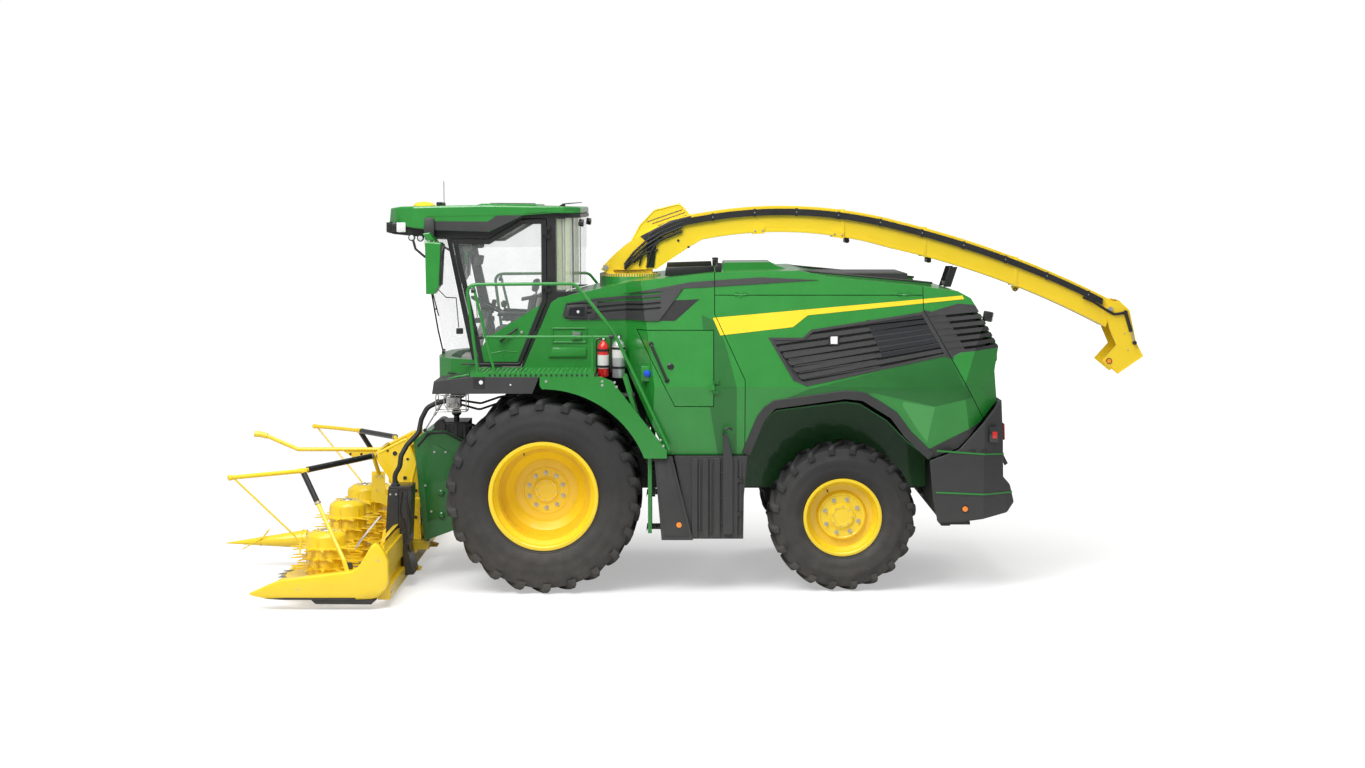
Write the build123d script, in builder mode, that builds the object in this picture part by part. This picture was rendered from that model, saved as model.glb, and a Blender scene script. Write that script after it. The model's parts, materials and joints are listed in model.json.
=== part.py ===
from build123d import *
from math import cos, hypot, pi, sin, sqrt
import os

os.makedirs("parts", exist_ok=True)

# A self-propelled forage harvester with a rotary maize header, in millimetres.
# +Z is up, the ground is Z = 0, the machine drives towards -X and its left side is -Y.

# Wheels: centre place, radius over the lugs, tyre width and rim flange radius
front_axle_x = -1400
front_tyre_radius = 1010
front_tyre_width = 710
front_wheel_y = 1145
front_flange_radius = 565
front_seat_radius = 533
front_disc_y = 1000
rear_axle_x = 1678
rear_tyre_radius = 770
rear_tyre_width = 540
rear_wheel_y = 1080
rear_flange_radius = 406
rear_seat_radius = 381
rear_disc_y = 1190
rim_wall = 14
disc_wall = 24
bead_clearance = 0.3
running_clearance = 0.05
hub_radius = 150
spindle_radius = 70

# Steering
kingpin_y = 800
kingpin_radius = 40
steering_arm_length = 260
tie_rod_radius = 26

# Body panels
panel_wall = 45
seam = 8
crease_half_width = 1400
crease_height = 2130
sill_half_width = 1330
sill_height = 1400
roof_half_width = 1130
roof_line_height = 3330
cab_wall_y = 900
door_hinge_height = 3060
front_seam_x = 355
rear_seam_x = 2495

# Cab
cab_floor_height = 2210
cab_half_width = 880
cab_frame_depth = 50
glass_thickness = 10
b_pillar_x = -1385
b_pillar_width = 90

# Platforms and rails
deck_height = 2290
deck_thickness = 45
deck_outer_y = 1500
fender_clearance = 100
rail_y = 1450
rail_radius = 17

# Spout
swing_x = -545
turntable_radius = 330
turntable_height = 3215
turntable_gap = 0.3
spout_half_width = 190
spout_wall = 10

# Header and its lift
lift_pivot = (-1650, 1330)
pivot_pin_radius = 40
rotor_x = -3600
rotor_disc_radius = 500
outer_rotor_y = 1590
inner_rotor_y = 560
cylinder_y = 420
cylinder_foot = (-1600, 450)
cylinder_eye = (-2350, 480)
barrel_radius = 55
foot_pin_radius = 24
eye_pin_radius = 20
cylinder_rod_radius = 32


def save(builder, name):
    """Label a finished piece and write it to its own file."""
    builder.part.label = name
    export_step(builder.part, f"parts/{name}.step")


def slab(outline, inner, outer, mode=Mode.ADD):
    """Extrude an X-Z outline between two distances to the left of the centre plane."""
    with BuildSketch(Plane.XZ.offset(inner)) as profile:
        with BuildLine():
            Polyline(*outline, close=True)
        make_face()
    extrude(profile.sketch, amount=outer - inner, mode=mode)


def block(x_span, y_span, z_span, mode=Mode.ADD):
    """A straight box between two values on each axis."""
    spans = (x_span, y_span, z_span)
    middle = tuple((low + high) / 2 for low, high in spans)
    sides = tuple(high - low for low, high in spans)
    with Locations(middle):
        Box(*sides, mode=mode)


def rod(start, end, radius, mode=Mode.ADD, sides=0):
    """A bar from one point to another, round or with a number of flat sides."""
    axis = Vector(*end) - Vector(*start)
    with BuildSketch(Plane(origin=start, z_dir=axis)) as profile:
        if sides:
            RegularPolygon(radius, sides)
        else:
            Circle(radius)
    extrude(profile.sketch, amount=axis.length, mode=mode)


def cross_tube(x, z, radius, inner, outer, mode=Mode.ADD, sides=0):
    """A bar that runs across the machine between two distances to the left, round or with flat sides."""
    with BuildSketch(Plane.XZ.offset(inner)) as profile:
        with Locations((x, z)):
            if sides:
                RegularPolygon(radius, sides)
            else:
                Circle(radius)
    extrude(profile.sketch, amount=outer - inner, mode=mode)


def tube(points, radius, bend):
    """A tube along straight runs joined by arcs of one radius."""
    with BuildLine() as route:
        run = FilletPolyline(*points, radius=bend)
    with BuildSketch(Plane(origin=run @ 0, z_dir=run % 0)) as profile:
        RegularPolygon(radius, 6)
    sweep(profile.sketch, path=route.wires()[0])


def faceted(rings, mode=Mode.ADD):
    """A closed form with flat faces between rings of corners, each ring flat and with as many corners."""
    corners = len(rings[0])
    faces = [Face(Wire.make_polygon(ring)) for ring in (rings[0], rings[-1])]
    for low, high in zip(rings, rings[1:]):
        for i in range(corners):
            j = (i + 1) % corners
            faces.append(Face(Wire.make_polygon([low[i], low[j], high[j], high[i]])))
    add(Solid(Shell(faces)), mode=mode)


def stack(steps, sides, mode=Mode.ADD):
    """A many-sided turned form through (radius, height) steps along the local Z axis."""
    angles = [(2 * i + 1) * pi / sides for i in range(sides)]
    faceted([[(radius * cos(a), radius * sin(a), height) for a in angles] for radius, height in steps], mode)


def knuckle(start, end, sleeve_spans, radius, outer, clearance):
    """Cut a hinge axis free and add tube pieces round it over some shares of its length."""
    axis = Vector(*end) - Vector(*start)
    rod(start, end, outer + 4, mode=Mode.SUBTRACT)
    for low, high in sleeve_spans:
        from_point = tuple(Vector(*start) + axis * low)
        to_point = tuple(Vector(*start) + axis * high)
        rod(from_point, to_point, outer, sides=8)
        if clearance:
            rod(from_point, to_point, radius + clearance, mode=Mode.SUBTRACT)
    if not clearance:
        rod(start, end, radius)


def mirrored(source):
    """The same piece on the other side of the machine."""
    with BuildPart() as other:
        mirror(source.part, about=Plane.XZ)
    return other


def between(first, second, share):
    """The point at a share of the way from one point to another."""
    return tuple(a + (b - a) * share for a, b in zip(first, second))


# Wheels

def make_tyre(x, wheel_y, radius, width, seat_radius, flange_radius, lug_height, lug_count, lug_width):
    """Tyre with two rows of slanted lugs, from bead to lug tip, on the left side."""
    half = width / 2
    bead_half = 0.82 * half - bead_clearance
    tread_radius = radius - lug_height
    wall_radius = seat_radius + 0.55 * (radius - seat_radius)
    bead_radius = (seat_radius + bead_clearance) / cos(pi / lug_count)
    sweep_back = 0.5 * half
    with BuildPart() as lug:
        with BuildSketch(Plane(origin=(tread_radius - 20, 0, 0), x_dir=(0, 0, 1), z_dir=(1, 0, 0))):
            with BuildLine():
                Polyline(
                    (-12, -lug_width / 2), (-12, lug_width / 2), (0.97 * half, sweep_back + 0.6 * lug_width),
                    (0.97 * half, sweep_back - 0.6 * lug_width), close=True,
                )
            make_face()
        extrude(amount=lug_height + 60)
    with BuildPart() as other_lug:
        mirror(lug.part, about=Plane.XY)
    with BuildPart() as tyre:
        with PolarLocations(0, lug_count):
            add(lug.part)
        with PolarLocations(0, lug_count, start_angle=180 / lug_count):
            add(other_lug.part)
        stack([(radius, -half), (radius, half)], 2 * lug_count, Mode.INTERSECT)
        stack(
            [
                (flange_radius + 4, -bead_half), (wall_radius, -half), (tread_radius, -0.84 * half),
                (tread_radius, 0.84 * half), (wall_radius, half), (flange_radius + 4, bead_half),
            ],
            lug_count,
        )
        stack([(bead_radius, -half), (bead_radius, half)], lug_count, Mode.SUBTRACT)
    with BuildPart() as placed:
        add(tyre.part.moved(Location((x, -wheel_y, radius), (90, 0, 0))))
    return placed


def make_rim(x, z, wheel_y, width, seat_radius, flange_radius, disc_y, bolts, bolt_circle, sides):
    """Rim barrel with its dished disc, hub sleeve and wheel bolts on the left side."""
    half = 0.82 * width / 2
    out = disc_y - wheel_y
    barrel_radius = seat_radius - 40
    bore_radius = (spindle_radius + running_clearance) / cos(pi / sides)
    with BuildPart() as rim:
        stack([(flange_radius, -half - rim_wall), (flange_radius, -half)], sides)
        stack([(flange_radius, half), (flange_radius, half + rim_wall)], sides)
        stack(
            [
                (seat_radius, -half - 1), (seat_radius, -half + 100), (barrel_radius, -half + 140),
                (barrel_radius, half - 140), (seat_radius, half - 100), (seat_radius, half + 1),
            ],
            sides,
        )
        stack(
            [
                (seat_radius - rim_wall, -half - rim_wall - 1), (seat_radius - rim_wall, -half + 92),
                (barrel_radius - rim_wall, -half + 132), (barrel_radius - rim_wall, half - 132),
                (seat_radius - rim_wall, half - 92), (seat_radius - rim_wall, half + rim_wall + 1),
            ],
            sides, Mode.SUBTRACT,
        )
        disc_edge = min(out + 60, half - 150)
        stack([(barrel_radius - 2, disc_edge - disc_wall), (barrel_radius - 2, disc_edge)], sides)
        face_radius = 0.6 * seat_radius
        if out < disc_edge:
            stack([(face_radius, out - disc_wall), (barrel_radius - 60, disc_edge + 1)], sides, Mode.SUBTRACT)
            stack([(face_radius + disc_wall, out - disc_wall), (barrel_radius - 40, disc_edge)], sides)
            stack([(face_radius, out), (barrel_radius - 64, disc_edge + 1)], sides, Mode.SUBTRACT)
        else:
            low = disc_edge - disc_wall
            stack([(barrel_radius - 60, low - 1), (face_radius, out)], sides, Mode.SUBTRACT)
            stack([(barrel_radius - 40, low), (face_radius + disc_wall, out)], sides)
            stack([(barrel_radius - 64, low - 1), (face_radius, out - disc_wall)], sides, Mode.SUBTRACT)
        stack([(hub_radius, out - 90), (hub_radius, out - 10), (hub_radius - 20, out + 20)], sides)
        with BuildSketch(Plane.XY.offset(out - 1)):
            with PolarLocations(bolt_circle, bolts):
                RegularPolygon(17, 6)
        extrude(amount=25)
        stack([(bore_radius, out - 100), (bore_radius, out + 30)], sides, Mode.SUBTRACT)
    with BuildPart() as placed:
        add(rim.part.moved(Location((x, -wheel_y, z), (90, 0, 0))))
    return placed


front_tyre_left = make_tyre(
    front_axle_x, front_wheel_y, front_tyre_radius, front_tyre_width, front_seat_radius, front_flange_radius,
    50, 22, 62,
)
front_rim_left = make_rim(
    front_axle_x, front_tyre_radius, front_wheel_y, front_tyre_width,
    front_seat_radius, front_flange_radius, front_disc_y, 10, 185, 28,
)
rear_tyre_left = make_tyre(
    rear_axle_x, rear_wheel_y, rear_tyre_radius, rear_tyre_width, rear_seat_radius, rear_flange_radius,
    42, 20, 50,
)
rear_rim_left = make_rim(
    rear_axle_x, rear_tyre_radius, rear_wheel_y, rear_tyre_width,
    rear_seat_radius, rear_flange_radius, rear_disc_y, 8, 180, 24,
)
save(front_tyre_left, "front_tyre_left")
save(mirrored(front_tyre_left), "front_tyre_right")
save(front_rim_left, "front_rim_left")
save(mirrored(front_rim_left), "front_rim_right")
save(rear_tyre_left, "rear_tyre_left")
save(mirrored(rear_tyre_left), "rear_tyre_right")
save(rear_rim_left, "rear_rim_left")
save(mirrored(rear_rim_left), "rear_rim_right")

# Front axle: beam, final drive housings, spindles and the feet of the lift cylinders

front_axle_z = front_tyre_radius
axle_half_height = 110
hub_gap = 6

with BuildPart() as front_axle:
    block(
        (front_axle_x - 120, front_axle_x + 120),
        (-720, 720),
        (front_axle_z - axle_half_height, front_axle_z + axle_half_height),
    )
    cross_tube(front_axle_x, front_axle_z, 230, 660, front_disc_y - 90 - hub_gap, sides=16)
    cross_tube(front_axle_x, front_axle_z, spindle_radius, 700, front_disc_y + 20)
    foot_x, foot_z = cylinder_foot
    for cheek_y in (cylinder_y - 50, cylinder_y + 34):
        slab(
            [
                (front_axle_x + 60, front_axle_z),
                (front_axle_x - 110, front_axle_z),
                (foot_x - 55, foot_z + 40),
                (foot_x - 40, foot_z - 50),
                (foot_x + 50, foot_z - 50),
            ],
            cheek_y, cheek_y + 16,
        )
    cross_tube(foot_x, foot_z, foot_pin_radius, cylinder_y - 50, cylinder_y + 50)
    mirror(about=Plane.XZ)
save(front_axle, "front_axle")

# Rear axle: beam with a fork at each end for the kingpin

rear_axle_z = rear_tyre_radius
fork_inner_half = 95
fork_outer_half = 135
beam_half_depth = 60
fork_back = 110

with BuildPart() as rear_axle:
    with BuildSketch(Plane.YZ.offset(rear_axle_x - beam_half_depth)):
        with BuildLine():
            Polyline(
                (-kingpin_y + fork_back, rear_axle_z - 80), (-300, rear_axle_z - 110), (300, rear_axle_z - 110),
                (kingpin_y - fork_back, rear_axle_z - 80), (kingpin_y - fork_back, rear_axle_z + 80),
                (300, rear_axle_z + 110), (-300, rear_axle_z + 110), (-kingpin_y + fork_back, rear_axle_z + 80),
                close=True,
            )
        make_face()
    extrude(amount=2 * beam_half_depth)
    for low, high in ((-fork_outer_half, -fork_inner_half), (fork_inner_half, fork_outer_half)):
        with BuildSketch(Plane.XY.offset(rear_axle_z + low)):
            with Locations((rear_axle_x, -kingpin_y)):
                Circle(70)
            with BuildLine():
                Polyline(
                    (rear_axle_x - 70, -kingpin_y), (rear_axle_x - beam_half_depth, -kingpin_y + 160),
                    (rear_axle_x + beam_half_depth, -kingpin_y + 160), (rear_axle_x + 70, -kingpin_y), close=True,
                )
            make_face()
        extrude(amount=high - low)
    block(
        (rear_axle_x - beam_half_depth, rear_axle_x + beam_half_depth),
        (-kingpin_y + fork_back, -kingpin_y + 160),
        (rear_axle_z - fork_outer_half, rear_axle_z + fork_outer_half),
    )
    rod(
        (rear_axle_x, -kingpin_y, rear_axle_z - fork_outer_half),
        (rear_axle_x, -kingpin_y, rear_axle_z + fork_outer_half),
        kingpin_radius,
    )
    mirror(about=Plane.XZ)
    cross_tube(rear_axle_x, rear_axle_z + 100, 60, -150, 150, sides=12)
    block((rear_axle_x - 60, rear_axle_x + 60), (-90, 90), (rear_axle_z + 100, 930))
save(rear_axle, "rear_axle")

# Knuckle: block on the kingpin, spindle for the wheel and an arm for the tie rod

knuckle_half_height = fork_inner_half - 2
arm_eye_x = rear_axle_x + steering_arm_length
arm_eye_y = kingpin_y - 30
arm_low = rear_axle_z - 60
arm_high = rear_axle_z - 30

with BuildPart() as steering_knuckle_left:
    with BuildSketch(Plane.XY.offset(rear_axle_z - knuckle_half_height)):
        with Locations((rear_axle_x, -kingpin_y)):
            Circle(75)
    extrude(amount=2 * knuckle_half_height)
    cross_tube(rear_axle_x, rear_axle_z, 90, kingpin_y + 30, rear_disc_y - 90 - hub_gap, sides=12)
    cross_tube(rear_axle_x, rear_axle_z, spindle_radius, kingpin_y + 60, rear_disc_y + 20)
    with BuildSketch(Plane.XY.offset(arm_low)):
        with Locations((arm_eye_x, -arm_eye_y)):
            Circle(38)
        with BuildLine():
            Polyline(
                (rear_axle_x, -kingpin_y - 60), (rear_axle_x, -kingpin_y + 34),
                (arm_eye_x, -arm_eye_y + 34), (arm_eye_x, -arm_eye_y - 34), close=True,
            )
        make_face()
    extrude(amount=arm_high - arm_low)
    rod(
        (rear_axle_x, -kingpin_y, rear_axle_z - 200),
        (rear_axle_x, -kingpin_y, rear_axle_z + 200),
        kingpin_radius + running_clearance, mode=Mode.SUBTRACT,
    )
    rod(
        (arm_eye_x, -arm_eye_y, arm_low - 5), (arm_eye_x, -arm_eye_y, arm_high + 5),
        15 + running_clearance, mode=Mode.SUBTRACT,
    )
save(steering_knuckle_left, "steering_knuckle_left")
save(mirrored(steering_knuckle_left), "steering_knuckle_right")

rod_low = arm_low - 60
with BuildPart() as tie_rod:
    cross_tube(arm_eye_x, rod_low + tie_rod_radius, tie_rod_radius, -arm_eye_y, arm_eye_y, sides=8)
    for side in (-1, 1):
        rod((arm_eye_x, side * arm_eye_y, rod_low), (arm_eye_x, side * arm_eye_y, arm_low - 6), 36, sides=10)
    rod((arm_eye_x, -arm_eye_y, rod_low), (arm_eye_x, -arm_eye_y, arm_high), 15)
save(tie_rod, "tie_rod")

# Chassis: two long rails, cross members, tail plates and the tow hitch

rail_inner_y = 200
rail_outer_y = 320
rail_bottom = 930
rail_top = 1130
chassis_front_x = front_axle_x + 120
chassis_rear_x = 2960
well_inner_y = 345
well_outer_y = 1260
well_liner = 15
well_line = [
    (700, 1430), (850, 1760), (985, 1880), (1690, 1970), (1850, 1950), (2130, 1775), (2340, 1560), (2645, 1330),
]
hitch_height = 560
hitch_bore_radius = 20

with BuildPart() as chassis_frame:
    block((chassis_front_x, chassis_rear_x), (-rail_outer_y, -rail_inner_y), (rail_bottom, rail_top))
    block((2645, 2690), (-well_outer_y, -rail_inner_y), (790, 1440))
    mirror(about=Plane.XZ)
    for x in (chassis_front_x + 60, 0, 700, 2500, 2850):
        block((x - 50, x + 50), (-rail_inner_y - 1, rail_inner_y + 1), (rail_bottom + 20, rail_top - 20))
    block((rear_axle_x - 100, rear_axle_x + 100), (-rail_inner_y - 1, rail_inner_y + 1), (rail_bottom, rail_top - 20))
    block((2850, 2950), (-180, 180), (hitch_height - 70, rail_bottom + 30))
    block((2940, 3180), (-100, 100), (hitch_height - 70, hitch_height - 40))
    block((2940, 3180), (-100, 100), (hitch_height + 40, hitch_height + 70))
    rod(
        (3110, 0, hitch_height - 80), (3110, 0, hitch_height + 80),
        hitch_bore_radius, mode=Mode.SUBTRACT,
    )
save(chassis_frame, "chassis_frame")

# Liners of the rear wheel wells, bolted to the rails

with BuildPart() as wheel_liners:
    well_back = [(x, z - well_liner) for x, z in reversed(well_line)]
    slab(well_line + well_back, rail_outer_y, well_outer_y)
    slab([(700, rail_bottom + 20)] + well_line + [(2645, rail_bottom + 20)], rail_outer_y, well_inner_y)
    mirror(about=Plane.XZ)
save(wheel_liners, "wheel_liners")

# Engine as one block on the rails

with BuildPart() as engine_block:
    block((1000, 2400), (-rail_outer_y + 2, rail_outer_y - 2), (rail_top, 2300))
save(engine_block, "engine_block")

# Chopping drum housing and the duct that throws the crop up to the spout

with BuildPart() as chopper_housing:
    slab(
        [
            (-1900, 1620), (-1880, 1850), (-1560, 2040), (-900, 2060), (-860, 2400), (-840, 3040),
            (-250, 3040), (-230, 2300), (-420, 1500), (-900, 1180), (-1450, 1180), (-1450, 1500),
        ],
        -rail_outer_y, rail_outer_y,
    )
    pivot_x, pivot_z = lift_pivot
    block((-1480, -1300), (-640, 640), (front_axle_z + axle_half_height, 1560))
    for cheek in (-1, 1):
        slab(
            [(pivot_x - 60, pivot_z - 60), (pivot_x - 60, pivot_z + 60), (-1470, 1520), (-1470, 1180)],
            cheek * 625 - 15, cheek * 625 + 15,
        )
        cross_tube(pivot_x, pivot_z, pivot_pin_radius, cheek * 590 - 50, cheek * 590 + 50)
    block((chassis_front_x + 200, -300), (-rail_outer_y, rail_outer_y), (rail_top, 1300))
save(chopper_housing, "chopper_housing")

# Body shell: a section across the machine, cut to its side outline and its plan

top_line = [
    (-1640, deck_height), (-1345, 2970), (-1265, 3020), (-815, 3120), (-475, 3200), (front_seam_x, 3290),
    (1225, 3310), (1525, 3245), (rear_seam_x, 3150), (2855, 3100), (2985, 3030), (3285, 2530),
    (3245, 2280), (3275, 1970),
]
arch_line = [
    (2545, 1380), (2305, 1610), (2155, 1810), (1865, 1990), (1685, 2010), (975, 1910), (865, 1790), (715, 1420),
]
bottom_line = [(2855, 1500)] + arch_line + [(665, 1430), (-135, 1430), (-560, deck_height)]
plan_line = [
    (-1640, -cab_wall_y), (-560, -cab_wall_y), (-260, -crease_half_width), (2900, -crease_half_width),
    (3290, -1130), (3290, 1130), (2900, crease_half_width), (-260, crease_half_width),
    (-560, cab_wall_y), (-1640, cab_wall_y),
]
lean = (crease_half_width - roof_half_width) / (roof_line_height - crease_height)
section_top = 3450
section_top_y = crease_half_width - lean * (section_top - crease_height)


def body_form(side_outline, foot_height, foot_half_width, shrink):
    """The whole body as one solid, or drawn in on all sides by a wall."""
    section = [
        (-foot_half_width, foot_height), (-crease_half_width, crease_height), (-section_top_y, section_top),
        (section_top_y, section_top), (crease_half_width, crease_height), (foot_half_width, foot_height),
    ]
    with BuildPart() as form:
        with BuildSketch(Plane.YZ.offset(-1700)):
            with BuildLine():
                Polyline(*section, close=True)
            make_face()
            if shrink:
                offset(amount=-shrink, kind=Kind.INTERSECTION)
        extrude(amount=5100)
        with BuildSketch(Plane.XZ.offset(-2000)):
            with BuildLine():
                Polyline(*side_outline, close=True)
            make_face()
            if shrink:
                offset(amount=-shrink, kind=Kind.INTERSECTION)
        extrude(amount=4000, mode=Mode.INTERSECT)
        with BuildSketch(Plane.XY.offset(500)):
            with BuildLine():
                Polyline(*plan_line, close=True)
            make_face()
            if shrink:
                offset(amount=-shrink, kind=Kind.INTERSECTION)
        extrude(amount=3200, mode=Mode.INTERSECT)
    return form


outer_form = body_form(top_line + bottom_line, sill_height - 100, sill_half_width - 10, 0)
inner_form = body_form(top_line + [(3275, 900), (-1640, 900)], 900, sill_half_width - 50, panel_wall)
with BuildPart() as body_shell:
    add(outer_form.part)
    add(inner_form.part, mode=Mode.SUBTRACT)

hoop_depth = 50
hoop_core = body_form(top_line + [(3275, 900), (-1640, 900)], 900, sill_half_width - 50, panel_wall + hoop_depth)
with BuildPart() as hoop_regions:
    slab([(300, 1500), (345, 1500), (345, 3500), (300, 3500)], -1500, 1500)
    slab([(345, 3070), (410, 3070), (410, 3500), (345, 3500)], -1500, 1500)
    slab([(2440, 3070), (2560, 3070), (2560, 3500), (2440, 3500)], -1500, 1500)
with BuildPart() as body_hoops:
    add(inner_form.part)
    add(hoop_core.part, mode=Mode.SUBTRACT)
    add(hoop_regions.part, mode=Mode.INTERSECT)
with BuildPart() as body_supports:
    for x_span in ((302, 343), (2450, 2500)):
        for side in (-1, 1):
            block(x_span, (side * 290 - 28, side * 290 + 28), (rail_top, 3400))
    add(inner_form.part, mode=Mode.INTERSECT)
    add(body_hoops.part)
save(body_supports, "body_supports")

half_seam = seam / 2
front_seam = [(front_seam_x, 3500), (front_seam_x, 2870), (665, 2200), (665, 1300)]
rear_seam = [(rear_seam_x, 3500), (rear_seam_x, 2920), (3120, 1800), (3420, 1260)]


def shifted(line, dx):
    """A seam line moved along the machine."""
    return [(x + dx, z) for x, z in line]


service_door_outline = [(-440, 2700), (340, 2700), (340, 1935), (-50, 1935)]
service_door_hole = [(-452, 2708), (348, 2708), (348, 1927), (-54, 1927)]
louvre_band = [(-1190, 2960), (-600, 3060), (30, 3130), (-215, 2800), (-1150, 2790), (-1225, 2830)]

service_hinge = ((344, -1404, 2062), (344, -1404, 2198))
service_pin = 7
service_sleeve = 12
upper_share = (0.28, 0.72)

with BuildPart() as centre_body:
    add(body_shell.part)
    slab(
        [(-1700, 3500)] + shifted(front_seam, -half_seam) + [(-1700, 1300)],
        -1500, 1500, mode=Mode.INTERSECT,
    )
    for inner, outer in ((-1500, -950), (950, 1500)):
        slab(service_door_hole, inner, outer, mode=Mode.SUBTRACT)
    for side in (-1, 1):
        start, end = ((x, -side * y, z) for x, y, z in service_hinge)
        knuckle(start, end, ((0, 0.26), (0.74, 1)), service_pin, service_sleeve, 0)
        for low, high in ((2062, 2097), (2163, 2198)):
            block((350, 400), (side * 1392 - 20, side * 1392 + 20), (low, high))
    with BuildSketch(Plane.XY.offset(3000)):
        with Locations((swing_x, 0)):
            Circle(turntable_radius - 50)
    extrude(amount=400, mode=Mode.SUBTRACT)
    with BuildSketch(Plane.XY.offset(3050)):
        with Locations((swing_x, 0)):
            Circle(turntable_radius)
            Circle(turntable_radius - 50, mode=Mode.SUBTRACT)
    extrude(amount=turntable_height - turntable_gap - 3050)
    with BuildSketch(Plane.XY.offset(turntable_height - turntable_gap)):
        with Locations((swing_x, 0)):
            Circle(turntable_radius + 12)
    extrude(amount=200, mode=Mode.SUBTRACT)
save(centre_body, "centre_body")

with BuildPart() as service_door_left:
    add(body_shell.part)
    slab(service_door_outline, 950, 1500, mode=Mode.INTERSECT)
    knuckle(*service_hinge, (upper_share,), service_pin, service_sleeve, running_clearance)
    block((285, 335), (-1412, -1365), (2100, 2160))
save(service_door_left, "service_door_left")
save(mirrored(service_door_left), "service_door_right")

# Hood over the engine with its raised air box

hood_bottom = door_hinge_height + half_seam
side_hinges = [((x, -1193, 3064), (x + 120, -1193, 3064)) for x in (560, 2240)]
side_pin = 5
side_sleeve = 9

with BuildPart() as hood_top:
    add(body_shell.part)
    slab(
        [
            (front_seam_x + half_seam, 3500), (rear_seam_x - half_seam, 3500),
            (rear_seam_x - half_seam, hood_bottom), (front_seam_x + half_seam, hood_bottom),
        ],
        -1500, 1500, mode=Mode.INTERSECT,
    )
    slab([(430, 3240), (470, 3370), (965, 3375), (1010, 3345), (1330, 3240)], -430, 430)
    for start, end in side_hinges:
        for side in (-1, 1):
            ends = [(x, side * y, z) for x, y, z in (start, end)]
            knuckle(*ends, ((0, 0.26), (0.74, 1)), side_pin, side_sleeve, 0)
            for share in (0, 0.74):
                low = start[0] + share * 120
                block((low, low + 31), (-side * 1182 - 12, -side * 1182 + 12), (3068, 3092))
save(hood_top, "hood_top")

# Side door over the engine bay, with the hole for its grille

grille_outline = [
    (905, 2630), (1255, 2630), (1345, 2710), (2495, 2890), (2740, 2450), (1295, 2140), (1155, 2200),
]
side_normal = (0, -(roof_line_height - crease_height), crease_half_width - roof_half_width)
side_plane = Plane(origin=(0, -crease_half_width, crease_height), x_dir=(1, 0, 0), z_dir=side_normal)
side_stretch = hypot(1, lean)


def on_side(points):
    """X-Z points laid onto the leaning upper side of the body."""
    return [(x, (z - crease_height) * side_stretch) for x, z in points]


def side_panel(outline, depth, thickness, mode=Mode.ADD):
    """A plate that lies in the leaning side, its outer face at a depth below the body's skin."""
    with BuildSketch(side_plane.offset(-depth - thickness)) as profile:
        with BuildLine():
            Polyline(*on_side(outline), close=True)
        make_face()
    extrude(profile.sketch, amount=thickness, mode=mode)


with BuildPart() as side_door_left:
    add(body_shell.part)
    slab(
        shifted(front_seam[1:], half_seam)
        + [(3420, 1300)]
        + shifted(list(reversed(rear_seam[1:])), -half_seam)
        + [
            (rear_seam_x - half_seam, door_hinge_height - half_seam),
            (front_seam_x + half_seam, door_hinge_height - half_seam),
        ],
        900, 1500, mode=Mode.INTERSECT,
    )
    side_panel(grille_outline, -60, 200, mode=Mode.SUBTRACT)
    for start, end in side_hinges:
        knuckle(start, end, (upper_share,), side_pin, side_sleeve, running_clearance)
        block((start[0] + 34, start[0] + 86), (-1199, -1170), (3020, 3057))
save(side_door_left, "side_door_left")
save(mirrored(side_door_left), "side_door_right")

# Grille of long louvres in its frame, and the black trim round the wheel arch

louvre_rows = 8
slat_share = 0.62

with BuildPart() as side_grille_left:
    for row in range(louvre_rows):
        low = row / louvre_rows
        high = low + slat_share / louvre_rows
        left_low, left_high = (between((1290, 2140), (860, 2700), share) for share in (low, high))
        right_low, right_high = (between((2760, 2430), (2500, 2900), share) for share in (low, high))
        side_panel([left_low, right_low, right_high, left_high], 2, 30)
    side_panel(grille_outline, 30, 12)
    with BuildSketch(side_plane.offset(-60)):
        with BuildLine():
            Polyline(*on_side(grille_outline), close=True)
        make_face()
    extrude(amount=80, mode=Mode.INTERSECT)
    with BuildSketch(side_plane.offset(-panel_wall + 3)):
        with BuildLine():
            Polyline(*on_side(grille_outline), close=True)
        make_face()
        offset(amount=-28, kind=Kind.INTERSECTION, mode=Mode.SUBTRACT)
    extrude(amount=panel_wall + 3)
save(side_grille_left, "side_grille_left")
save(mirrored(side_grille_left), "side_grille_right")

# Tail: the louvred rear corners and the rear wall

tail_louvre_outline = [(2535, 2880), (2850, 2975), (3030, 2960), (3400, 2530), (2870, 2480), (2775, 2430)]

with BuildPart() as tail_body:
    add(body_shell.part)
    slab(
        shifted(rear_seam, half_seam) + [(3600, 1260), (3600, 3500)],
        -1500, 1500, mode=Mode.INTERSECT,
    )
    for inner, outer in ((-1500, -1085), (1085, 1500)):
        slab(tail_louvre_outline, inner, outer, mode=Mode.SUBTRACT)
save(tail_body, "tail_body")

# Dark louvres on the body: the band behind the cab, the tail corners and the deck screen

louvre_outer = body_form(top_line + bottom_line, sill_height - 100, sill_half_width - 10, -14)
with BuildPart() as body_louvres:
    add(louvre_outer.part)
    slab(louvre_band, -1500, 1500, mode=Mode.INTERSECT)
    add(outer_form.part, mode=Mode.SUBTRACT)
    for row in range(5):
        z = 2830 + row * 52
        for inner in (-1500, 850):
            slab([(-1180, z), (-200, z + 90), (-200, z + 112), (-1180, z + 22)], inner, inner + 650, mode=Mode.SUBTRACT)
with BuildPart() as tail_louvres:
    add(body_shell.part)
    slab(tail_louvre_outline, 1085, 1500, mode=Mode.INTERSECT)
    for row in range(6):
        low = between((2760, 2470), (2545, 2860), (row + 0.35) / 6)
        high = between((2760, 2470), (2545, 2860), (row + 0.75) / 6)
        slab([low, (3500, low[1] + 90), (3500, high[1] + 90), high], 1085, 1500, mode=Mode.SUBTRACT)
    mirror(about=Plane.XZ)
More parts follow.
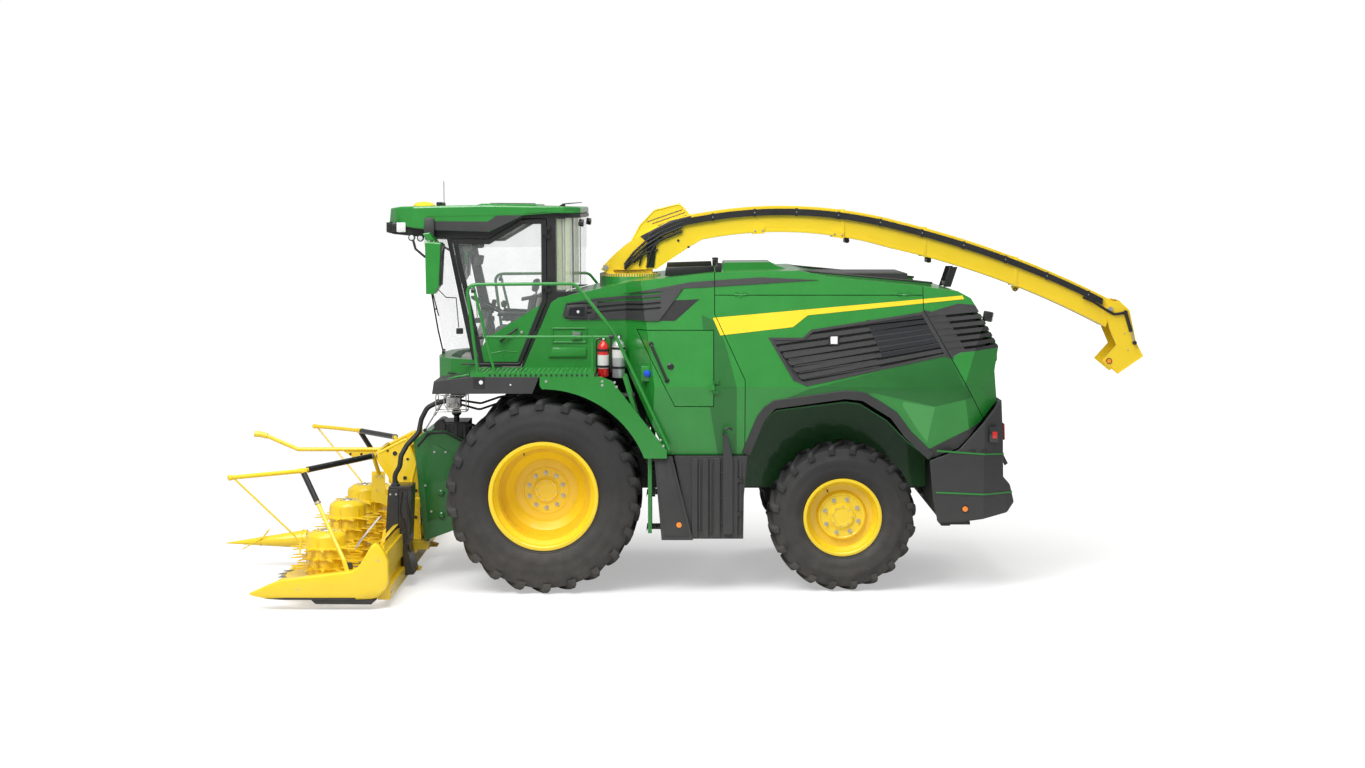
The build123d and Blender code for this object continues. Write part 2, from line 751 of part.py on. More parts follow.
with BuildPart() as deck_screen:
    block((1420, 2400), (-620, 620), (3200, 3262))
    add(outer_form.part, mode=Mode.SUBTRACT)
with BuildPart() as all_louvres:
    add(body_louvres.part)
    add(tail_louvres.part)
    add(deck_screen.part)
save(all_louvres, "body_louvres")

# Rear bumper and skirt, hollow behind, clear of the turned wheels

bumper_gap = 6
bumper_outline = [
    (2560, 1375), (2860, 1490), (3280, 1962), (3310, 1990), (3335, 1580), (3345, 1190), (3425, 1100),
    (3475, 910), (3395, 810), (2885, 740), (2655, 730), (2600, 960),
]
bumper_plan = [
    (2500, -1390), (3120, -1390), (3480, -1130), (3480, 1130), (3120, 1390), (2500, 1390),
]
with BuildPart() as rear_bumper:
    slab([(x, z - bumper_gap) for x, z in bumper_outline], -1400, 1400)
    with BuildSketch(Plane.XY.offset(600)):
        with BuildLine():
            Polyline(*bumper_plan, close=True)
        make_face()
    extrude(amount=1500, mode=Mode.INTERSECT)
    with BuildSketch(Plane.XY.offset(800)):
        with BuildLine():
            Polyline(
                (2400, -1330), (3095, -1330), (3260, -1210), (3260, 1210), (3095, 1330), (2400, 1330), close=True,
            )
        make_face()
    extrude(amount=1400, mode=Mode.SUBTRACT)
    block((2500, 2690), (-1330, 1330), (600, 820), mode=Mode.SUBTRACT)
    block((2840, 3200), (-190, 190), (600, 900), mode=Mode.SUBTRACT)
save(rear_bumper, "rear_bumper")

# Dark lower boxes between the axles and the trim under the front platform

box_outline = [(-265, 1422), (-80, 1422), (705, 1422), (672, 1000), (670, 560), (-190, 560)]
column_xs = (150, 260, 380, 560)

with BuildPart() as lower_side_boxes:
    slab([(-60, 1422), (690, 1422), (655, 1000), (650, 565), (110, 565)], 900, 1400)
    slab([(-265, 1422), (-80, 1422), (132, 560), (-190, 560)], 1380, 1450)
    for x in column_xs:
        slab([(x - 30, 1400), (x + 30, 1400), (x + 30, 580), (x - 30, 580)], 1395, 1425)
    slab([(440, 1650), (480, 1660), (540, 1400), (540, 620), (440, 620)], 1415, 1448)
    slab([(-2520, 2070), (-2500, 2200), (-2140, deck_height - deck_thickness), (-1430, 2244), (-1500, 2075)], 905, 1500)
    block((-60, 600), (-905, -rail_outer_y), (930, 1130))
    mirror(about=Plane.XZ)
save(lower_side_boxes, "lower_side_boxes")

# Platforms and front fenders, both sides

fender_radius = front_tyre_radius + fender_clearance
fender_sheet = 14
fender_end_x = -365
fender_end_z = front_axle_z + sqrt(fender_radius**2 - (fender_end_x - front_axle_x) ** 2)

with BuildPart() as platforms_and_fenders:
    block((-2130, -870), (-deck_outer_y, -cab_half_width), (deck_height - deck_thickness, deck_height))
    middle = 1 / sqrt(2)
    with BuildSketch(Plane.XZ.offset(1450)):
        with BuildLine():
            Polyline(
                (front_axle_x, front_axle_z + fender_radius), (-1425, 2150), (-1425, 2246), (-800, 2246),
                (-690, 2200), (-135, 1490), (-135, fender_end_z), (fender_end_x, fender_end_z),
            )
            ThreePointArc(
                (fender_end_x, fender_end_z),
                (front_axle_x + fender_radius * 0.574, front_axle_z + fender_radius * 0.819),
                (front_axle_x, front_axle_z + fender_radius),
            )
        make_face()
    extrude(amount=50)
    with BuildSketch(Plane.XZ.offset(800)):
        with BuildLine():
            ThreePointArc(
                (fender_end_x, fender_end_z),
                (front_axle_x + fender_radius * 0.574, front_axle_z + fender_radius * 0.819),
                (front_axle_x, front_axle_z + fender_radius),
            )
            Line((front_axle_x, front_axle_z + fender_radius), (front_axle_x, front_axle_z + fender_radius + fender_sheet))
            ThreePointArc(
                (front_axle_x, front_axle_z + fender_radius + fender_sheet),
                (
                    front_axle_x + (fender_radius + fender_sheet) * 0.574,
                    front_axle_z + (fender_radius + fender_sheet) * 0.819,
                ),
                (fender_end_x + fender_sheet, fender_end_z),
            )
            Line((fender_end_x + fender_sheet, fender_end_z), (fender_end_x, fender_end_z))
        make_face()
    extrude(amount=650 + 1)
    mirror(about=Plane.XZ)
save(platforms_and_fenders, "platforms_and_fenders")

# Handrails and the boarding ladder

tread_places = ((-345, 640), (-345, 1000), (-345, 1350), (-470, 1690), (-620, 2010))
tread_depth = 150

with BuildPart() as handrails:
    tube(
        [
            (-2055, -rail_y, deck_height - 5), (-2165, -rail_y, 3180), (-1065, -rail_y, 3190),
            (-685, -rail_y, 2720), (-480, -rail_y, 2290), (-110, -rail_y - 25, 1500),
        ],
        rail_radius, 90,
    )
    rod((-1885, -rail_y, deck_height - 5), (-2095, -rail_y, 3175), rail_radius - 2, sides=8)
    rod((-2020, -rail_y, 2650), (-690, -rail_y, 2650), rail_radius - 3, sides=8)
    rod((-890, -rail_y, deck_height), (-890, -rail_y, 2660), rail_radius - 3, sides=8)
    for x, z in tread_places:
        block((x, x + tread_depth), (-1380, -1050), (z, z + 30))
    slab(
        [
            (-330, 620), (-330, 1380), (-440, 1740), (-590, 2240), (-550, 2240), (-400, 1740), (-290, 1380),
            (-290, 620),
        ],
        1050, 1062,
    )
    mirror(about=Plane.XZ)
    add(platforms_and_fenders.part, mode=Mode.SUBTRACT)
save(handrails, "handrails")

# Cab floor with its front sill

cab_nose = [(-2600, -250), (-2560, -500), (-2420, -720), (-2150, -cab_half_width)]
cab_plan = cab_nose + [(-1500, -cab_half_width)] + [(x, -y) for x, y in reversed(cab_nose + [(-1500, -cab_half_width)])]
sill_top = 2370
under_trim_bottom = 2030

with BuildPart() as cab_base:
    with BuildSketch(Plane.XY.offset(2130)):
        with BuildLine():
            Polyline(*cab_plan, close=True)
        make_face()
    extrude(amount=cab_floor_height - 2130)
    with BuildSketch(Plane.XY.offset(cab_floor_height)):
        with BuildLine():
            Polyline(*cab_plan, close=True)
        make_face()
        offset(amount=-130, kind=Kind.INTERSECTION, mode=Mode.SUBTRACT)
        with Locations((-1700, 0)):
            Rectangle(860, 2000, mode=Mode.SUBTRACT)
    extrude(amount=sill_top - cab_floor_height)
    block((-1640, -1560), (-cab_half_width, cab_half_width), (cab_floor_height, deck_height))
    for side in (-1, 1):
        block(
            (-2130, -1640), (side * (cab_half_width - 25) - 25, side * (cab_half_width - 25) + 25),
            (cab_floor_height, deck_height),
        )
        block((-1660, -1510), (side * 250 - 50, side * 250 + 50), (1950, 2131))
    add(chopper_housing.part, mode=Mode.SUBTRACT)

# Cab door: dark frame, green lower panel and glass, on the left side

door_outline = [
    (-2372, 3622), (-1998, 3622), (-1652, 3828), (-1393, 3836), (-1393, 2985), (-1671, 2300), (-2092, 2300),
]
door_panel_outline = [(-2300, 2150), (-2010, 2600), (-1300, 3045), (-1300, 2150)]
door_outer_y = cab_half_width
frame_width = 48


def door_sheet(outline, inner, outer, frame_inset, hole_inset):
    """A sheet in the door's outline, drawn in by an inset, with an optional hole."""
    with BuildSketch(Plane.XZ.offset(inner)) as sheet:
        with BuildLine():
            Polyline(*outline, close=True)
        make_face()
        if frame_inset:
            offset(amount=-frame_inset, kind=Kind.INTERSECTION, mode=Mode.REPLACE)
        if hole_inset:
            offset(amount=-hole_inset, kind=Kind.INTERSECTION, mode=Mode.SUBTRACT)
    extrude(sheet.sketch, amount=outer - inner)


cab_hinges = [((-1390, -905, z), (-1390, -905, z + 120)) for z in (3080, 3640)]
cab_pin = 7
cab_sleeve = 13

with BuildPart() as cab_door_frame:
    door_sheet(door_outline, door_outer_y - cab_frame_depth, door_outer_y, 0, frame_width)
    rod((-1700, -door_outer_y - 30, 2700), (-1880, -door_outer_y - 30, 2560), 12)
    for x, z in ((-1712, 2690), (-1868, 2570)):
        cross_tube(x, z, 10, door_outer_y - 6, door_outer_y + 30)
with BuildPart() as cab_door_frame_whole:
    add(cab_door_frame.part)
    for start, end in cab_hinges:
        knuckle(start, end, (upper_share,), cab_pin, cab_sleeve, running_clearance)
        block((-1440, -1399), (-912, -cab_half_width), (start[2] + 34, start[2] + 86))
with BuildPart() as cab_door_panel:
    door_sheet(door_outline, door_outer_y - 38, door_outer_y - 6, frame_width, 0)
    slab(door_panel_outline, 700, 1000, mode=Mode.INTERSECT)
with BuildPart() as cab_door_glass:
    door_sheet(door_outline, door_outer_y - 30, door_outer_y - 30 + glass_thickness, frame_width, 0)
    slab(door_panel_outline, 700, 1000, mode=Mode.SUBTRACT)
save(cab_door_frame_whole, "cab_door_frame")
save(cab_door_panel, "cab_door_panel")
save(cab_door_glass, "cab_door_glass")

with BuildPart() as cab_base_whole:
    add(cab_base.part)
    mirror(cab_door_panel.part, about=Plane.XZ)
save(cab_base_whole, "cab_base")

roof_under = [
    (-3055, 3802), (-2925, 3762), (-2595, 3722), (-1975, 3704), (-1605, 3882), (-1405, 3900), (-1035, 3892),
]

# Roof

roof_outline = [(-3035, 3945), (-2905, 3965), (-2075, 3982), (-1455, 3972), (-1035, 3960)] + roof_under[::-1]
with BuildPart() as cab_roof:
    slab(roof_outline, -950, 950)
    with BuildSketch(Plane.XY.offset(3600)):
        with BuildLine():
            Polyline(
                (-3060, -640), (-2960, -820), (-2760, -950), (-1200, -950), (-1035, -830),
                (-1035, 830), (-1200, 950), (-2760, 950), (-2960, 820), (-3060, 640), close=True,
            )
        make_face()
    extrude(amount=500, mode=Mode.INTERSECT)
save(cab_roof, "cab_roof")

# Cab frame: pillars, roof rail, lamp bar, right side frame and the trim below the floor

with BuildPart() as side_window_frame:
    door_sheet(door_outline, door_outer_y - cab_frame_depth, door_outer_y, -14, frame_width + 14)
    add(cab_base.part, mode=Mode.SUBTRACT)

with BuildPart() as cab_frame:
    slab([(-2440, 3700), (-2385, 3640), (-2118, sill_top), (-2176, sill_top)], 822, cab_half_width)
    slab(
        [
            (b_pillar_x, 3880), (b_pillar_x + b_pillar_width, 3880), (b_pillar_x + b_pillar_width, 3006),
            (-1347, 2974), (-1646, deck_height), (-1663, deck_height),
            (b_pillar_x, 2970),
        ],
        822, cab_half_width,
    )
    for start, end in cab_hinges:
        knuckle(start, end, ((0, 0.26), (0.74, 1)), cab_pin, cab_sleeve, 0)
        for low in (start[2], start[2] + 89):
            block((-1385, -1345), (-912, -cab_half_width), (low, low + 31))
    slab(roof_under[2:] + [(-1035, 3850), (-1643, 3842), (-1992, 3634), (-2595, 3640)], 800, cab_half_width)
    slab([(-1296, 3012), (-1296, 3082), (-1045, 3082), (-1045, 3076), (-1265, 3027)], 850, cab_half_width)
    mirror(about=Plane.XZ)
    slab(roof_under[:3] + [(-2595, 3640), (-2980, 3680), (-3055, 3700)], -860, 860)
    block((-1075, -1035), (-801, 801), (3850, 3890))
    with BuildSketch(Plane.XY.offset(under_trim_bottom)):
        with BuildLine():
            Polyline(*cab_plan, close=True)
        make_face()
        offset(amount=-60, kind=Kind.INTERSECTION, mode=Mode.SUBTRACT)
        with Locations((-1500, 0)):
            Rectangle(240, 2000, mode=Mode.SUBTRACT)
    extrude(amount=2130 - under_trim_bottom)
    mirror(side_window_frame.part, about=Plane.XZ)
save(cab_frame, "cab_frame")

# Cab glass: curved windscreen, rear corners and rear window, right side window

windscreen_foot = (-2195, -2560)
windscreen_head = (-2469, -2800)



def bow(edge_x, middle_x, half_width, strips):
    """Points on the arc from one side edge over the middle to the other."""
    rise = edge_x - middle_x
    arc_radius = (half_width**2 + rise**2) / (2 * rise)
    ys = [half_width * (2 * i / strips - 1) for i in range(strips + 1)]
    return [(middle_x + arc_radius - sqrt(arc_radius**2 - y**2), y) for y in ys]


with BuildPart() as cab_glass:
    for (edge_x, middle_x), z in ((windscreen_foot, sill_top), (windscreen_head, 3720)):
        with BuildSketch(Plane.XY.offset(z)):
            with BuildLine():
                front = bow(edge_x, middle_x, 845, 10)
                Polyline(*front, *[(x + glass_thickness, y) for x, y in reversed(front)], close=True)
            make_face()
    loft(ruled=True)
    with BuildSketch(Plane.XY.offset(3082)):
        with BuildLine():
            Polyline(
                (-1294, -866), (-1130, -866), (-1050, -760), (-1050, 760), (-1130, 866), (-1294, 866),
                (-1294, 856), (-1135, 856), (-1060, 756), (-1060, -756), (-1135, -856), (-1294, -856), close=True,
            )
        make_face()
    extrude(amount=3860 - 3082)
    add(cab_frame.part, mode=Mode.SUBTRACT)
    add(cab_roof.part, mode=Mode.SUBTRACT)
    mirror(cab_door_glass.part, about=Plane.XZ)
save(cab_glass, "cab_glass")

# Seat and controls

with BuildPart() as operator_seat:
    slab([(-1930, cab_floor_height), (-1700, cab_floor_height), (-1710, 2570), (-1900, 2575)], -170, 170)
    slab([(-2010, 2560), (-1640, 2540), (-1600, 2660), (-1990, 2690)], -260, 260)
    slab([(-1690, 2660), (-1590, 2655), (-1500, 3180), (-1600, 3200)], -240, 240)
save(operator_seat, "operator_seat")

with BuildPart() as cab_controls:
    slab([(-2330, cab_floor_height), (-2230, cab_floor_height), (-2062, 2900), (-2112, 2925)], -45, 45)
    with BuildSketch(Plane(origin=(-2100, 0, 2890), z_dir=(0.45, 0, 0.9))):
        Circle(200)
        Circle(178, mode=Mode.SUBTRACT)
        Rectangle(370, 40)
        Rectangle(40, 370)
    extrude(amount=24)
    block((-1990, -1700), (270, 400), (2700, 2760))
    block((-1860, -1780), (300, 370), (cab_floor_height, 2700))
    for z, lean_x in ((3330, -2480), (3150, -2440)):
        block((lean_x, lean_x + 50), (430, 700), (z, z + 170))
    block((-2430, -2400), (550, 580), (3150, 3725))
    add(cab_roof.part, mode=Mode.SUBTRACT)
save(cab_controls, "cab_controls")

# Mirrors, roof aerials and fire extinguishers

with BuildPart() as cab_mirrors:
    slab([(-2585, 3610), (-2425, 3600), (-2450, 3160), (-2500, 3080), (-2580, 3080)], 1150, 1400)
    slab([(-2640, 3690), (-2570, 3700), (-2500, 3580), (-2560, 3550)], cab_half_width, 1160)
    mirror(about=Plane.XZ)
save(cab_mirrors, "cab_mirrors")


def upright(x, y, steps, sides, mode=Mode.ADD):
    """A many-sided upright form through (radius, Z) steps."""
    with Locations((x, y, 0)):
        stack(steps, sides, mode)


with BuildPart() as roof_aerials:
    upright(-2775, 0, [(110, 3950), (100, 3990), (60, 4010)], 16)
    upright(-2560, 0, [(18, 3950), (18, 3990), (6, 4000), (6, 4240)], 8)
    slab([(-1320, 3955), (-1270, 4000), (-1060, 4010), (-1060, 4000), (-1250, 3985), (-1230, 3955)], -15, 15)
    add(cab_roof.part, mode=Mode.SUBTRACT)
save(roof_aerials, "roof_aerials")

with BuildPart() as fire_extinguishers:
    for x, radius, low, high in ((-800, 58, 2200, 2540), (-640, 66, 2190, 2560)):
        y = -cab_wall_y - radius - 20
        upright(x, y, [(radius, low), (radius, high), (25, high + 45), (25, high + 80)], 12)
        block((x - 35, x + 35), (y - 1, -cab_wall_y), (low + 90, low + 130))
save(fire_extinguishers, "fire_extinguishers")

# Spout: turntable and neck, curved duct, hose guard, end flap and the cradle it rests in

spout_pivot = (-800, 3310)
flap_pivot = (4640, 2860)
pivot_pin = 18
neck_half_width = 160
plate_gap = 0.3
duct_foot = 3284
duct_top = [
    ((-860, duct_foot), (-680, 3480), (-330, 3700)),
    ((-330, 3700), (-80, 3822), (215, 3893)),
    ((215, 3893), (1295, 3968), (2385, 3800)),
    ((2385, 3800), (3560, 3440), (4700, 2935)),
]
duct_under = [
    ((4600, 2668), (3500, 3157), (2300, 3507)),
    ((2300, 3507), (1250, 3687), (215, 3605)),
    ((215, 3605), (10, 3470), (-270, duct_foot)),
]


def shifted_arcs(arcs, rise):
    """A run of arcs, each a start, a middle and an end, raised by a height."""
    return [[(x, z + rise) for x, z in arc] for arc in arcs]


def between_arcs(left, first, second):
    """The side view between two runs of arcs that follow one another round, at a distance to the left."""
    with BuildSketch(Plane.XZ.offset(left)) as face:
        with BuildLine():
            for arc in first + second:
                ThreePointArc(*arc)
            Line(first[-1][2], second[0][0])
            Line(second[-1][2], first[0][0])
        make_face()
    return face.sketch


def arc_band(left, arcs, near, far):
    """The side view of the band between two heights off a run of arcs."""
    back = [arc[::-1] for arc in shifted_arcs(arcs, far)[::-1]]
    return between_arcs(left, shifted_arcs(arcs, near), back)


# U-shaped collars under the duct, at its joints

collar_half_width = spout_half_width + 18
with BuildPart() as collar_places:
    for x in (845, 1700):
        block((x - 60, x + 60), (-collar_half_width, collar_half_width), (3400, 3900))
with BuildPart() as spout_collars:
    extrude(arc_band(-collar_half_width, duct_under[1:2], -14, 60), amount=2 * collar_half_width)
    side_room = spout_half_width + plate_gap
    extrude(arc_band(-side_room, duct_under[1:2], 4, 80), amount=2 * side_room, mode=Mode.SUBTRACT)
    add(collar_places.part, mode=Mode.INTERSECT)

# The duct's four plates: roof and floor over the whole width, sides between them

side_inset = spout_wall + plate_gap
with BuildPart() as spout_duct:
    extrude(arc_band(-spout_half_width, duct_top, 0, -spout_wall), amount=2 * spout_half_width)
    extrude(arc_band(-spout_half_width, duct_under, 0, spout_wall), amount=2 * spout_half_width)
    for left in (-spout_half_width, spout_half_width - spout_wall):
        side_face = between_arcs(left, shifted_arcs(duct_top, -side_inset), shifted_arcs(duct_under, side_inset))
        extrude(side_face, amount=spout_wall)
    block((-900, -200), (-300, 300), (3200, duct_foot), mode=Mode.SUBTRACT)
    for x, z in (spout_pivot, flap_pivot):
        cross_tube(x, z, pivot_pin + running_clearance, -300, 300, mode=Mode.SUBTRACT)
    slab([(-525, 3590), (-435, 3760), (-275, 3930), (-5, 4000), (105, 3870), (-100, 3808), (-330, 3694)], -150, 150)
    add(spout_collars.part)
save(spout_duct, "spout_duct")

with BuildPart() as spout_base:
    upright(swing_x, 0, [(turntable_radius, turntable_height), (turntable_radius, turntable_height + 32)], 32)
    upright(swing_x, 0, [(turntable_radius - 60, turntable_height - 1), (turntable_radius - 60, turntable_height + 33)], 32, Mode.SUBTRACT)
    block((-790, -300), (-neck_half_width, neck_half_width), (turntable_height + 10, 3300))
    block((-780, -310), (-neck_half_width + 10, neck_half_width - 10), (turntable_height - 50, 3350), mode=Mode.SUBTRACT)
    pivot_px, pivot_pz = spout_pivot
    for side in (-1, 1):
        slab(
            [(-780, turntable_height + 30), (-700, turntable_height + 30), (pivot_px + 40, pivot_pz + 30), (pivot_px - 30, pivot_pz + 30), (pivot_px - 40, pivot_pz - 30)],
            side * (spout_half_width + 18) - 10, side * (spout_half_width + 18) + 10,
        )
        cross_tube(pivot_px, pivot_pz, pivot_pin, side * (spout_half_width - 2) - 20, side * (spout_half_width - 2) + 20)
    block((-790, -690), (-spout_half_width - 28, spout_half_width + 28), (turntable_height + 20, turntable_height + 32))
save(spout_base, "spout_base")

with BuildPart() as spout_hose_guard:
    extrude(arc_band(spout_half_width, duct_top[1:], -30, -100), amount=36)
    block((4555, 4800), (-400, 0), (2500, 3300), mode=Mode.SUBTRACT)
save(spout_hose_guard, "spout_hose_guard")

with BuildPart() as spout_flap:
    slab(
        [
            (4600, 2870), (4650, 2925), (4730, 2960), (4850, 2850), (4925, 2510), (5010, 2350), (4735, 2160),
            (4565, 2300), (4715, 2470), (4640, 2640), (4600, 2800),
        ],
        -spout_half_width - 22, spout_half_width + 22,
    )
    slab(
        [
            (4500, 2966), (4726, 2966), (4812, 2832), (4890, 2500), (4965, 2360), (4720, 2120),
            (4520, 2280), (4690, 2480), (4500, 2600),
        ],
        -spout_half_width - 7, spout_half_width + 7, mode=Mode.SUBTRACT,
    )
    flap_x, flap_z = flap_pivot
    for side in (-1, 1):
        cross_tube(flap_x, flap_z, pivot_pin, side * (spout_half_width + 2) - 20, side * (spout_half_width + 2) + 20)
save(spout_flap, "spout_flap")

cradle_top = 3316
with BuildPart() as spout_cradle:
    for side in (-1, 1):
        slab([(2840, 3100), (2920, 3100), (2990, cradle_top), (2910, cradle_top)], side * 175 - 12, side * 175 + 12)
    block((2860, 2900), (-187, 187), (3120, 3160))
    add(outer_form.part, mode=Mode.SUBTRACT)
save(spout_cradle, "spout_cradle")

# Feed housing: pivots on the front axle's cheeks and carries the header

feed_half_width = 600
eye_x, eye_z = cylinder_eye
pivot_x, pivot_z = lift_pivot

with BuildPart() as feed_housing:
    slab(
        [
            (-2840, 1480), (-2690, 1590), (-2500, 1590), (-2295, 1480), (-1900, 1300), (-1850, 900),
            (-2300, 560), (-2740, 400),
        ],
        -feed_half_width, feed_half_width,
    )
    block((-2900, -2350), (-320, 320), (520, 1080), mode=Mode.SUBTRACT)
    for side in (-1, 1):
        slab(
            [
                (-1950, 1270), (pivot_x + 10, pivot_z + 75), (pivot_x + 75, pivot_z), (pivot_x + 10, pivot_z - 75),
                (-1950, 1000),
            ],
            side * 580 - 18, side * 580 + 18,
        )
        for cheek in (side * cylinder_y - 42, side * cylinder_y + 42):
            slab(
                [(eye_x - 120, 540), (eye_x + 140, 680), (eye_x + 50, eye_z - 40), (eye_x - 50, eye_z - 40)],
                cheek - 8, cheek + 8,
            )
        cross_tube(eye_x, eye_z, eye_pin_radius, side * cylinder_y - 50, side * cylinder_y + 50)
    cross_tube(pivot_x, pivot_z, pivot_pin_radius + running_clearance, -700, 700, mode=Mode.SUBTRACT)
save(feed_housing, "feed_housing")

# Lift cylinders: barrels on the axle's feet, rods on the housing's eyes

foot_x, foot_z = cylinder_foot
reach = hypot(eye_x - foot_x, eye_z - foot_z)
along = ((eye_x - foot_x) / reach, (eye_z - foot_z) / reach)
barrel_start = 110
barrel_end = 600
rod_start = 340


def on_cylinder(distance, side):
    """A point on the cylinder's axis, measured from its foot."""
    return (foot_x + along[0] * distance, -side * cylinder_y, foot_z + along[1] * distance)


with BuildPart() as lift_cylinder_barrels:
    for side in (-1, 1):
        cross_tube(foot_x, foot_z, 46, side * cylinder_y - 30, side * cylinder_y + 30, sides=12)
        rod(on_cylinder(20, side), on_cylinder(barrel_start + 10, side), 34, sides=8)
        rod(on_cylinder(barrel_start, side), on_cylinder(barrel_end, side), barrel_radius, sides=14)
        rod(
            on_cylinder(barrel_start + 30, side), on_cylinder(barrel_end + 5, side),
            cylinder_rod_radius + running_clearance, mode=Mode.SUBTRACT,
        )
        cross_tube(
            foot_x, foot_z, foot_pin_radius + running_clearance, side * cylinder_y - 40, side * cylinder_y + 40,
            mode=Mode.SUBTRACT,
        )
save(lift_cylinder_barrels, "lift_cylinder_barrels")

with BuildPart() as lift_cylinder_rods:
    for side in (-1, 1):
        rod(on_cylinder(rod_start, side), on_cylinder(reach - 20, side), cylinder_rod_radius)
        cross_tube(eye_x, eye_z, 44, side * cylinder_y - 28, side * cylinder_y + 28, sides=12)
        cross_tube(eye_x, eye_z, eye_pin_radius + 4, side * cylinder_y - 40, side * cylinder_y + 40, mode=Mode.SUBTRACT)
save(lift_cylinder_rods, "lift_cylinder_rods")

# Header frame: beams across the header, mast plates and the arms under the rotors

beam_rear_x = -2880
floor_low = 80
floor_high = 200
shaft_radius = 40
rotor_places = (
    (rotor_x, -outer_rotor_y), (rotor_x + 40, -inner_rotor_y),
    (rotor_x + 40, inner_rotor_y), (rotor_x, outer_rotor_y),
)
inner_end_y = 2110

with BuildPart() as header_frame:
    block((-3000, beam_rear_x), (-inner_end_y, inner_end_y), (floor_low, floor_high + 10))
    for side in (-1, 1):
        middle_y = side * (inner_end_y + 650) / 2
        half = (inner_end_y - 650) / 2
        block((-3000, -2900), (middle_y - half, middle_y + half), (330, 560))
        block((-2960, -2930), (middle_y - half, middle_y + half), (floor_high, 620))
    for side in (-1, 1):
        slab(
            [
                (-3265, 1310), (-2950, 1465), (-2850, 1200), (-2930, 900), (-2900, floor_low + 20),
                (-3000, floor_low + 20), (-3020, 860), (-3265, 1220),
            ],
            side * 350 - 15, side * 350 + 15,
        )
        slab(
            [(-3290, 1150), (-3150, 1150), (-3150, 900), (-2950, 830), (-2950, 700), (-3300, 850)],
            side * 600 - 6, side * 600 + 6,
        )
        for low in (300, 760):
            block((-2940, -2700), (side * 500 - 60, side * 500 + 60), (low, low + 90))
        block((-2960, -2935), (side * 500 - 150, side * 500 + 150), (floor_high, 880))
        block((-2930, -2880), (side * 635 - 18, side * 635 + 18), (150, 830))
    block((-3060, -2960), (-360, 360), (1300, 1400))
    for x, y in rotor_places:
        block((x - 60, -2990), (y - 110, y + 110), (floor_low, floor_high))
        upright(x, y, [(130, floor_low), (130, floor_high)], 12)
        rod((x, y, floor_high - 1), (x, y, 300), shaft_radius)
    add(feed_housing.part, mode=Mode.SUBTRACT)
save(header_frame, "header_frame")

# Row dividers: centre cone, row tips and the two outer boats

row_spacing = 750
with BuildPart() as row_dividers:
    faceted([
        [(x, radius * cos(i * pi / 5), z + radius * sin(i * pi / 5)) for i in range(10)]
        for x, z, radius in ((-5010, 268, 6), (-4120, 315, 103))
    ])
    slab([(-4125, 220), (-4125, 410), (-3980, 330), (-3700, 190), (-2990, 150), (-2990, 90), (-3900, 90)], -36, 36)
    for index in (1, 2):
        for side in (-1, 1):
            y = side * row_spacing * index
            slab([(-4180, 95), (-4080, 190), (-3960, 196), (-2990, 196), (-2990, 90), (-4150, 82)], y - 40, y + 40)
    for side in (-1, 1):
        faceted([
            [(x, side * y + dy * half_y, z + dz * half_z) for dy, dz in ((-1, -1), (1, -1), (1, 1), (-1, 1))]
            for x, y, z, half_y, half_z in ((-4258, 2200, 160, 8, 8), (-3935, 2185, 205, 55, 100))
        ])
        slab(
            [
                (-3936, 105), (-3936, 305), (-3190, 395), (-3020, 690), (-2935, 625), (-2870, 490),
                (-2875, 260), (-2930, 180), (-3050, 105),
            ],
            side * 2180 - 70, side * 2180 + 70,
        )
        slab([(-3650, 105), (-3600, 60), (-3050, 55), (-2990, 105)], side * 2180 - 50, side * 2180 + 50)
    add(header_frame.part, mode=Mode.SUBTRACT)
save(row_dividers, "row_dividers")

# Crop guards: bent tubes in front of the header

guard_radius = 22
with BuildPart() as crop_guards:
    for side in (-1, 1):
        tube(
            [
                (-4415, side * 2150, 1310), (-4150, side * 1960, 1312), (-3815, side * 1700, 1312),
                (-3240, side * 800, 1345), (-3215, side * 600, 1130),
            ],
            guard_radius, 60,
        )
        tube(
            [
                (-3800, side * 1700, 1300), (-3640, side * 1800, 1000), (-3330, side * 2120, 480),
                (-3290, side * 2150, 360),
            ],
            guard_radius, 40,
        )
        rod((-4395, side * 2140, 1300), (-3860, side * 1930, 700), 10, sides=6)
    tube([(-4655, 0, 1480), (-4560, 0, 1470), (-4195, 0, 1310), (-3262, 0, 1310)], guard_radius, 60)
    block((-3275, -3240), (-335, 335), (1270, 1345))
    add(header_frame.part, mode=Mode.SUBTRACT)
    add(row_dividers.part, mode=Mode.SUBTRACT)
save(crop_guards, "crop_guards")

# Black drive column and covers on the header's left, and the drive parts on the feed housing

with BuildPart() as header_drive_covers:
    slab([(-2990, 440), (-2960, 1040), (-2800, 1040), (-2830, 440)], 770, 1080)
    slab([(-2895, 120), (-2895, 440), (-2860, 440), (-2790, 130)], 700, 1080)
    block((-2600, -2260), (-560, -180), (1450, 1680))
    cross_tube(-2560, 1640, 60, 200, 600)
    upright(-2400, -420, [(20, 1670), (20, 1735), (45, 1755), (45, 1790), (22, 1818)], 10)
    add(feed_housing.part, mode=Mode.SUBTRACT)
    add(header_frame.part, mode=Mode.SUBTRACT)
save(header_drive_covers, "header_drive_covers")

# Rotors: toothed disc, layers of tines and the drum they stand on

tooth_count = 18
tine_count = 12


def star(x, y, root, tip, count, base):
    """Outline of points that stand out from a round root, each on two root corners."""
    corners = []
    for i in range(count):
        start = 2 * pi * i / count
        for radius, angle in ((root, start), (tip, start + 0.8 * base), (root, start + base)):
            corners.append((x + radius * cos(angle), y + radius * sin(angle)))
    Polyline(*corners, close=True)


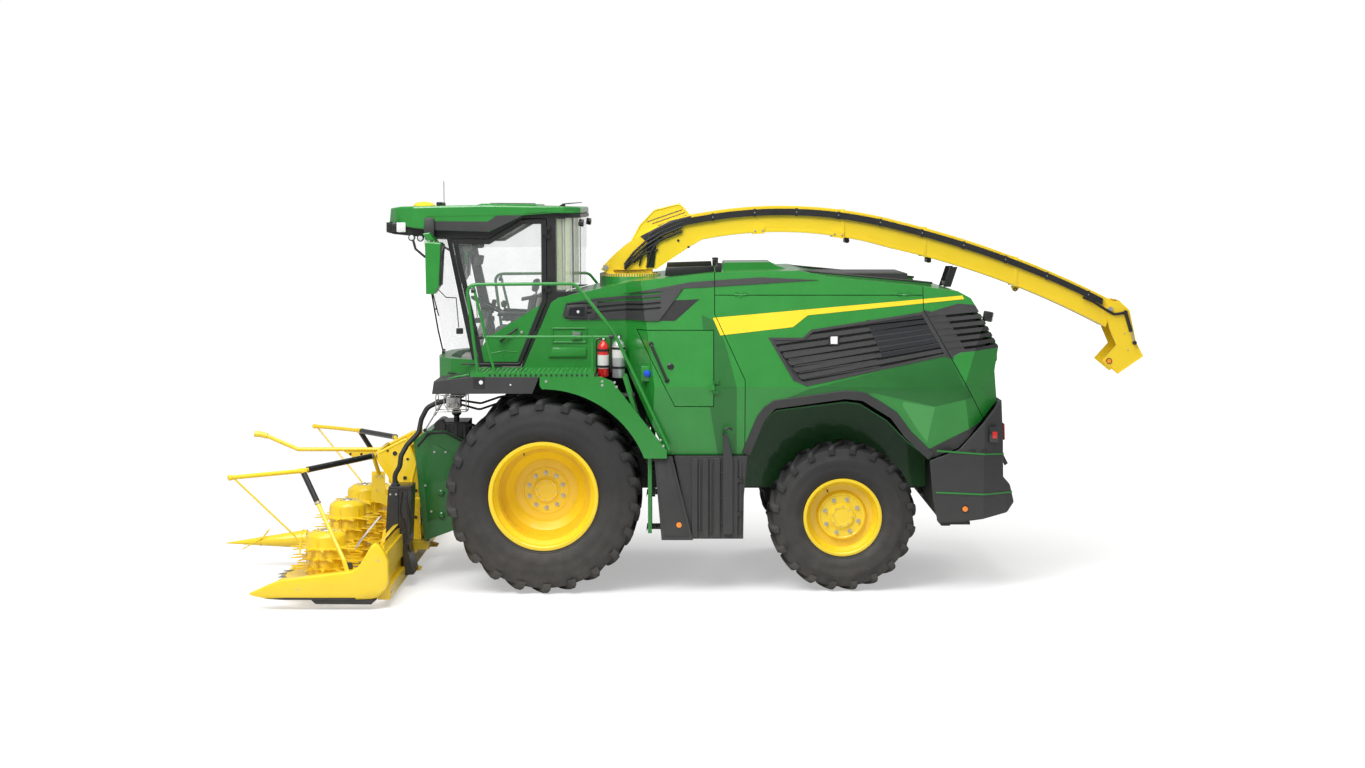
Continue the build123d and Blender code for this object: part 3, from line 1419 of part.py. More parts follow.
def make_rotor(x, y, core_radius, top, layers):
    """One rotor on its upright shaft."""
    with BuildPart() as rotor:
        upright(
            x, y,
            [(110, floor_high + 6), (core_radius, 230), (core_radius, top - 40), (core_radius - 60, top)],
            16,
        )
        with BuildSketch(Plane.XY.offset(228)):
            with BuildLine():
                star(x, y, rotor_disc_radius - 45, rotor_disc_radius, tooth_count, 0.2)
            make_face()
        extrude(amount=10)
        for layer in range(layers):
            z = 320 + layer * (top - 390) / layers
            with BuildSketch(Plane.XY.offset(z)):
                with BuildLine():
                    star(x, y, core_radius + 14, core_radius + 164, tine_count, 0.26)
                make_face()
            extrude(amount=12)
        rod((x, y, floor_high), (x, y, 306), shaft_radius + running_clearance, mode=Mode.SUBTRACT)
    return rotor


for name, (x, y), core_radius, top, layers in (
    ("rotor_outer_left", rotor_places[0], 200, 690, 3),
    ("rotor_inner_left", rotor_places[1], 190, 840, 4),
    ("rotor_inner_right", rotor_places[2], 190, 840, 4),
    ("rotor_outer_right", rotor_places[3], 200, 690, 3),
):
    save(make_rotor(x, y, core_radius, top, layers), name)
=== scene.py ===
# %% [markdown]
# # A self-propelled forage harvester, dressed in Blender
# The machine chops standing maize: a rotary header cuts it, a drum behind the axle chops it and
# a long curved spout throws it into a trailer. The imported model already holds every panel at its
# real size, so this script only adds what metal, rubber, glass and cloth look like.
# All numbers are metres. The ground is Z = 0, the machine drives towards -X, its left is -Y.

# %% The frame
import json
from math import cos, hypot, pi, radians, sin, sqrt

import bmesh
import bpy
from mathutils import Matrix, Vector

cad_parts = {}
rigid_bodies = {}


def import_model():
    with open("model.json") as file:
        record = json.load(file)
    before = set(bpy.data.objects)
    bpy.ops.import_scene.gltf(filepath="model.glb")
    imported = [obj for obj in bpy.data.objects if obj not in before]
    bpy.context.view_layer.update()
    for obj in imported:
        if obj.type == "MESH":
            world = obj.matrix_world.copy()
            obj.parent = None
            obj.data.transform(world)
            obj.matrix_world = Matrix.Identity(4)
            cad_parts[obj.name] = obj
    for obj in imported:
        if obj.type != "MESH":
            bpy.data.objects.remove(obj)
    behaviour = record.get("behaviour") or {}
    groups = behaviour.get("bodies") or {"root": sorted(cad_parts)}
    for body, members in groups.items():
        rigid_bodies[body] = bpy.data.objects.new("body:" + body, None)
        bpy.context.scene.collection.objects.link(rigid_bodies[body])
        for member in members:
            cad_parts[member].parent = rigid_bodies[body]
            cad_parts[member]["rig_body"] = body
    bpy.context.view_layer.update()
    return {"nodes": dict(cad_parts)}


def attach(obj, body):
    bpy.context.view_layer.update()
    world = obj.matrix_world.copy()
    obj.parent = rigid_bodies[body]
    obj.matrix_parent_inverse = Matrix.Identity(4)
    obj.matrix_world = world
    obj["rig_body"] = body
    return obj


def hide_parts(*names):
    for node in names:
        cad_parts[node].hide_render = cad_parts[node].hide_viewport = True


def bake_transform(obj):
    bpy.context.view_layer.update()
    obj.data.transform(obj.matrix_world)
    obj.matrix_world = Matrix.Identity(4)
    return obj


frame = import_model()
nodes = frame["nodes"]

# %% [markdown]
# The photograph is a side view from about twenty metres away and four metres up, so the
# wheels on the far side hide behind the near ones. A 50 mm lens at that distance gives the same
# slight perspective. The camera is only turned down, never rolled.

# %% Camera
camera_place = (0.025, -20.65, 4.01)
camera_pitch = 5.477

camera_data = bpy.data.cameras.new("camera")
camera_data.lens = 50
camera_data.sensor_width = 36
camera_data.clip_end = 400
camera = bpy.data.objects.new("camera", camera_data)
camera.location = camera_place
camera.rotation_euler = (radians(90 - camera_pitch), 0, 0)
bpy.context.scene.collection.objects.link(camera)
bpy.context.scene.camera = camera
bpy.context.scene.view_settings.view_transform = "Standard"

# %% [markdown]
# A studio picture on white needs a floor that catches a soft shadow and then vanishes. The
# floor is an ordinary matt surface, and only for rays that come from the camera a little of its
# own light is added, which grows with the distance from the machine, so that the floor ends up
# as white as the background while the shadow stays.

# %% Floor


def new_material(name):
    """An empty node material and its Principled shader."""
    material = bpy.data.materials.new(name)
    material.use_nodes = True
    return material, material.node_tree.nodes["Principled BSDF"]


def connect(tree, *links):
    """Link nodes of a tree, each link as (node, output, node, input)."""
    for node, output, follower, socket in links:
        tree.links.new(node.outputs[output], follower.inputs[socket])


floor_material, floor_shader = new_material("floor_white")
floor_tree = floor_material.node_tree
floor_shader.inputs["Base Color"].default_value = (0.6, 0.6, 0.6, 1)
floor_shader.inputs["Roughness"].default_value = 0.9
floor_shader.inputs["Specular IOR Level"].default_value = 0.1
seen = floor_tree.nodes.new("ShaderNodeLightPath")
floor_place = floor_tree.nodes.new("ShaderNodeTexCoord")
distance = floor_tree.nodes.new("ShaderNodeVectorMath")
distance.operation = "LENGTH"
fade_out = floor_tree.nodes.new("ShaderNodeMapRange")
fade_out.interpolation_type = "SMOOTHSTEP"
fade_out.inputs["From Min"].default_value = 7
fade_out.inputs["From Max"].default_value = 26
fade_out.inputs["To Min"].default_value = 0.42
fade_out.inputs["To Max"].default_value = 0.9
own_light = floor_tree.nodes.new("ShaderNodeMath")
own_light.operation = "MULTIPLY"
connect(
    floor_tree, (floor_place, "Object", distance, 0), (distance, "Value", fade_out, "Value"),
    (fade_out, "Result", own_light, 1), (seen, "Is Camera Ray", own_light, 0),
)
floor_shader.inputs["Emission Color"].default_value = (1, 1, 1, 1)
connect(floor_tree, (own_light, 0, floor_shader, "Emission Strength"))

floor_size = 150
floor_mesh = bpy.data.meshes.new("studio_floor")
floor_corners = [(x * floor_size, y * floor_size, 0) for x, y in ((-1, -1), (1, -1), (1, 1), (-1, 1))]
floor_mesh.from_pydata(floor_corners, [], [(0, 1, 2, 3)])
floor_mesh.materials.append(floor_material)
floor = bpy.data.objects.new("studio_floor", floor_mesh)
bpy.context.scene.collection.objects.link(floor)

# %% [markdown]
# The world is a mid grey that lights the machine evenly, but rays from the camera, and those that
# have passed a pane of glass, see it as pure white.

# %% Background
world = bpy.data.worlds.new("studio")
world.use_nodes = True
bpy.context.scene.world = world
sky = world.node_tree.nodes["Background"]
sky_level = 0.46
paths = world.node_tree.nodes.new("ShaderNodeLightPath")
straight = world.node_tree.nodes.new("ShaderNodeMath")
straight.operation = "MAXIMUM"
level = world.node_tree.nodes.new("ShaderNodeMapRange")
level.inputs["To Min"].default_value = sky_level
level.inputs["To Max"].default_value = 1
connect(
    world.node_tree, (paths, "Is Camera Ray", straight, 0), (paths, "Is Transmission Ray", straight, 1),
    (straight, 0, level, "Value"), (level, "Result", sky, "Strength"),
)
sky.inputs["Color"].default_value = (1, 1, 1, 1)

# %% [markdown]
# Three big soft boxes shape the machine: one high at the front left, as in the photograph, where
# the shadows fall to the rear, one overhead that brightens every surface that leans up, and a
# weaker one behind the machine for the rims of the panels.

# %% Soft boxes


def soft_box(name, place, size, watts):
    """A square lamp that faces the machine's middle."""
    lamp_data = bpy.data.lights.new(name, "AREA")
    lamp_data.size = size
    lamp_data.energy = watts
    lamp = bpy.data.objects.new(name, lamp_data)
    lamp.location = place
    lamp.rotation_euler = (Vector((0, 0, 1.6)) - Vector(place)).to_track_quat("-Z", "Y").to_euler()
    bpy.context.scene.collection.objects.link(lamp)


soft_box("key_light", (-7, -11, 13), 7, 1500)
soft_box("top_light", (-1, -5, 14), 11, 1500)
soft_box("back_light", (8, 10, 11), 8, 700)

# %% [markdown]
# Most added pieces are made of four kinds of shape: an outline with a depth, a turned form, a
# pipe along a route and a box. A `Piece` collects such shapes in one mesh, with a finish for
# each, and in the end becomes one object that rides on a body. Edges are bevelled where they
# are cut, because a sharp edge of a real casting or bent sheet always shows a thin highlight.

# %% Shapes for pieces
SMOOTH_ANGLE = radians(32)


class Piece:
    """A mesh that grows shape by shape, in metres, in the machine's frame."""

    def __init__(self, name):
        self.name = name
        self.mesh = bmesh.new()
        self.finishes = []

    def paint(self, faces, finish):
        """Give the faces a finish."""
        if finish not in self.finishes:
            self.finishes.append(finish)
        index = self.finishes.index(finish)
        for face in faces:
            face.material_index = index
            face.smooth = True

    def solid(self, rings, finish, bevel=0, steps=2, closed=False):
        """A form through rings of points, each ring with as many points, capped unless closed."""
        mesh = self.mesh
        rows = [[mesh.verts.new(p) for p in ring] for ring in rings]
        faces = []
        count = len(rows[0])
        pairs = list(zip(rows, rows[1:]))
        if closed:
            pairs.append((rows[-1], rows[0]))
        for low, high in pairs:
            for i in range(count):
                j = (i + 1) % count
                faces.append(mesh.faces.new((low[i], low[j], high[j], high[i])))
        if not closed:
            faces.append(mesh.faces.new(rows[0][::-1]))
            faces.append(mesh.faces.new(rows[-1]))
        bmesh.ops.recalc_face_normals(mesh, faces=faces)
        self.paint(faces, finish)
        if bevel:
            edges = {e for f in faces for e in f.edges if e.calc_face_angle(0) > SMOOTH_ANGLE}
            made = bmesh.ops.bevel(
                mesh, geom=list(edges), offset=bevel, segments=steps, affect="EDGES", profile=0.5,
                clamp_overlap=True,
            )
            self.paint(made["faces"], finish)

    def slab(self, outline, low, high, finish, bevel=0.003, steps=2):
        """An X-Z outline between two values of Y."""
        self.solid([[(x, y, z) for x, z in outline] for y in (low, high)], finish, bevel, steps)

    def sheet(self, outline, middle, half, finish, bevel=0.003, steps=2):
        """An X-Z outline as deep on both sides of a value of Y."""
        self.slab(outline, middle - half, middle + half, finish, bevel, steps)

    def box(self, xs, ys, zs, finish, bevel=0.003, steps=2):
        """A box between two values on each axis."""
        self.slab(
            [(xs[0], zs[0]), (xs[1], zs[0]), (xs[1], zs[1]), (xs[0], zs[1])], *ys, finish, bevel, steps,
        )

    def turned(self, section, centre, axis, finish, sides=48):
        """A closed section of (radius, distance) corners turned round an axis."""
        along = Vector(axis).normalized()
        across = along.orthogonal().normalized()
        up = along.cross(across)
        mesh = self.mesh
        rows = []
        for radius, distance in section:
            middle = Vector(centre) + along * distance
            if radius < 1e-6:
                rows.append([mesh.verts.new(middle)] * sides)
                continue
            turns = [2 * pi * i / sides for i in range(sides)]
            rows.append([mesh.verts.new(middle + (across * cos(a) + up * sin(a)) * radius) for a in turns])
        faces = []
        for low, high in zip(rows, rows[1:] + rows[:1]):
            for i in range(sides):
                j = (i + 1) % sides
                corners = []
                for corner in (low[i], low[j], high[j], high[i]):
                    if corner not in corners:
                        corners.append(corner)
                if len(corners) > 2:
                    faces.append(mesh.faces.new(corners))
        bmesh.ops.recalc_face_normals(mesh, faces=faces)
        self.paint(faces, finish)

    def band(self, inner, outer, low, high, centre, axis, finish, sides=48):
        """A disc, or a ring where it has an inner radius, between two distances along an axis."""
        section = [(inner, low), (outer, low), (outer, high), (inner, high)]
        self.turned(section, centre, axis, finish, sides)

    def knob(self, foot, shoulder, wall, top, centre, axis, finish, sides=48):
        """A low button: its radius at the foot and shoulder, the heights of its wall and middle."""
        self.turned([(0, 0), (foot, 0), (shoulder, wall), (0, top)], centre, axis, finish, sides)

    def pipe(self, points, radius, finish, bend=0, sides=12, squash=1):
        """A round bar along a route whose corners are rounded with a bend radius."""
        route = rounded(points, bend)
        self.solid(tube_rings(route, radius, sides, squash), finish)

    def add(self, mesh_data, finish):
        """Take in a finished mesh, such as one that geometry nodes have grown."""
        before = len(self.mesh.faces)
        self.mesh.from_mesh(mesh_data)
        self.mesh.faces.ensure_lookup_table()
        self.paint(self.mesh.faces[before:], finish)
        bpy.data.meshes.remove(mesh_data)

    def both_sides(self):
        """Add the mirror image on the other side of the machine."""
        faces = list(self.mesh.faces)
        made = bmesh.ops.duplicate(self.mesh, geom=faces)["geom"]
        verts = [g for g in made if isinstance(g, bmesh.types.BMVert)]
        for vert in verts:
            vert.co.y = -vert.co.y
        bmesh.ops.reverse_faces(self.mesh, faces=[g for g in made if isinstance(g, bmesh.types.BMFace)])

    def done(self, body, slot, *replaced):
        """Make the object, let it ride on its body, if it has one, and stand for CAD nodes."""
        data = bpy.data.meshes.new(self.name)
        self.mesh.to_mesh(data)
        self.mesh.free()
        for finish in self.finishes:
            data.materials.append(finish)
        data.set_sharp_from_angle(angle=SMOOTH_ANGLE)
        made = bpy.data.objects.new(self.name, data)
        bpy.context.scene.collection.objects.link(made)
        if body:
            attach(made, body)
        if replaced:
            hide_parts(*replaced)
        print(self.name, len(data.polygons), "faces on", body or "two bodies")
        return made

# %% [markdown]
# A pipe needs a route and rings round it. Bent tube has arcs at its corners, so each corner of
# the route becomes a short smooth curve. The rings are carried along without twist: each takes
# over the last ring's side direction, made square to the new heading.

# %% Routes and rings


def rounded(points, bend):
    """The route with an arc of a bend radius in place of each corner."""
    route = [Vector(p) for p in points]
    if not bend or len(route) < 3:
        return route
    smooth = [route[0]]
    for before, corner, after in zip(route, route[1:], route[2:]):
        back = (before - corner).normalized()
        ahead = (after - corner).normalized()
        opening = back.angle(ahead)
        reach = bend / max(sin(opening / 2) / max(cos(opening / 2), 1e-6), 1e-6)
        reach = min(reach, 0.48 * (before - corner).length, 0.48 * (after - corner).length)
        first = corner + back * reach
        last = corner + ahead * reach
        for i in range(7):
            t = i / 6
            smooth.append(first * (1 - t) ** 2 + corner * (2 * t * (1 - t)) + last * t**2)
    smooth.append(route[-1])
    return smooth


def tube_rings(route, radius, sides, squash=1):
    """Rings of points round a route, without twist."""
    rings = []
    side_way = None
    for i, place in enumerate(route):
        ahead = (route[min(i + 1, len(route) - 1)] - route[max(i - 1, 0)]).normalized()
        if side_way is None:
            side_way = ahead.orthogonal().normalized()
        side_way = (side_way - ahead * side_way.dot(ahead)).normalized()
        up_way = ahead.cross(side_way)
        turns = [2 * pi * k / sides for k in range(sides)]
        rings.append([place + (side_way * cos(a) + up_way * sin(a) * squash) * radius for a in turns])
    return rings

# %% [markdown]
# What repeats is grown by geometry nodes: one tree turns copies of a small mesh round an axis,
# for lugs, bolts and tines, and one sets a copy on each vertex of a mesh of places, for rivets,
# studs and slats. Both end in real geometry, because instances would be lost when the model is
# written to a file. A modifier's inputs are set by their identifiers before it is evaluated.

# %% Trees that repeat a shape


def start_tree(name, inputs):
    """A geometry tree with named inputs and its group nodes."""
    tree = bpy.data.node_groups.new(name, "GeometryNodeTree")
    tree.interface.new_socket("Geometry", in_out="INPUT", socket_type="NodeSocketGeometry")
    for label, kind in inputs:
        tree.interface.new_socket(label, in_out="INPUT", socket_type=kind)
    tree.interface.new_socket("Geometry", in_out="OUTPUT", socket_type="NodeSocketGeometry")
    return tree, tree.nodes.new("NodeGroupInput"), tree.nodes.new("NodeGroupOutput")


def end_tree(tree, given, copies, result):
    """Close a tree with real geometry and a material."""
    real = tree.nodes.new("GeometryNodeRealizeInstances")
    painted = tree.nodes.new("GeometryNodeSetMaterial")
    connect(
        tree, (copies, "Instances", real, "Geometry"), (real, "Geometry", painted, "Geometry"),
        (given, "Material", painted, "Material"), (painted, "Geometry", result, "Geometry"),
    )


ring_tree, ring_given, ring_result = start_tree("copies_in_a_ring", [
    ("Shape", "NodeSocketObject"), ("Count", "NodeSocketInt"), ("Centre", "NodeSocketVector"),
    ("Axis", "NodeSocketVector"), ("Start", "NodeSocketFloat"), ("Step", "NodeSocketFloat"),
    ("Material", "NodeSocketMaterial"),
])
ring_points = ring_tree.nodes.new("GeometryNodePoints")
ring_shape = ring_tree.nodes.new("GeometryNodeObjectInfo")
ring_copies = ring_tree.nodes.new("GeometryNodeInstanceOnPoints")
ring_index = ring_tree.nodes.new("GeometryNodeInputIndex")
ring_angle = ring_tree.nodes.new("ShaderNodeMath")
ring_angle.operation = "MULTIPLY_ADD"
ring_turn = ring_tree.nodes.new("ShaderNodeVectorMath")
ring_turn.operation = "SCALE"
connect(
    ring_tree, (ring_given, "Count", ring_points, "Count"), (ring_given, "Centre", ring_points, "Position"),
    (ring_given, "Shape", ring_shape, "Object"), (ring_index, 0, ring_angle, 0),
    (ring_given, "Step", ring_angle, 1), (ring_given, "Start", ring_angle, 2),
    (ring_given, "Axis", ring_turn, 0), (ring_angle, 0, ring_turn, "Scale"),
    (ring_points, 0, ring_copies, "Points"), (ring_shape, "Geometry", ring_copies, "Instance"),
    (ring_turn, 0, ring_copies, "Rotation"),
)
end_tree(ring_tree, ring_given, ring_copies, ring_result)

spots_tree, spots_given, spots_result = start_tree("copies_on_places", [
    ("Shape", "NodeSocketObject"), ("Material", "NodeSocketMaterial"),
])
spots_shape = spots_tree.nodes.new("GeometryNodeObjectInfo")
spots_copies = spots_tree.nodes.new("GeometryNodeInstanceOnPoints")
spots_facing = spots_tree.nodes.new("GeometryNodeInputNamedAttribute")
spots_facing.data_type = "FLOAT_VECTOR"
spots_facing.inputs["Name"].default_value = "facing"
spots_turn = spots_tree.nodes.new("FunctionNodeAlignRotationToVector")
spots_turn.axis = "Z"
connect(
    spots_tree, (spots_given, "Geometry", spots_copies, "Points"),
    (spots_given, "Shape", spots_shape, "Object"), (spots_shape, "Geometry", spots_copies, "Instance"),
    (spots_facing, "Attribute", spots_turn, "Vector"), (spots_turn, "Rotation", spots_copies, "Rotation"),
)
end_tree(spots_tree, spots_given, spots_copies, spots_result)

# %% [markdown]
# To use a tree, a modifier holds it for a moment: the result is taken as a plain mesh, and the
# helper objects go again. Three short functions then say what is wanted: copies in a ring,
# copies on places, or the small mesh that is to be copied.

# %% Growing copies


def grown(tree, host_mesh, shape, values):
    """The plain mesh that a tree grows, from a host mesh and the object of a small shape."""
    host = bpy.data.objects.new("host", host_mesh)
    source = bpy.data.objects.new("shape", shape)
    for thing in (host, source):
        bpy.context.scene.collection.objects.link(thing)
    modifier = host.modifiers.new("grow", "NODES")
    modifier.node_group = tree
    for socket in tree.interface.items_tree:
        if socket.in_out == "INPUT" and socket.name in values:
            modifier[socket.identifier] = values[socket.name]
        if socket.in_out == "INPUT" and socket.name == "Shape":
            modifier[socket.identifier] = source
    bpy.context.view_layer.update()
    evaluated = host.evaluated_get(bpy.context.evaluated_depsgraph_get())
    result = bpy.data.meshes.new_from_object(evaluated)
    host.modifiers.remove(modifier)
    for thing in (host, source):
        bpy.data.objects.remove(thing)
    bpy.data.meshes.remove(host_mesh)
    return result


def in_a_ring(piece, shape, count, centre, axis, finish, start=0.0, step=None):
    """Turn copies of a small mesh, made round the origin, about an axis through a centre."""
    values = {
        "Count": count, "Centre": tuple(centre), "Axis": tuple(axis), "Start": float(start),
        "Step": 2 * pi / count if step is None else float(step), "Material": finish,
    }
    piece.add(grown(ring_tree, bpy.data.meshes.new("none"), shape, values), finish)


def on_places(piece, shape, places, finish):
    """Set copies of a small mesh on (point, facing) places, its Z axis turned to face outwards."""
    host = bpy.data.meshes.new("places")
    host.from_pydata([tuple(point) for point, facing in places], [], [])
    facing_data = host.attributes.new("facing", "FLOAT_VECTOR", "POINT")
    for item, (point, facing) in zip(facing_data.data, places):
        item.vector = facing
    piece.add(grown(spots_tree, host, shape, {"Material": finish}), finish)


def small_mesh(build):
    """A loose mesh from a function that draws shapes into an unnamed piece."""
    sketch = Piece("sketch")
    build(sketch)
    data = bpy.data.meshes.new("small")
    sketch.mesh.to_mesh(data)
    sketch.mesh.free()
    return data


def bolt_head(radius, height):
    """A hexagon bolt on its washer, standing on Z = 0."""
    def build(sketch):
        sketch.band(0, 1.5 * radius, 0, 0.2 * height, (0, 0, 0), (0, 0, 1), None, 12)
        sketch.turned(
            [
                (0, 0.2 * height), (radius, 0.2 * height), (radius, 0.85 * height), (0.85 * radius, height),
                (0, height),
            ],
            (0, 0, 0), (0, 0, 1), None, 6,
        )
    return small_mesh(build)

# %% [markdown]
# Two shader groups carry the fine texture of nearly every finish. `uneven` mixes a coarse and a
# fine noise into one value: it varies colour and roughness, as dust and polish do. `pebbled`
# gives a height for bump: paint has a fine orange peel, moulded plastic a leather-like grain.
# Both read object coordinates, so they stick to a panel when its door opens.

# %% Shader groups for texture


def start_group(name, inputs, outputs):
    """A shader group with named float inputs and outputs."""
    group = bpy.data.node_groups.new(name, "ShaderNodeTree")
    for label in inputs:
        group.interface.new_socket(label, in_out="INPUT", socket_type="NodeSocketFloat")
    for label in outputs:
        group.interface.new_socket(label, in_out="OUTPUT", socket_type="NodeSocketFloat")
    return group, group.nodes.new("NodeGroupInput"), group.nodes.new("NodeGroupOutput")


uneven, uneven_given, uneven_result = start_group("uneven", ["Scale", "Low", "High"], ["Value"])
where = uneven.nodes.new("ShaderNodeTexCoord")
coarse = uneven.nodes.new("ShaderNodeTexNoise")
coarse.inputs["Detail"].default_value = 5
coarse.inputs["Roughness"].default_value = 0.6
spread = uneven.nodes.new("ShaderNodeMapRange")
spread.inputs["From Min"].default_value = 0.3
spread.inputs["From Max"].default_value = 0.7
connect(
    uneven, (where, "Object", coarse, "Vector"), (uneven_given, "Scale", coarse, "Scale"),
    (coarse, "Fac", spread, "Value"), (uneven_given, "Low", spread, "To Min"),
    (uneven_given, "High", spread, "To Max"), (spread, "Result", uneven_result, "Value"),
)

pebbled, pebbled_given, pebbled_result = start_group("pebbled", ["Scale", "Softness"], ["Height"])
where = pebbled.nodes.new("ShaderNodeTexCoord")
cells = pebbled.nodes.new("ShaderNodeTexVoronoi")
fine = pebbled.nodes.new("ShaderNodeTexNoise")
fine.inputs["Detail"].default_value = 2
blend_height = pebbled.nodes.new("ShaderNodeMix")
connect(
    pebbled, (where, "Object", cells, "Vector"), (where, "Object", fine, "Vector"),
    (pebbled_given, "Scale", cells, "Scale"), (pebbled_given, "Scale", fine, "Scale"),
    (pebbled_given, "Softness", blend_height, "Factor"), (cells, "Distance", blend_height, "A"),
    (fine, "Fac", blend_height, "B"), (blend_height, "Result", pebbled_result, "Height"),
)

low_dust, dust_given, dust_result = start_group("low_dust", ["Amount", "Top"], ["Mask"])
where = low_dust.nodes.new("ShaderNodeTexCoord")
split_height = low_dust.nodes.new("ShaderNodeSeparateXYZ")
fade = low_dust.nodes.new("ShaderNodeMapRange")
fade.inputs["To Min"].default_value = 1
fade.inputs["To Max"].default_value = 0
patches = low_dust.nodes.new("ShaderNodeTexNoise")
patches.inputs["Scale"].default_value = 7
patches.inputs["Detail"].default_value = 6
thinned = low_dust.nodes.new("ShaderNodeMath")
thinned.operation = "MULTIPLY"
amount = low_dust.nodes.new("ShaderNodeMath")
amount.operation = "MULTIPLY"
connect(
    low_dust, (where, "Object", split_height, 0), (split_height, "Z", fade, "Value"),
    (dust_given, "Top", fade, "From Max"), (where, "Object", patches, "Vector"),
    (fade, "Result", thinned, 0), (patches, "Fac", thinned, 1), (thinned, 0, amount, 0),
    (dust_given, "Amount", amount, 1), (amount, 0, dust_result, "Mask"),
)

# %% [markdown]
# A finish is a colour that varies a little between two shades, a roughness that varies with it,
# a grain and some dust near the ground. Baked paint also has a clear coat: it is the coat that
# shows the studio's white, while the colour under it stays deep.

# %% Finishes
dust_colour = (0.42, 0.38, 0.31, 1)


def finish(
    name, colour, shade, rough, grain_scale, grain_depth, softness=0.5, metal=0.0, coat=0.0, patch=3.0,
    dust=0.1,
):
    """A procedural finish: two colours, a roughness range, a grain and dust near the ground."""
    material, shader = new_material(name)
    tree = material.node_tree

    def placed(group, **values):
        node = tree.nodes.new("ShaderNodeGroup")
        node.node_tree = group
        for label, value in values.items():
            node.inputs[label].default_value = value
        return node

    mix_value = placed(uneven, Scale=patch, Low=0.0, High=1.0)
    rough_value = placed(uneven, Scale=patch * 4, Low=rough[0], High=rough[1])
    height = placed(pebbled, Scale=grain_scale, Softness=softness)
    mask = placed(low_dust, Amount=dust, Top=1.3)
    shades = tree.nodes.new("ShaderNodeMix")
    shades.data_type = "RGBA"
    shades.inputs[6].default_value = (*colour, 1)
    shades.inputs[7].default_value = (*shade, 1)
    dusted = tree.nodes.new("ShaderNodeMix")
    dusted.data_type = "RGBA"
    dusted.inputs[7].default_value = dust_colour
    bump = tree.nodes.new("ShaderNodeBump")
    bump.inputs["Strength"].default_value = 0.35
    bump.inputs["Distance"].default_value = grain_depth
    connect(
        tree, (mix_value, "Value", shades, 0), (shades, 2, dusted, 6), (mask, "Mask", dusted, 0),
        (dusted, 2, shader, "Base Color"), (rough_value, "Value", shader, "Roughness"),
        (height, "Height", bump, "Height"), (bump, "Normal", shader, "Normal"),
    )
    shader.inputs["Metallic"].default_value = metal
    shader.inputs["Coat Weight"].default_value = coat
    shader.inputs["Coat Roughness"].default_value = 0.06
    return material

# %% [markdown]
# The paints have a clear coat, moulded plastic and rubber have none. Metal is a low roughness
# with a full metallic share, and zinc has small patches, as its crystals do. Lenses are smooth
# and brightly coloured, since their own light isn't on.

# %% The finishes of this machine
green_paint = finish(
    "green_paint", (0.014, 0.215, 0.024), (0.018, 0.245, 0.03), (0.28, 0.36), 260, 0.0004, 0.9, coat=0.55,
    dust=0.05,
)
# A lighter copy of the green paint, for one pressed facet: painted highlight.
green_painted_highlight = finish(
    "green_painted_highlight", (0.05, 0.30, 0.062), (0.058, 0.33, 0.07), (0.3, 0.38), 260, 0.0004, 0.9, coat=0.5,
    dust=0.04,
)
# A darker copy of the green paint: painted shade, on parts and patches that lie in shade.
green_painted_shade = finish(
    "green_painted_shade", (0.006, 0.125, 0.014), (0.009, 0.145, 0.018), (0.34, 0.44), 260, 0.0004, 0.9, coat=0.4,
    dust=0.05,
)
yellow_paint = finish(
    "yellow_paint", (0.93, 0.64, 0.012), (0.96, 0.68, 0.02), (0.3, 0.4), 260, 0.0004, 0.9, coat=0.45,
    dust=0.05,
)
dark_plastic = finish(
    "dark_plastic", (0.034, 0.034, 0.035), (0.042, 0.042, 0.043), (0.42, 0.56), 420, 0.0008, 0.35,
)
black_paint = finish(
    "black_paint", (0.012, 0.012, 0.013), (0.018, 0.018, 0.019), (0.32, 0.44), 300, 0.0004, 0.8, coat=0.2,
)
frame_paint = finish(
    "frame_paint", (0.03, 0.032, 0.033), (0.045, 0.046, 0.046), (0.5, 0.66), 180, 0.0012, 0.6, dust=0.3,
)
tyre_rubber = finish(
    "tyre_rubber", (0.018, 0.018, 0.019), (0.027, 0.0265, 0.026), (0.62, 0.8), 320, 0.001, 0.5, dust=0.22,
)
hose_rubber = finish(
    "hose_rubber", (0.012, 0.012, 0.012), (0.02, 0.02, 0.02), (0.5, 0.62), 500, 0.0006, 0.6,
)
grey_casting = finish(
    "grey_casting", (0.2, 0.2, 0.2), (0.27, 0.27, 0.265), (0.5, 0.68), 240, 0.0015, 0.4, metal=0.4,
)
bright_steel = finish(
    "bright_steel", (0.62, 0.62, 0.63), (0.7, 0.7, 0.7), (0.16, 0.28), 600, 0.0002, 0.8, metal=1.0,
    dust=0.04,
)
zinc_plate = finish(
    "zinc_plate", (0.55, 0.55, 0.53), (0.66, 0.65, 0.62), (0.3, 0.45), 400, 0.0003, 0.6, metal=0.9,
    patch=20,
)
red_enamel = finish(
    "red_enamel", (0.62, 0.012, 0.012), (0.68, 0.02, 0.018), (0.22, 0.3), 300, 0.0003, 0.9, coat=0.6,
    dust=0.0,
)
silver_enamel = finish(
    "silver_enamel", (0.55, 0.56, 0.57), (0.62, 0.63, 0.64), (0.28, 0.36), 300, 0.0003, 0.9, metal=0.6,
    dust=0.0,
)
white_plastic = finish(
    "white_plastic", (0.72, 0.72, 0.7), (0.78, 0.78, 0.76), (0.35, 0.45), 400, 0.0004, 0.6, dust=0.0,
)
pale_trim = finish(
    "pale_trim", (0.42, 0.41, 0.38), (0.48, 0.47, 0.44), (0.55, 0.7), 500, 0.0008, 0.35, dust=0.0,
)
grey_trim = finish(
    "grey_trim", (0.16, 0.16, 0.165), (0.2, 0.2, 0.2), (0.5, 0.62), 450, 0.0008, 0.35, dust=0.0,
)
orange_lens = finish(
    "orange_lens", (0.95, 0.24, 0.01), (1.0, 0.3, 0.015), (0.12, 0.18), 700, 0.0006, 0.2, coat=1.0,
    dust=0.0,
)
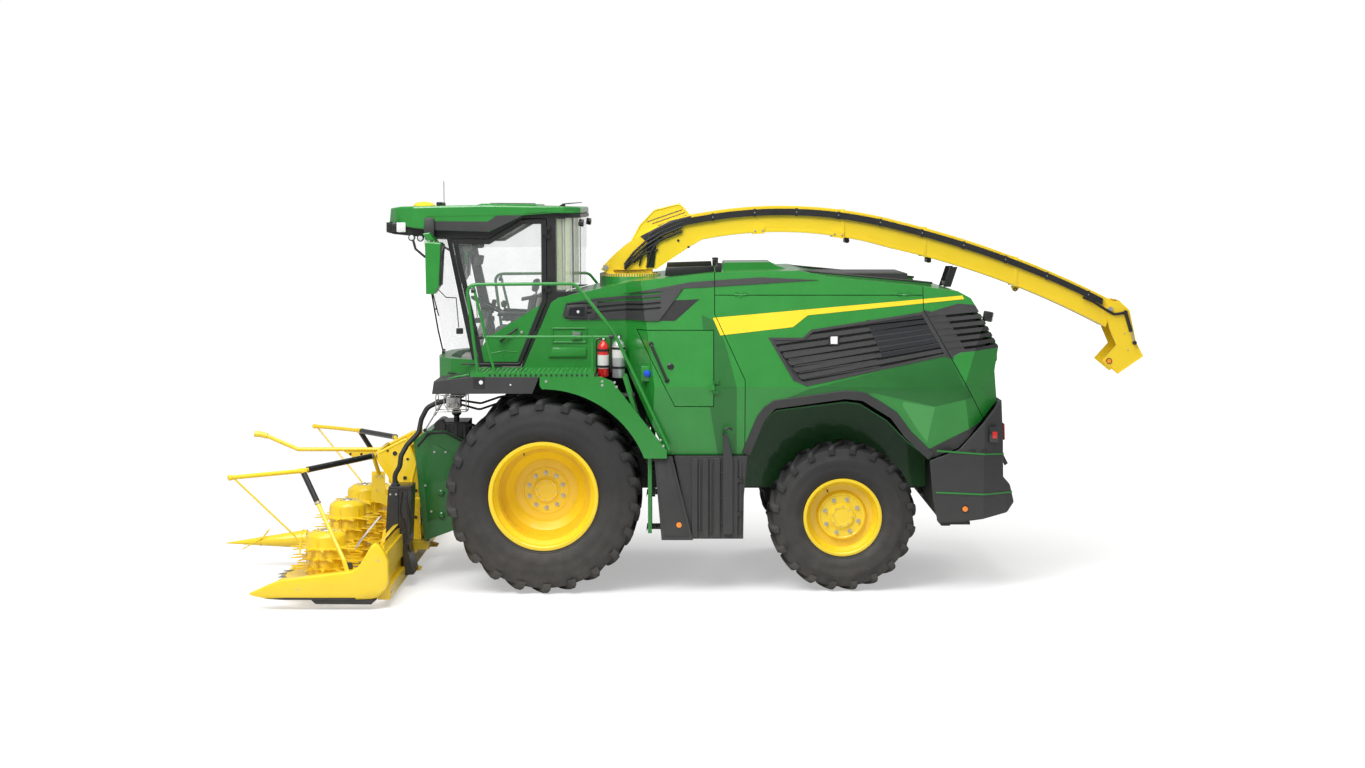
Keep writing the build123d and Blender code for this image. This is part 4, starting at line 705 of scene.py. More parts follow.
red_lens = finish(
    "red_lens", (0.55, 0.008, 0.008), (0.62, 0.012, 0.012), (0.12, 0.18), 700, 0.0006, 0.2, coat=1.0,
    dust=0.0,
)
lamp_lens = finish(
    "lamp_lens", (0.78, 0.8, 0.82), (0.86, 0.87, 0.88), (0.08, 0.14), 500, 0.0008, 0.2, coat=1.0, dust=0.0,
)
mirror_glass = finish(
    "mirror_glass", (0.82, 0.84, 0.86), (0.84, 0.86, 0.88), (0.02, 0.04), 30, 0.0001, 1.0, metal=1.0,
    dust=0.0,
)
screen_glass = finish(
    "screen_glass", (0.008, 0.009, 0.012), (0.012, 0.013, 0.017), (0.06, 0.1), 60, 0.0001, 1.0, coat=1.0,
    dust=0.0,
)
blue_cap = finish(
    "blue_cap", (0.01, 0.06, 0.62), (0.015, 0.08, 0.7), (0.35, 0.45), 400, 0.0004, 0.6, dust=0.0,
)

# %% [markdown]
# Cab windows are toughened glass with a slight green-grey tint. Real refraction in a pane ten
# millimetres thick hardly shows, but it would darken the cab, so the pane is mostly transparent
# and keeps only its tint and its mirror-like surface.

# %% Glass


def window_finish(name, tint, opacity):
    """Clear window glass with a tint."""
    material, shader = new_material(name)
    tree = material.node_tree
    haze = tree.nodes.new("ShaderNodeGroup")
    haze.node_tree = uneven
    haze.inputs["Scale"].default_value = 2.5
    haze.inputs["Low"].default_value = opacity
    haze.inputs["High"].default_value = opacity + 0.05
    connect(tree, (haze, "Value", shader, "Alpha"))
    shader.inputs["Base Color"].default_value = (*tint, 1)
    shader.inputs["Roughness"].default_value = 0.03
    shader.inputs["Coat Weight"].default_value = 1.0
    shader.inputs["Coat Roughness"].default_value = 0.02
    return material


clear_glass = window_finish("clear_glass", (0.62, 0.66, 0.66), 0.07)
tinted_glass = window_finish("tinted_glass", (0.62, 0.72, 0.42), 0.42)

# %% [markdown]
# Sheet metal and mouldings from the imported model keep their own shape. Each gets its finish by
# name. Two modifiers soften it: Weld joins its loose triangles, and Bevel rounds each edge that
# is sharper than thirty degrees, which is what makes a panel catch the light along its folds.

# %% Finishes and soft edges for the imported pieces
NODE_FINISH = {
    green_paint: [
        "centre_body", "platforms_and_fenders", "hood_top", "tail_body", "cab_base", "cab_roof",
        "cab_door_panel",
        "side_door_left", "side_door_right", "service_door_left", "service_door_right", "cab_mirrors",
    ],
    # Wheel liners and feed housing get the darker copy of the green: painted shade.
    green_painted_shade: ["wheel_liners", "feed_housing"],
    yellow_paint: ["header_frame", "spout_base", "spout_duct", "spout_flap"],
    dark_plastic: [
        "body_louvres", "lower_side_boxes", "rear_bumper", "side_grille_left", "side_grille_right",
    ],
    black_paint: [
        "cab_frame", "cab_controls", "roof_aerials", "cab_door_frame", "header_drive_covers",
        "lift_cylinder_barrels", "spout_hose_guard", "spout_cradle",
    ],
    frame_paint: [
        "chassis_frame", "front_axle", "rear_axle", "chopper_housing", "body_supports", "tie_rod",
        "steering_knuckle_left", "steering_knuckle_right",
    ],
    grey_casting: ["engine_block"],
    bright_steel: ["lift_cylinder_rods"],
    clear_glass: ["cab_glass", "cab_door_glass"],
}
EDGE_WIDTH = {
    "centre_body": 0.014, "hood_top": 0.016, "tail_body": 0.014, "side_door_left": 0.014,
    "side_door_right": 0.014,
    "service_door_left": 0.006, "service_door_right": 0.006, "platforms_and_fenders": 0.005,
    "cab_roof": 0.02,
    "rear_bumper": 0.016, "cab_base": 0.006, "cab_frame": 0.005, "lower_side_boxes": 0.006,
    "feed_housing": 0.01,
    "header_frame": 0.004, "chassis_frame": 0.006, "front_axle": 0.01, "rear_axle": 0.01,
    "engine_block": 0.02,
    "chopper_housing": 0.008, "cab_mirrors": 0.012, "header_drive_covers": 0.008, "spout_cradle": 0.003,
    "cab_door_frame": 0.004, "spout_flap": 0.002, "spout_base": 0.002,
}

for material, names in NODE_FINISH.items():
    for name in names:
        node = nodes[name]
        if not node.material_slots:
            node.data.materials.append(None)
        for slot in node.material_slots:
            slot.material = material

for name, width in EDGE_WIDTH.items():
    weld = nodes[name].modifiers.new("weld", "WELD")
    weld.merge_threshold = 0.00005
    bevel = nodes[name].modifiers.new("edges", "BEVEL")
    bevel.width = width
    bevel.segments = 2
    bevel.limit_method = "ANGLE"
    bevel.angle_limit = radians(24)
    bevel.use_clamp_overlap = True
print("finished nodes", sum(len(names) for names in NODE_FINISH.values()))

# %% [markdown]
# A drive tyre for soft ground has deep bars in a herringbone: each bar starts at the middle of
# the tread, sweeps back and ends on the shoulder. One bar is modelled, then turned round the
# axle by the ring tree, once for each side of the tread, half a step apart. The carcass is a
# turned section with a bulging wall and a few fine rings, as moulds leave them.

# %% Tyres


def lug_shape(radius, tread_radius, half, width, side):
    """One tread bar for a wheel that turns round the Y axis, side -1 or 1 across the tread."""
    def build(sketch):
        rings = []
        stations = 9
        for i in range(stations):
            t = i / (stations - 1)
            across = side * (-0.012 + t * (0.99 * half + 0.012))
            back = 0.5 * half * t ** 1.25
            wide = width * (0.9 + 0.3 * t)
            top = radius - 0.012 * t**2 - (0.03 if i == stations - 1 else 0)
            foot = tread_radius - 0.012 - 0.05 * t**4
            ring = []
            for lift, share in (
                (foot, 0.62), (top - 0.008, 0.44), (top, 0.36), (top, -0.36), (top - 0.008, -0.44),
                (foot, -0.62),
            ):
                angle = (back + share * wide) / tread_radius
                ring.append((lift * cos(angle), across, lift * sin(angle)))
            rings.append(ring)
        sketch.solid(rings, None, 0.004, 1)
    return small_mesh(build)


def carcass_section(seat, flange, tread, half):
    """Half sections of the carcass, from bead over the tread to the other bead."""
    wall = seat + 0.5 * (tread - seat)
    one_side = [
        (seat + 0.003, 0.80), (flange + 0.006, 0.82), (flange + 0.02, 0.865), (flange + 0.026, 0.86),
        (flange + 0.05, 0.925), (wall - 0.05, 0.985), (wall - 0.042, 0.978), (wall, 0.995),
        (wall + 0.05, 0.99),
        (wall + 0.058, 0.98), (tread - 0.11, 0.965), (tread - 0.05, 0.925), (tread - 0.012, 0.86),
        (tread, 0.72),
        (tread + 0.002, 0.3),
    ]
    ring = [(radius, -share * half) for radius, share in one_side]
    return ring + [(radius, -distance) for radius, distance in reversed(ring)]


WHEELS = {
    "front": dict(
        x=-1.4, y=1.145, radius=1.01, half=0.355, seat=0.533, flange=0.565, disc=1.0, height=0.05,
        lugs=22, lug_width=0.062, bolts=10, circle=0.185,
    ),
    "rear": dict(
        x=1.678, y=1.08, radius=0.77, half=0.27, seat=0.381, flange=0.406, disc=1.19, height=0.042,
        lugs=20, lug_width=0.05, bolts=8, circle=0.180,
    ),
}


def make_tyre(place, side_name, side, w):
    """One tyre, in place of its plain node."""
    piece = Piece(f"dressed_tyre_{place}_{side_name}")
    centre = (w["x"], side * w["y"], w["radius"])
    tread = w["radius"] - w["height"]
    piece.turned(
        carcass_section(w["seat"], w["flange"], tread, w["half"]), centre, (0, 1, 0), tyre_rubber, 88,
    )
    step = 2 * pi / w["lugs"]
    for across, start in ((side, 0.0), (-side, -step / 2)):
        shape = lug_shape(w["radius"], tread, w["half"], w["lug_width"], across)
        in_a_ring(piece, shape, w["lugs"], centre, (0, 1, 0), tyre_rubber, start)
    piece.done(f"{side_name}_{place}_wheel", "tyre", f"{place}_tyre_{side_name}")


for place, wheel in WHEELS.items():
    for side_name, side in (("left", -1), ("right", 1)):
        make_tyre(place, side_name, side, wheel)

# %% [markdown]
# A rim is rolled from plate: two flanges, a drop centre and a welded disc that is dished
# towards the hub. Its section is turned as one closed ring, and the hub, cap, studs and nuts sit
# on it. Nuts come from the ring tree.

# %% Rims


def make_rim(place, side_name, side, w):
    """One rim with its disc, hub and nuts, in place of its plain node."""
    piece = Piece(f"dressed_rim_{place}_{side_name}")
    centre = (w["x"], side * w["y"], w["radius"])
    out = (0, side, 0)
    half = 0.82 * w["half"]
    seat, flange, wall = w["seat"], w["flange"], 0.014
    barrel = seat - 0.04
    face = w["disc"] - w["y"]
    one_half = [
        (seat - wall, half - 0.09), (seat - wall, half), (seat - 0.004, half + 0.011),
        (flange - 0.012, half + 0.013),
        (flange - 0.002, half + 0.009), (flange, half + 0.002), (flange - 0.006, half - 0.002),
        (seat + 0.004, half - 0.003),
        (seat - 0.001, half - 0.012), (seat - 0.002, half - 0.095), (barrel, half - 0.14),
    ]
    inner = [(barrel - wall, half - 0.135)] + one_half
    section = inner + [(radius, -distance) for radius, distance in reversed(inner)]
    piece.turned(section, centre, out, yellow_paint, 96)
    edge = min(face + 0.06, half - 0.15)
    bowl = 0.6 * seat
    piece.turned(
        [
            (0.07, face - 0.024), (bowl, face - 0.024), (barrel - 0.062, edge - 0.024),
            (barrel - 0.008, edge - 0.024),
            (barrel - 0.008, edge), (barrel - 0.064, edge),
            (barrel - 0.08, edge + (0.004 if face < edge else -0.004)),
            (bowl + 0.012, face), (bowl, face + 0.003), (0.27 * seat / 0.5, face + 0.004),
            (0.07, face + 0.004),
        ],
        centre, out, yellow_paint, 96,
    )
    piece.turned(
        [
            (0, face - 0.05), (0.148, face - 0.05), (0.148, face + 0.002), (0.14, face + 0.01),
            (0.128, face + 0.012),
            (0.118, face + 0.028), (0.088, face + 0.03), (0.082, face + 0.024), (0.03, face + 0.024),
            (0, face + 0.026),
        ],
        centre, out, yellow_paint, 64,
    )
    ring_radius = 1.33 * w["circle"]
    piece.turned(
        [
            (ring_radius, face + 0.002), (ring_radius, face + 0.011), (ring_radius - 0.012, face + 0.014),
            (ring_radius - 0.022, face + 0.006), (ring_radius - 0.022, face + 0.002),
        ],
        centre, out, yellow_paint, 72,
    )

    def nut(sketch):
        here = (w["circle"], side * (face + 0.003), 0)
        sketch.knob(0.024, 0.022, 0.006, 0.006, here, out, None, 16)
        sketch.turned(
            [(0, 0.006), (0.0165, 0.006), (0.0165, 0.02), (0.013, 0.024), (0, 0.024)], here, out, None, 6,
        )
        sketch.turned([(0, 0.024), (0.008, 0.024), (0.007, 0.034), (0, 0.034)], here, out, None, 10)

    in_a_ring(piece, small_mesh(nut), w["bolts"], centre, (0, 1, 0), zinc_plate, 0.3)

    def cap_screw(sketch):
        here = (0.103, side * (face + 0.029), 0)
        sketch.knob(0.008, 0.008, 0.005, 0.006, here, out, None, 6)

    in_a_ring(piece, small_mesh(cap_screw), 8, centre, (0, 1, 0), zinc_plate, 0.1)
    valve = Vector(centre) + Vector((
        0, side * (edge + 0.002), 0,
    )) + Vector((-0.5, 0, 0.86)) * (barrel - 0.03)
    piece.pipe([valve, valve + Vector((0.012, side * 0.035, -0.02))], 0.006, hose_rubber, sides=8)
    piece.done(f"{side_name}_{place}_wheel", "machine_yellow", f"{place}_rim_{side_name}")


for place, wheel in WHEELS.items():
    for side_name, side in (("left", -1), ("right", 1)):
        make_rim(place, side_name, side, wheel)

# %% [markdown]
# The body's skin is flat in the middle: it leans in above a crease and a little below it, and
# turns in at the front and rear corners. One small function gives how far out the skin is at any
# place seen from the side, so that trim, stripes and handles all sit on the metal.

# %% The skin of the body
crease_y, crease_z = 1.4, 2.13
upper_lean, lower_lean = 0.225, 0.0964


def skin(x, z):
    """How far the body's skin is from the middle, at a place seen from the side."""
    upper = crease_y - upper_lean * (z - crease_z)
    lower = crease_y - lower_lean * (crease_z - z)
    front_corner = max(0.9, 0.9 + (x + 0.56) * 5 / 3)
    rear_corner = crease_y - (x - 2.9) * 0.27 / 0.39
    return min(upper, lower, front_corner, rear_corner)


def skin_plate(piece, outline, side, near, far, material, bevel=0.002):
    """A plate that follows the skin between two distances out from it."""
    piece.solid(
        [[(x, side * (skin(x, z) + out), z) for x, z in outline] for out in (near, far)], material, bevel,
        1,
    )


def marker(piece, place):
    """A round orange marker in a black ring, on the left side."""
    piece.knob(0.031, 0.028, 0.01, 0.012, place, (0, -1, 0), orange_lens, 28)
    ring_section = [(0.031, 0), (0.038, 0), (0.037, 0.007), (0.031, 0.008)]
    piece.turned(ring_section, place, (0, -1, 0), black_paint, 28)


SIDES = (("left", -1), ("right", 1))

# %% [markdown]
# A yellow stripe runs over three panels, and a dark wedge ends the louvre band on the hood. Both are films
# on the metal, and so are patches of painted shade and painted highlight: a darker green paints the shade
# in a recess of the centre body and on a pressed facet of the side door, and a lighter green paints the
# highlight on another pressed facet.
# Each film is cut out of a copy of the panel itself: its faces are sliced along the outline's
# edges, lifted by a millimetre and given a thickness, so a film stops at every seam and moves
# with its door.

# %% Films cut from the panels
STRIPE = [
    [(0.335, 2.83), (0.413, 2.653), (1.156, 2.737), (1.31, 2.857), (1.31, 2.916)],
    [(1.31, 2.857), (2.916, 3.021), (2.898, 3.057), (1.31, 2.916)],
]
WEDGE = [
    [(-0.6, 3.062), (0.03, 3.13), (0.1, 3.192)],
    [(0.03, 3.13), (0.357, 3.146), (0.357, 3.212), (0.1, 3.192)],
    [(0.357, 3.146), (1.42, 3.214), (0.83, 3.243), (0.357, 3.212)],
]
LOUVRE_BACK = [[(-1.20, 2.80), (-0.05, 2.80), (0.20, 3.02), (-1.17, 2.96)]]
RECESS_PAINTED_SHADE = [[
    (0.145, 2.903), (0.388, 2.781), (0.488, 2.482), (0.578, 2.127), (0.58, 1.435), (0.346, 1.435),
    (0.301, 1.949),
]]
PAINTED_SHADE_FACET = [
    [(0.977, 1.971), (1.309, 2.109), (1.982, 2.274), (1.984, 2.069)],
    [(1.982, 2.274), (2.787, 2.471), (3.048, 2.034), (2.606, 1.931), (1.984, 2.069)],
]
PAINTED_HIGHLIGHT_FACET = [
    [(2.284, 1.982), (2.607, 1.922), (2.533, 1.558), (2.409, 1.726), (2.274, 1.938)],
]
TAIL_CORNER = [
    [(2.543, 1.48), (3.123, 1.78), (2.871, 1.449), (2.575, 1.387)],
    [(3.123, 1.78), (3.304, 1.975), (2.871, 1.449)],
]
GRILLE_LINK = [[(2.5, 2.91), (2.46, 2.88), (2.705, 2.44), (2.80, 2.415), (2.56, 2.9)]]

# %% [markdown]
# The function keeps only the faces that look outwards, and cuts them by a plane through each edge
# of the outline. That works for convex outlines, so a bent shape is given as several fields.

# %% Cutting a film


def film(name, node_name, side, fields, lift, thickness, material, slot):
    """A film over the part of a node's outer side that lies in convex X-Z fields."""
    source = bmesh.new()
    source.from_mesh(nodes[node_name].data)
    bmesh.ops.remove_doubles(source, verts=source.verts, dist=0.00005)
    inner = [f for f in source.faces if f.normal.y * side < 0.5 or f.calc_center_median().y * side < 0.8]
    bmesh.ops.delete(source, geom=inner, context="FACES")
    outer = [
        f for f in source.faces
        if abs(f.calc_center_median().y) < skin(f.calc_center_median().x, f.calc_center_median().z) - 0.02
    ]
    bmesh.ops.delete(source, geom=outer, context="FACES")
    piece = Piece(name)
    for field in fields:
        part = source.copy()
        middle = (sum(x for x, z in field) / len(field), sum(z for x, z in field) / len(field))
        for (x0, z0), (x1, z1) in zip(field, field[1:] + field[:1]):
            cut = Vector((z1 - z0, 0, x0 - x1))
            if cut.x * (middle[0] - x0) + cut.z * (middle[1] - z0) > 0:
                cut = -cut
            bmesh.ops.bisect_plane(
                part, geom=part.verts[:] + part.edges[:] + part.faces[:], plane_co=(x0, 0, z0),
                plane_no=cut, clear_outer=True,
            )
        if part.faces:
            for vert in part.verts:
                vert.co.y += side * lift
            bmesh.ops.solidify(part, geom=part.faces, thickness=thickness)
            bmesh.ops.recalc_face_normals(part, faces=part.faces)
            data = bpy.data.meshes.new("film")
            part.to_mesh(data)
            piece.add(data, material)
        part.free()
    source.free()
    piece.done(nodes[node_name]["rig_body"], slot)


for side_name, side in SIDES:
    door = f"side_door_{side_name}"
    for kind, panel, fields, lift, thickness, material, slot in (
        ("stripe", "centre_body", STRIPE, 0.0025, 0.002, yellow_paint, "machine_yellow"),
        ("stripe", door, STRIPE, 0.0025, 0.002, yellow_paint, "machine_yellow"),
        ("stripe", "tail_body", STRIPE, 0.0025, 0.002, yellow_paint, "machine_yellow"),
        ("wedge", "centre_body", WEDGE, 0.006, 0.005, dark_plastic, "dark_plastic"),
        ("wedge", "hood_top", WEDGE, 0.006, 0.005, dark_plastic, "dark_plastic"),
        ("louvre_back", "centre_body", LOUVRE_BACK, 0.0015, 0.001, black_paint, "dark_plastic"),
        # The next three films are painted shade and painted highlight, in darker and lighter copies of the
        # green.
        ("recess", "centre_body", RECESS_PAINTED_SHADE, 0.0015, 0.001, green_painted_shade, "body_green"),
        ("dark_facet", door, PAINTED_SHADE_FACET, 0.0015, 0.001, green_painted_shade, "body_green"),
        ("pale_facet", door, PAINTED_HIGHLIGHT_FACET, 0.0015, 0.001, green_painted_highlight, "body_green"),
        ("tail_corner", door, TAIL_CORNER, 0.004, 0.003, dark_plastic, "dark_plastic"),
        ("grille_link", door, GRILLE_LINK, 0.005, 0.004, dark_plastic, "dark_plastic"),
        ("grille_link", "tail_body", GRILLE_LINK, 0.005, 0.004, dark_plastic, "dark_plastic"),
    ):
        place = panel.split("_")[0]
        film(f"{kind}_{place}_{side_name}", panel, side, fields, lift, thickness, material, slot)

# %% [markdown]
# Black moulded trim protects the edge of the rear wheel arch. Its section is carried along the
# arch's corners: at each corner the section stands square to the bend, and the outer face
# follows the leaning skin.

# %% Arch trim
ARCH = [
    (2.545, 1.38), (2.305, 1.61), (2.155, 1.81), (2.01, 1.905), (1.865, 1.99), (1.775, 2.004),
    (1.685, 2.01),
    (1.33, 1.96), (0.975, 1.91), (0.92, 1.862), (0.865, 1.79), (0.715, 1.42),
]
trim_width = 0.088
arch_middle = Vector((1.678, 1.1))
TRIM_SECTION = [(-0.006, -0.035), (-0.006, 0.012), (0.004, 0.02), (0.94, 0.02), (1.0, 0.012), (1.0, -0.006)]


def arch_trim(side_name, side):
    """The trim round one rear arch, on its side door."""
    piece = Piece(f"arch_trim_{side_name}")
    rings = []
    for i, (x, z) in enumerate(ARCH):
        ahead = Vector(ARCH[min(i + 1, len(ARCH) - 1)]) - Vector(ARCH[max(i - 1, 0)])
        outward = Vector((-ahead.y, ahead.x)).normalized()
        if outward.dot(Vector((x, z)) - arch_middle) < 0:
            outward = -outward
        ring = []
        for share, out in TRIM_SECTION:
            place = Vector((x, z)) + outward * share * trim_width
            ring.append((place.x, side * (skin(place.x, place.y) + out), place.y))
        rings.append(ring)
    piece.solid(rings, dark_plastic)
    piece.done(f"{side_name}_side_door", "dark_plastic")


for side_name, side in SIDES:
    arch_trim(side_name, side)

# %% [markdown]
# The grille's front half is closed: only thin lines part its slats. Filler slats close the gaps there, a
# little behind the real ones, and a glossy black sheet behind the rear half paints the shade in its slots,
# so that they look deep. A small white lamp in a black surround sits on the slats.

# %% Grille, lamp and louvre details
grille_rows, slat_share = 8, 0.62


def along(first, second, share):
    """The point at a share of the way between two places."""
    return tuple(a + (b - a) * share for a, b in zip(first, second))


def grille_details(side_name, side):
    """Fillers, backing and lamp on one grille."""
    piece = Piece(f"grille_fillers_{side_name}")
    for row in range(1, grille_rows):
        low = (row - (1 - slat_share)) / grille_rows + 0.008
        high = row / grille_rows - 0.008
        left = [along((1.3, 2.16), (0.9, 2.68), s) for s in (low, high)]
        if row == grille_rows - 1:
            left = [(1.30, left[0][1] + 0.04), (1.345, left[1][1] + 0.05)]
        left = [(max(x, 0.985 + 0.02 * (grille_rows - row)), z) for x, z in left]
        right = [along((2.06, 2.29), (1.86, 2.785), s) for s in (low, high)]
        skin_plate(piece, [left[0], right[0], right[1], left[1]], side, -0.026, -0.009, dark_plastic, 0)
    # Painted shade: glossy black strips fill the rear slots.
    for row in range(1, grille_rows):
        low, high = (row + 0.24) / grille_rows, (row + 0.98) / grille_rows
        skin_plate(
            piece, [along((2.10, 2.36), (1.905, 2.805), low), along((2.70, 2.475), (2.505, 2.865), low),
                    along((2.70, 2.475), (2.505, 2.865), high), along((2.10, 2.36), (1.905, 2.805), high)],
            side, -0.004, 0.0006, screen_glass, 0,
        )
    lamp_x, lamp_z = 1.575, 2.602
    surround = [
        (lamp_x - 0.055, lamp_z - 0.05), (lamp_x + 0.05, lamp_z - 0.05), (lamp_x + 0.055, lamp_z + 0.055),
        (lamp_x - 0.05, lamp_z + 0.055),
    ]
    skin_plate(piece, surround, side, -0.01, 0.008, black_paint, 0.003)
    lens = [
        (lamp_x - 0.036, lamp_z - 0.036), (lamp_x + 0.036, lamp_z - 0.036), (lamp_x + 0.038, lamp_z + 0.04),
        (lamp_x - 0.034, lamp_z + 0.04),
    ]
    skin_plate(piece, lens, side, 0.008, 0.018, lamp_lens, 0.006)
    piece.done(f"{side_name}_side_door", "dark_plastic")


for side_name, side in SIDES:
    grille_details(side_name, side)

# %% [markdown]
# The louvre band on the hood ends in a small lamp box, with a small tubular frame below it.
# Behind the tail's louvres is a black sheet, so that no light comes through from the far side.

# %% Ends of the louvre bands
louvres = Piece("louvre_band_end")
louvres.slab(
    [(-1.2, 2.815), (-0.975, 2.80), (-0.965, 2.955), (-1.175, 2.945)], -0.924, -0.912, dark_plastic, 0.006,
)
louvres.slab(
    [(-1.165, 2.835), (-0.995, 2.825), (-0.99, 2.925), (-1.15, 2.918)], -0.9262, -0.9238, screen_glass, 0,
)
louvres.knob(0.016, 0.013, 0.01, 0.012, (-1.062, -0.925, 2.873), (0, -1, 0), lamp_lens, 20)
louvres.slab(
    [(-0.93, 2.80), (-0.87, 2.80), (-0.855, 2.985), (-0.915, 2.975)], -0.922, -0.905, dark_plastic, 0.004,
)
for x, z in ((-1.33, 2.555), (-1.33, 2.70)):
    louvres.pipe([(x, -0.905, z), (-0.98, -0.905, z)], 0.009, green_paint)
for x in (-1.33, -0.98):
    louvres.pipe([(x, -0.905, 2.555), (x, -0.905, 2.70)], 0.009, green_paint)
louvres.box((-1.13, -1.03), (-0.93, -0.9), (2.585, 2.675), green_paint, 0.006)
louvres.box((-1.12, -1.04), (-0.934, -0.929), (2.6, 2.66), grey_trim, 0.002)
louvres.slab([(-1.38, 2.40), (-0.98, 2.40), (-0.98, 2.50), (-1.33, 2.50)], -0.925, -0.9, green_paint, 0.01)
louvres.both_sides()
louvres.done("machine", "dark_plastic")

tail_fill = Piece("tail_louvre_ends")
for row in range(6):
    low = along((2.76, 2.47), (2.545, 2.86), (row + 0.33) / 6)
    high = along((2.76, 2.47), (2.545, 2.86), (row + 0.77) / 6)
    skin_plate(
        tail_fill, [low, (low[0] + 0.165, low[1] + 0.02), (high[0] + 0.165, high[1] + 0.02), high],
        -1, -0.04, -0.004, dark_plastic, 0,
    )
skin_plate(
    tail_fill, [(2.72, 2.46), (3.16, 2.52), (3.02, 2.86), (2.53, 2.89)], -1, -0.07, -0.062, black_paint, 0,
)
tail_fill.slab([(3.115, 2.80), (3.20, 2.78), (3.22, 2.885), (3.135, 2.90)], -1.20, -1.10, black_paint, 0.01)
tail_fill.slab(
    [(3.20, 2.785), (3.212, 2.784), (3.23, 2.88), (3.218, 2.882)], -1.19, -1.11, lamp_lens, 0.003,
)
tail_fill.pipe([(3.10, -1.15, 2.79), (3.14, -1.15, 2.80)], 0.012, black_paint)
tail_fill.both_sides()
tail_fill.done("machine", "dark_plastic")

# %% [markdown]
# Handles, a filler cap and small lamps are what shows a panel's true size. The service door has
# a long dark pull bar and a round latch, and a blue cap for the additive tank sits beside it.

# %% Handles, latches and caps


def service_details(side_name, side):
    """Pull bar and latch on one service door."""
    piece = Piece(f"service_handle_{side_name}")
    top, foot = (-0.296, 2.563), (-0.133, 2.195)
    route = [(x, side * (skin(x, z) + out), z) for (x, z), out in (
        (top, -0.002), (along(top, foot, 0.04), 0.03), (along(top, foot, 0.96), 0.03), (foot, -0.002),
    )]
    piece.pipe(route, 0.014, black_paint, 0.02)
    for x, z in (top, foot):
        piece.turned(
            [(0, -0.004), (0.026, -0.004), (0.022, 0.008), (0, 0.008)], (x, side * skin(x, z), z),
            (0, side, 0), black_paint, 24,
        )
    knob = (-0.097, side * skin(-0.097, 2.338), 2.338)
    piece.turned(
        [(0, -0.004), (0.034, -0.004), (0.034, 0.006), (0.022, 0.012), (0.02, 0.022), (0, 0.022)], knob,
        (0, side, 0), black_paint, 28,
    )
    piece.done(f"{side_name}_service_door", "cab_black")


for side_name, side in SIDES:
    service_details(side_name, side)

fittings = Piece("body_fittings")
cap_y = skin(-0.336, 2.261)
fittings.box((-0.40, -0.275), (-cap_y - 0.035, -cap_y + 0.12), (2.18, 2.34), green_paint, 0.012)
fittings.turned(
    [(0, 0), (0.036, 0), (0.036, 0.012), (0.03, 0.03), (0.012, 0.034), (0, 0.034)],
    (-0.337, -cap_y - 0.035, 2.262), (0, -1, 0),
    blue_cap, 32,
)
fittings.box((-0.355, -0.32), (-cap_y - 0.076, -cap_y - 0.067), (2.255, 2.269), blue_cap, 0.003)
fittings.box((0.365, 0.43), (-1.02, -0.94), (3.27, 3.37), black_paint, 0.012)
fittings.knob(0.038, 0.036, 0.018, 0.022, (0.397, -0.98, 3.365), (0, 0, 1), black_paint, 28)
fittings.slab(
    [(-0.16, 3.24), (-0.15, 3.335), (0.35, 3.35), (0.36, 3.26)], -0.835, -0.80, black_paint, 0.008,
)
# This strip in the darker copy of the green paint is painted shade.
fittings.slab([(1.24, 3.20), (1.25, 3.296), (2.62, 3.168), (2.66, 3.06)], -0.80, -0.78, green_painted_shade, 0.004)
fittings.pipe([(1.235, -0.79, 3.298), (2.64, -0.79, 3.168)], 0.013, black_paint)
fittings.both_sides()
fittings.done("machine", "cab_black")

# %% [markdown]
# The bumper is one dark moulding with two thin green lines round it, orange markers and a recess
# for the lamps. Between the lamps sits a blank plate.

# %% Bumper and lamps
bumper = Piece("bumper_trim")
line_foot, line_stand = 0.01, 0.006


def bumper_line(left, corner, back, height, drop):
    """A thin green line round the bumper at a height, lower towards the rear by a drop."""
    rings = []
    for x, y, share, push in (
        (left, 1.39, 0, Vector((0, -1))), (corner, 1.39, 0.7, Vector((0.35, -0.94))),
        (*back, 1.0, Vector((1, -0.3))), (back[0], 0.0, 1.0, Vector((1, 0))),
    ):
        z = height - drop * share
        inner_x, inner_y = x - line_foot * push.x, -y - line_foot * push.y
        outer_x, outer_y = x + line_stand * push.x, -y + line_stand * push.y
        rings.append([
            (inner_x, inner_y, z - 0.009), (outer_x, outer_y, z - 0.008),
            (outer_x, outer_y, z + 0.008), (inner_x, inner_y, z + 0.009),
        ])
    bumper.solid(rings, green_paint)


bumper_line(2.63, 3.12, (3.338, 1.235), 1.475, 0.05)
bumper_line(2.625, 3.12, (3.444, 1.157), 1.045, 0.03)
marker(bumper, (2.927, -1.39, 0.874))
bumper.solid([
    [(3.345, -1.05, 1.56), (3.345, -1.20, 1.56), (3.338, -1.20, 1.74), (3.338, -1.05, 1.74)],
    [(3.36, -1.055, 1.57), (3.36, -1.195, 1.57), (3.353, -1.195, 1.73), (3.353, -1.055, 1.73)],
], red_lens, 0.004)
bumper.box((3.34, 3.352), (-1.02, -0.94), (1.57, 1.73), orange_lens, 0.004)
bumper.slab([(3.17, 1.56), (3.26, 1.56), (3.26, 1.73), (3.17, 1.72)], -1.372, -1.27, screen_glass, 0.004)
bumper.slab([(3.20, 1.60), (3.25, 1.60), (3.25, 1.67), (3.20, 1.67)], -1.378, -1.30, red_lens, 0.004)
for x in (2.72, 2.96, 3.08):
    bumper.box((x, x + 0.07), (-1.395, -1.385), (1.465, 1.49), black_paint, 0.003)
bumper.both_sides()
for z in (0.86, 1.3):
    bumper.box(
        (3.40 if z < 1 else 3.335, 3.46 if z < 1 else 3.35), (-0.9, 0.9), (z - 0.03, z + 0.03),
        dark_plastic, 0.012,
    )
bumper.box((3.34, 3.348), (-0.26, 0.26), (1.56, 1.68), white_plastic, 0.003)
bumper.done("machine", "dark_plastic")

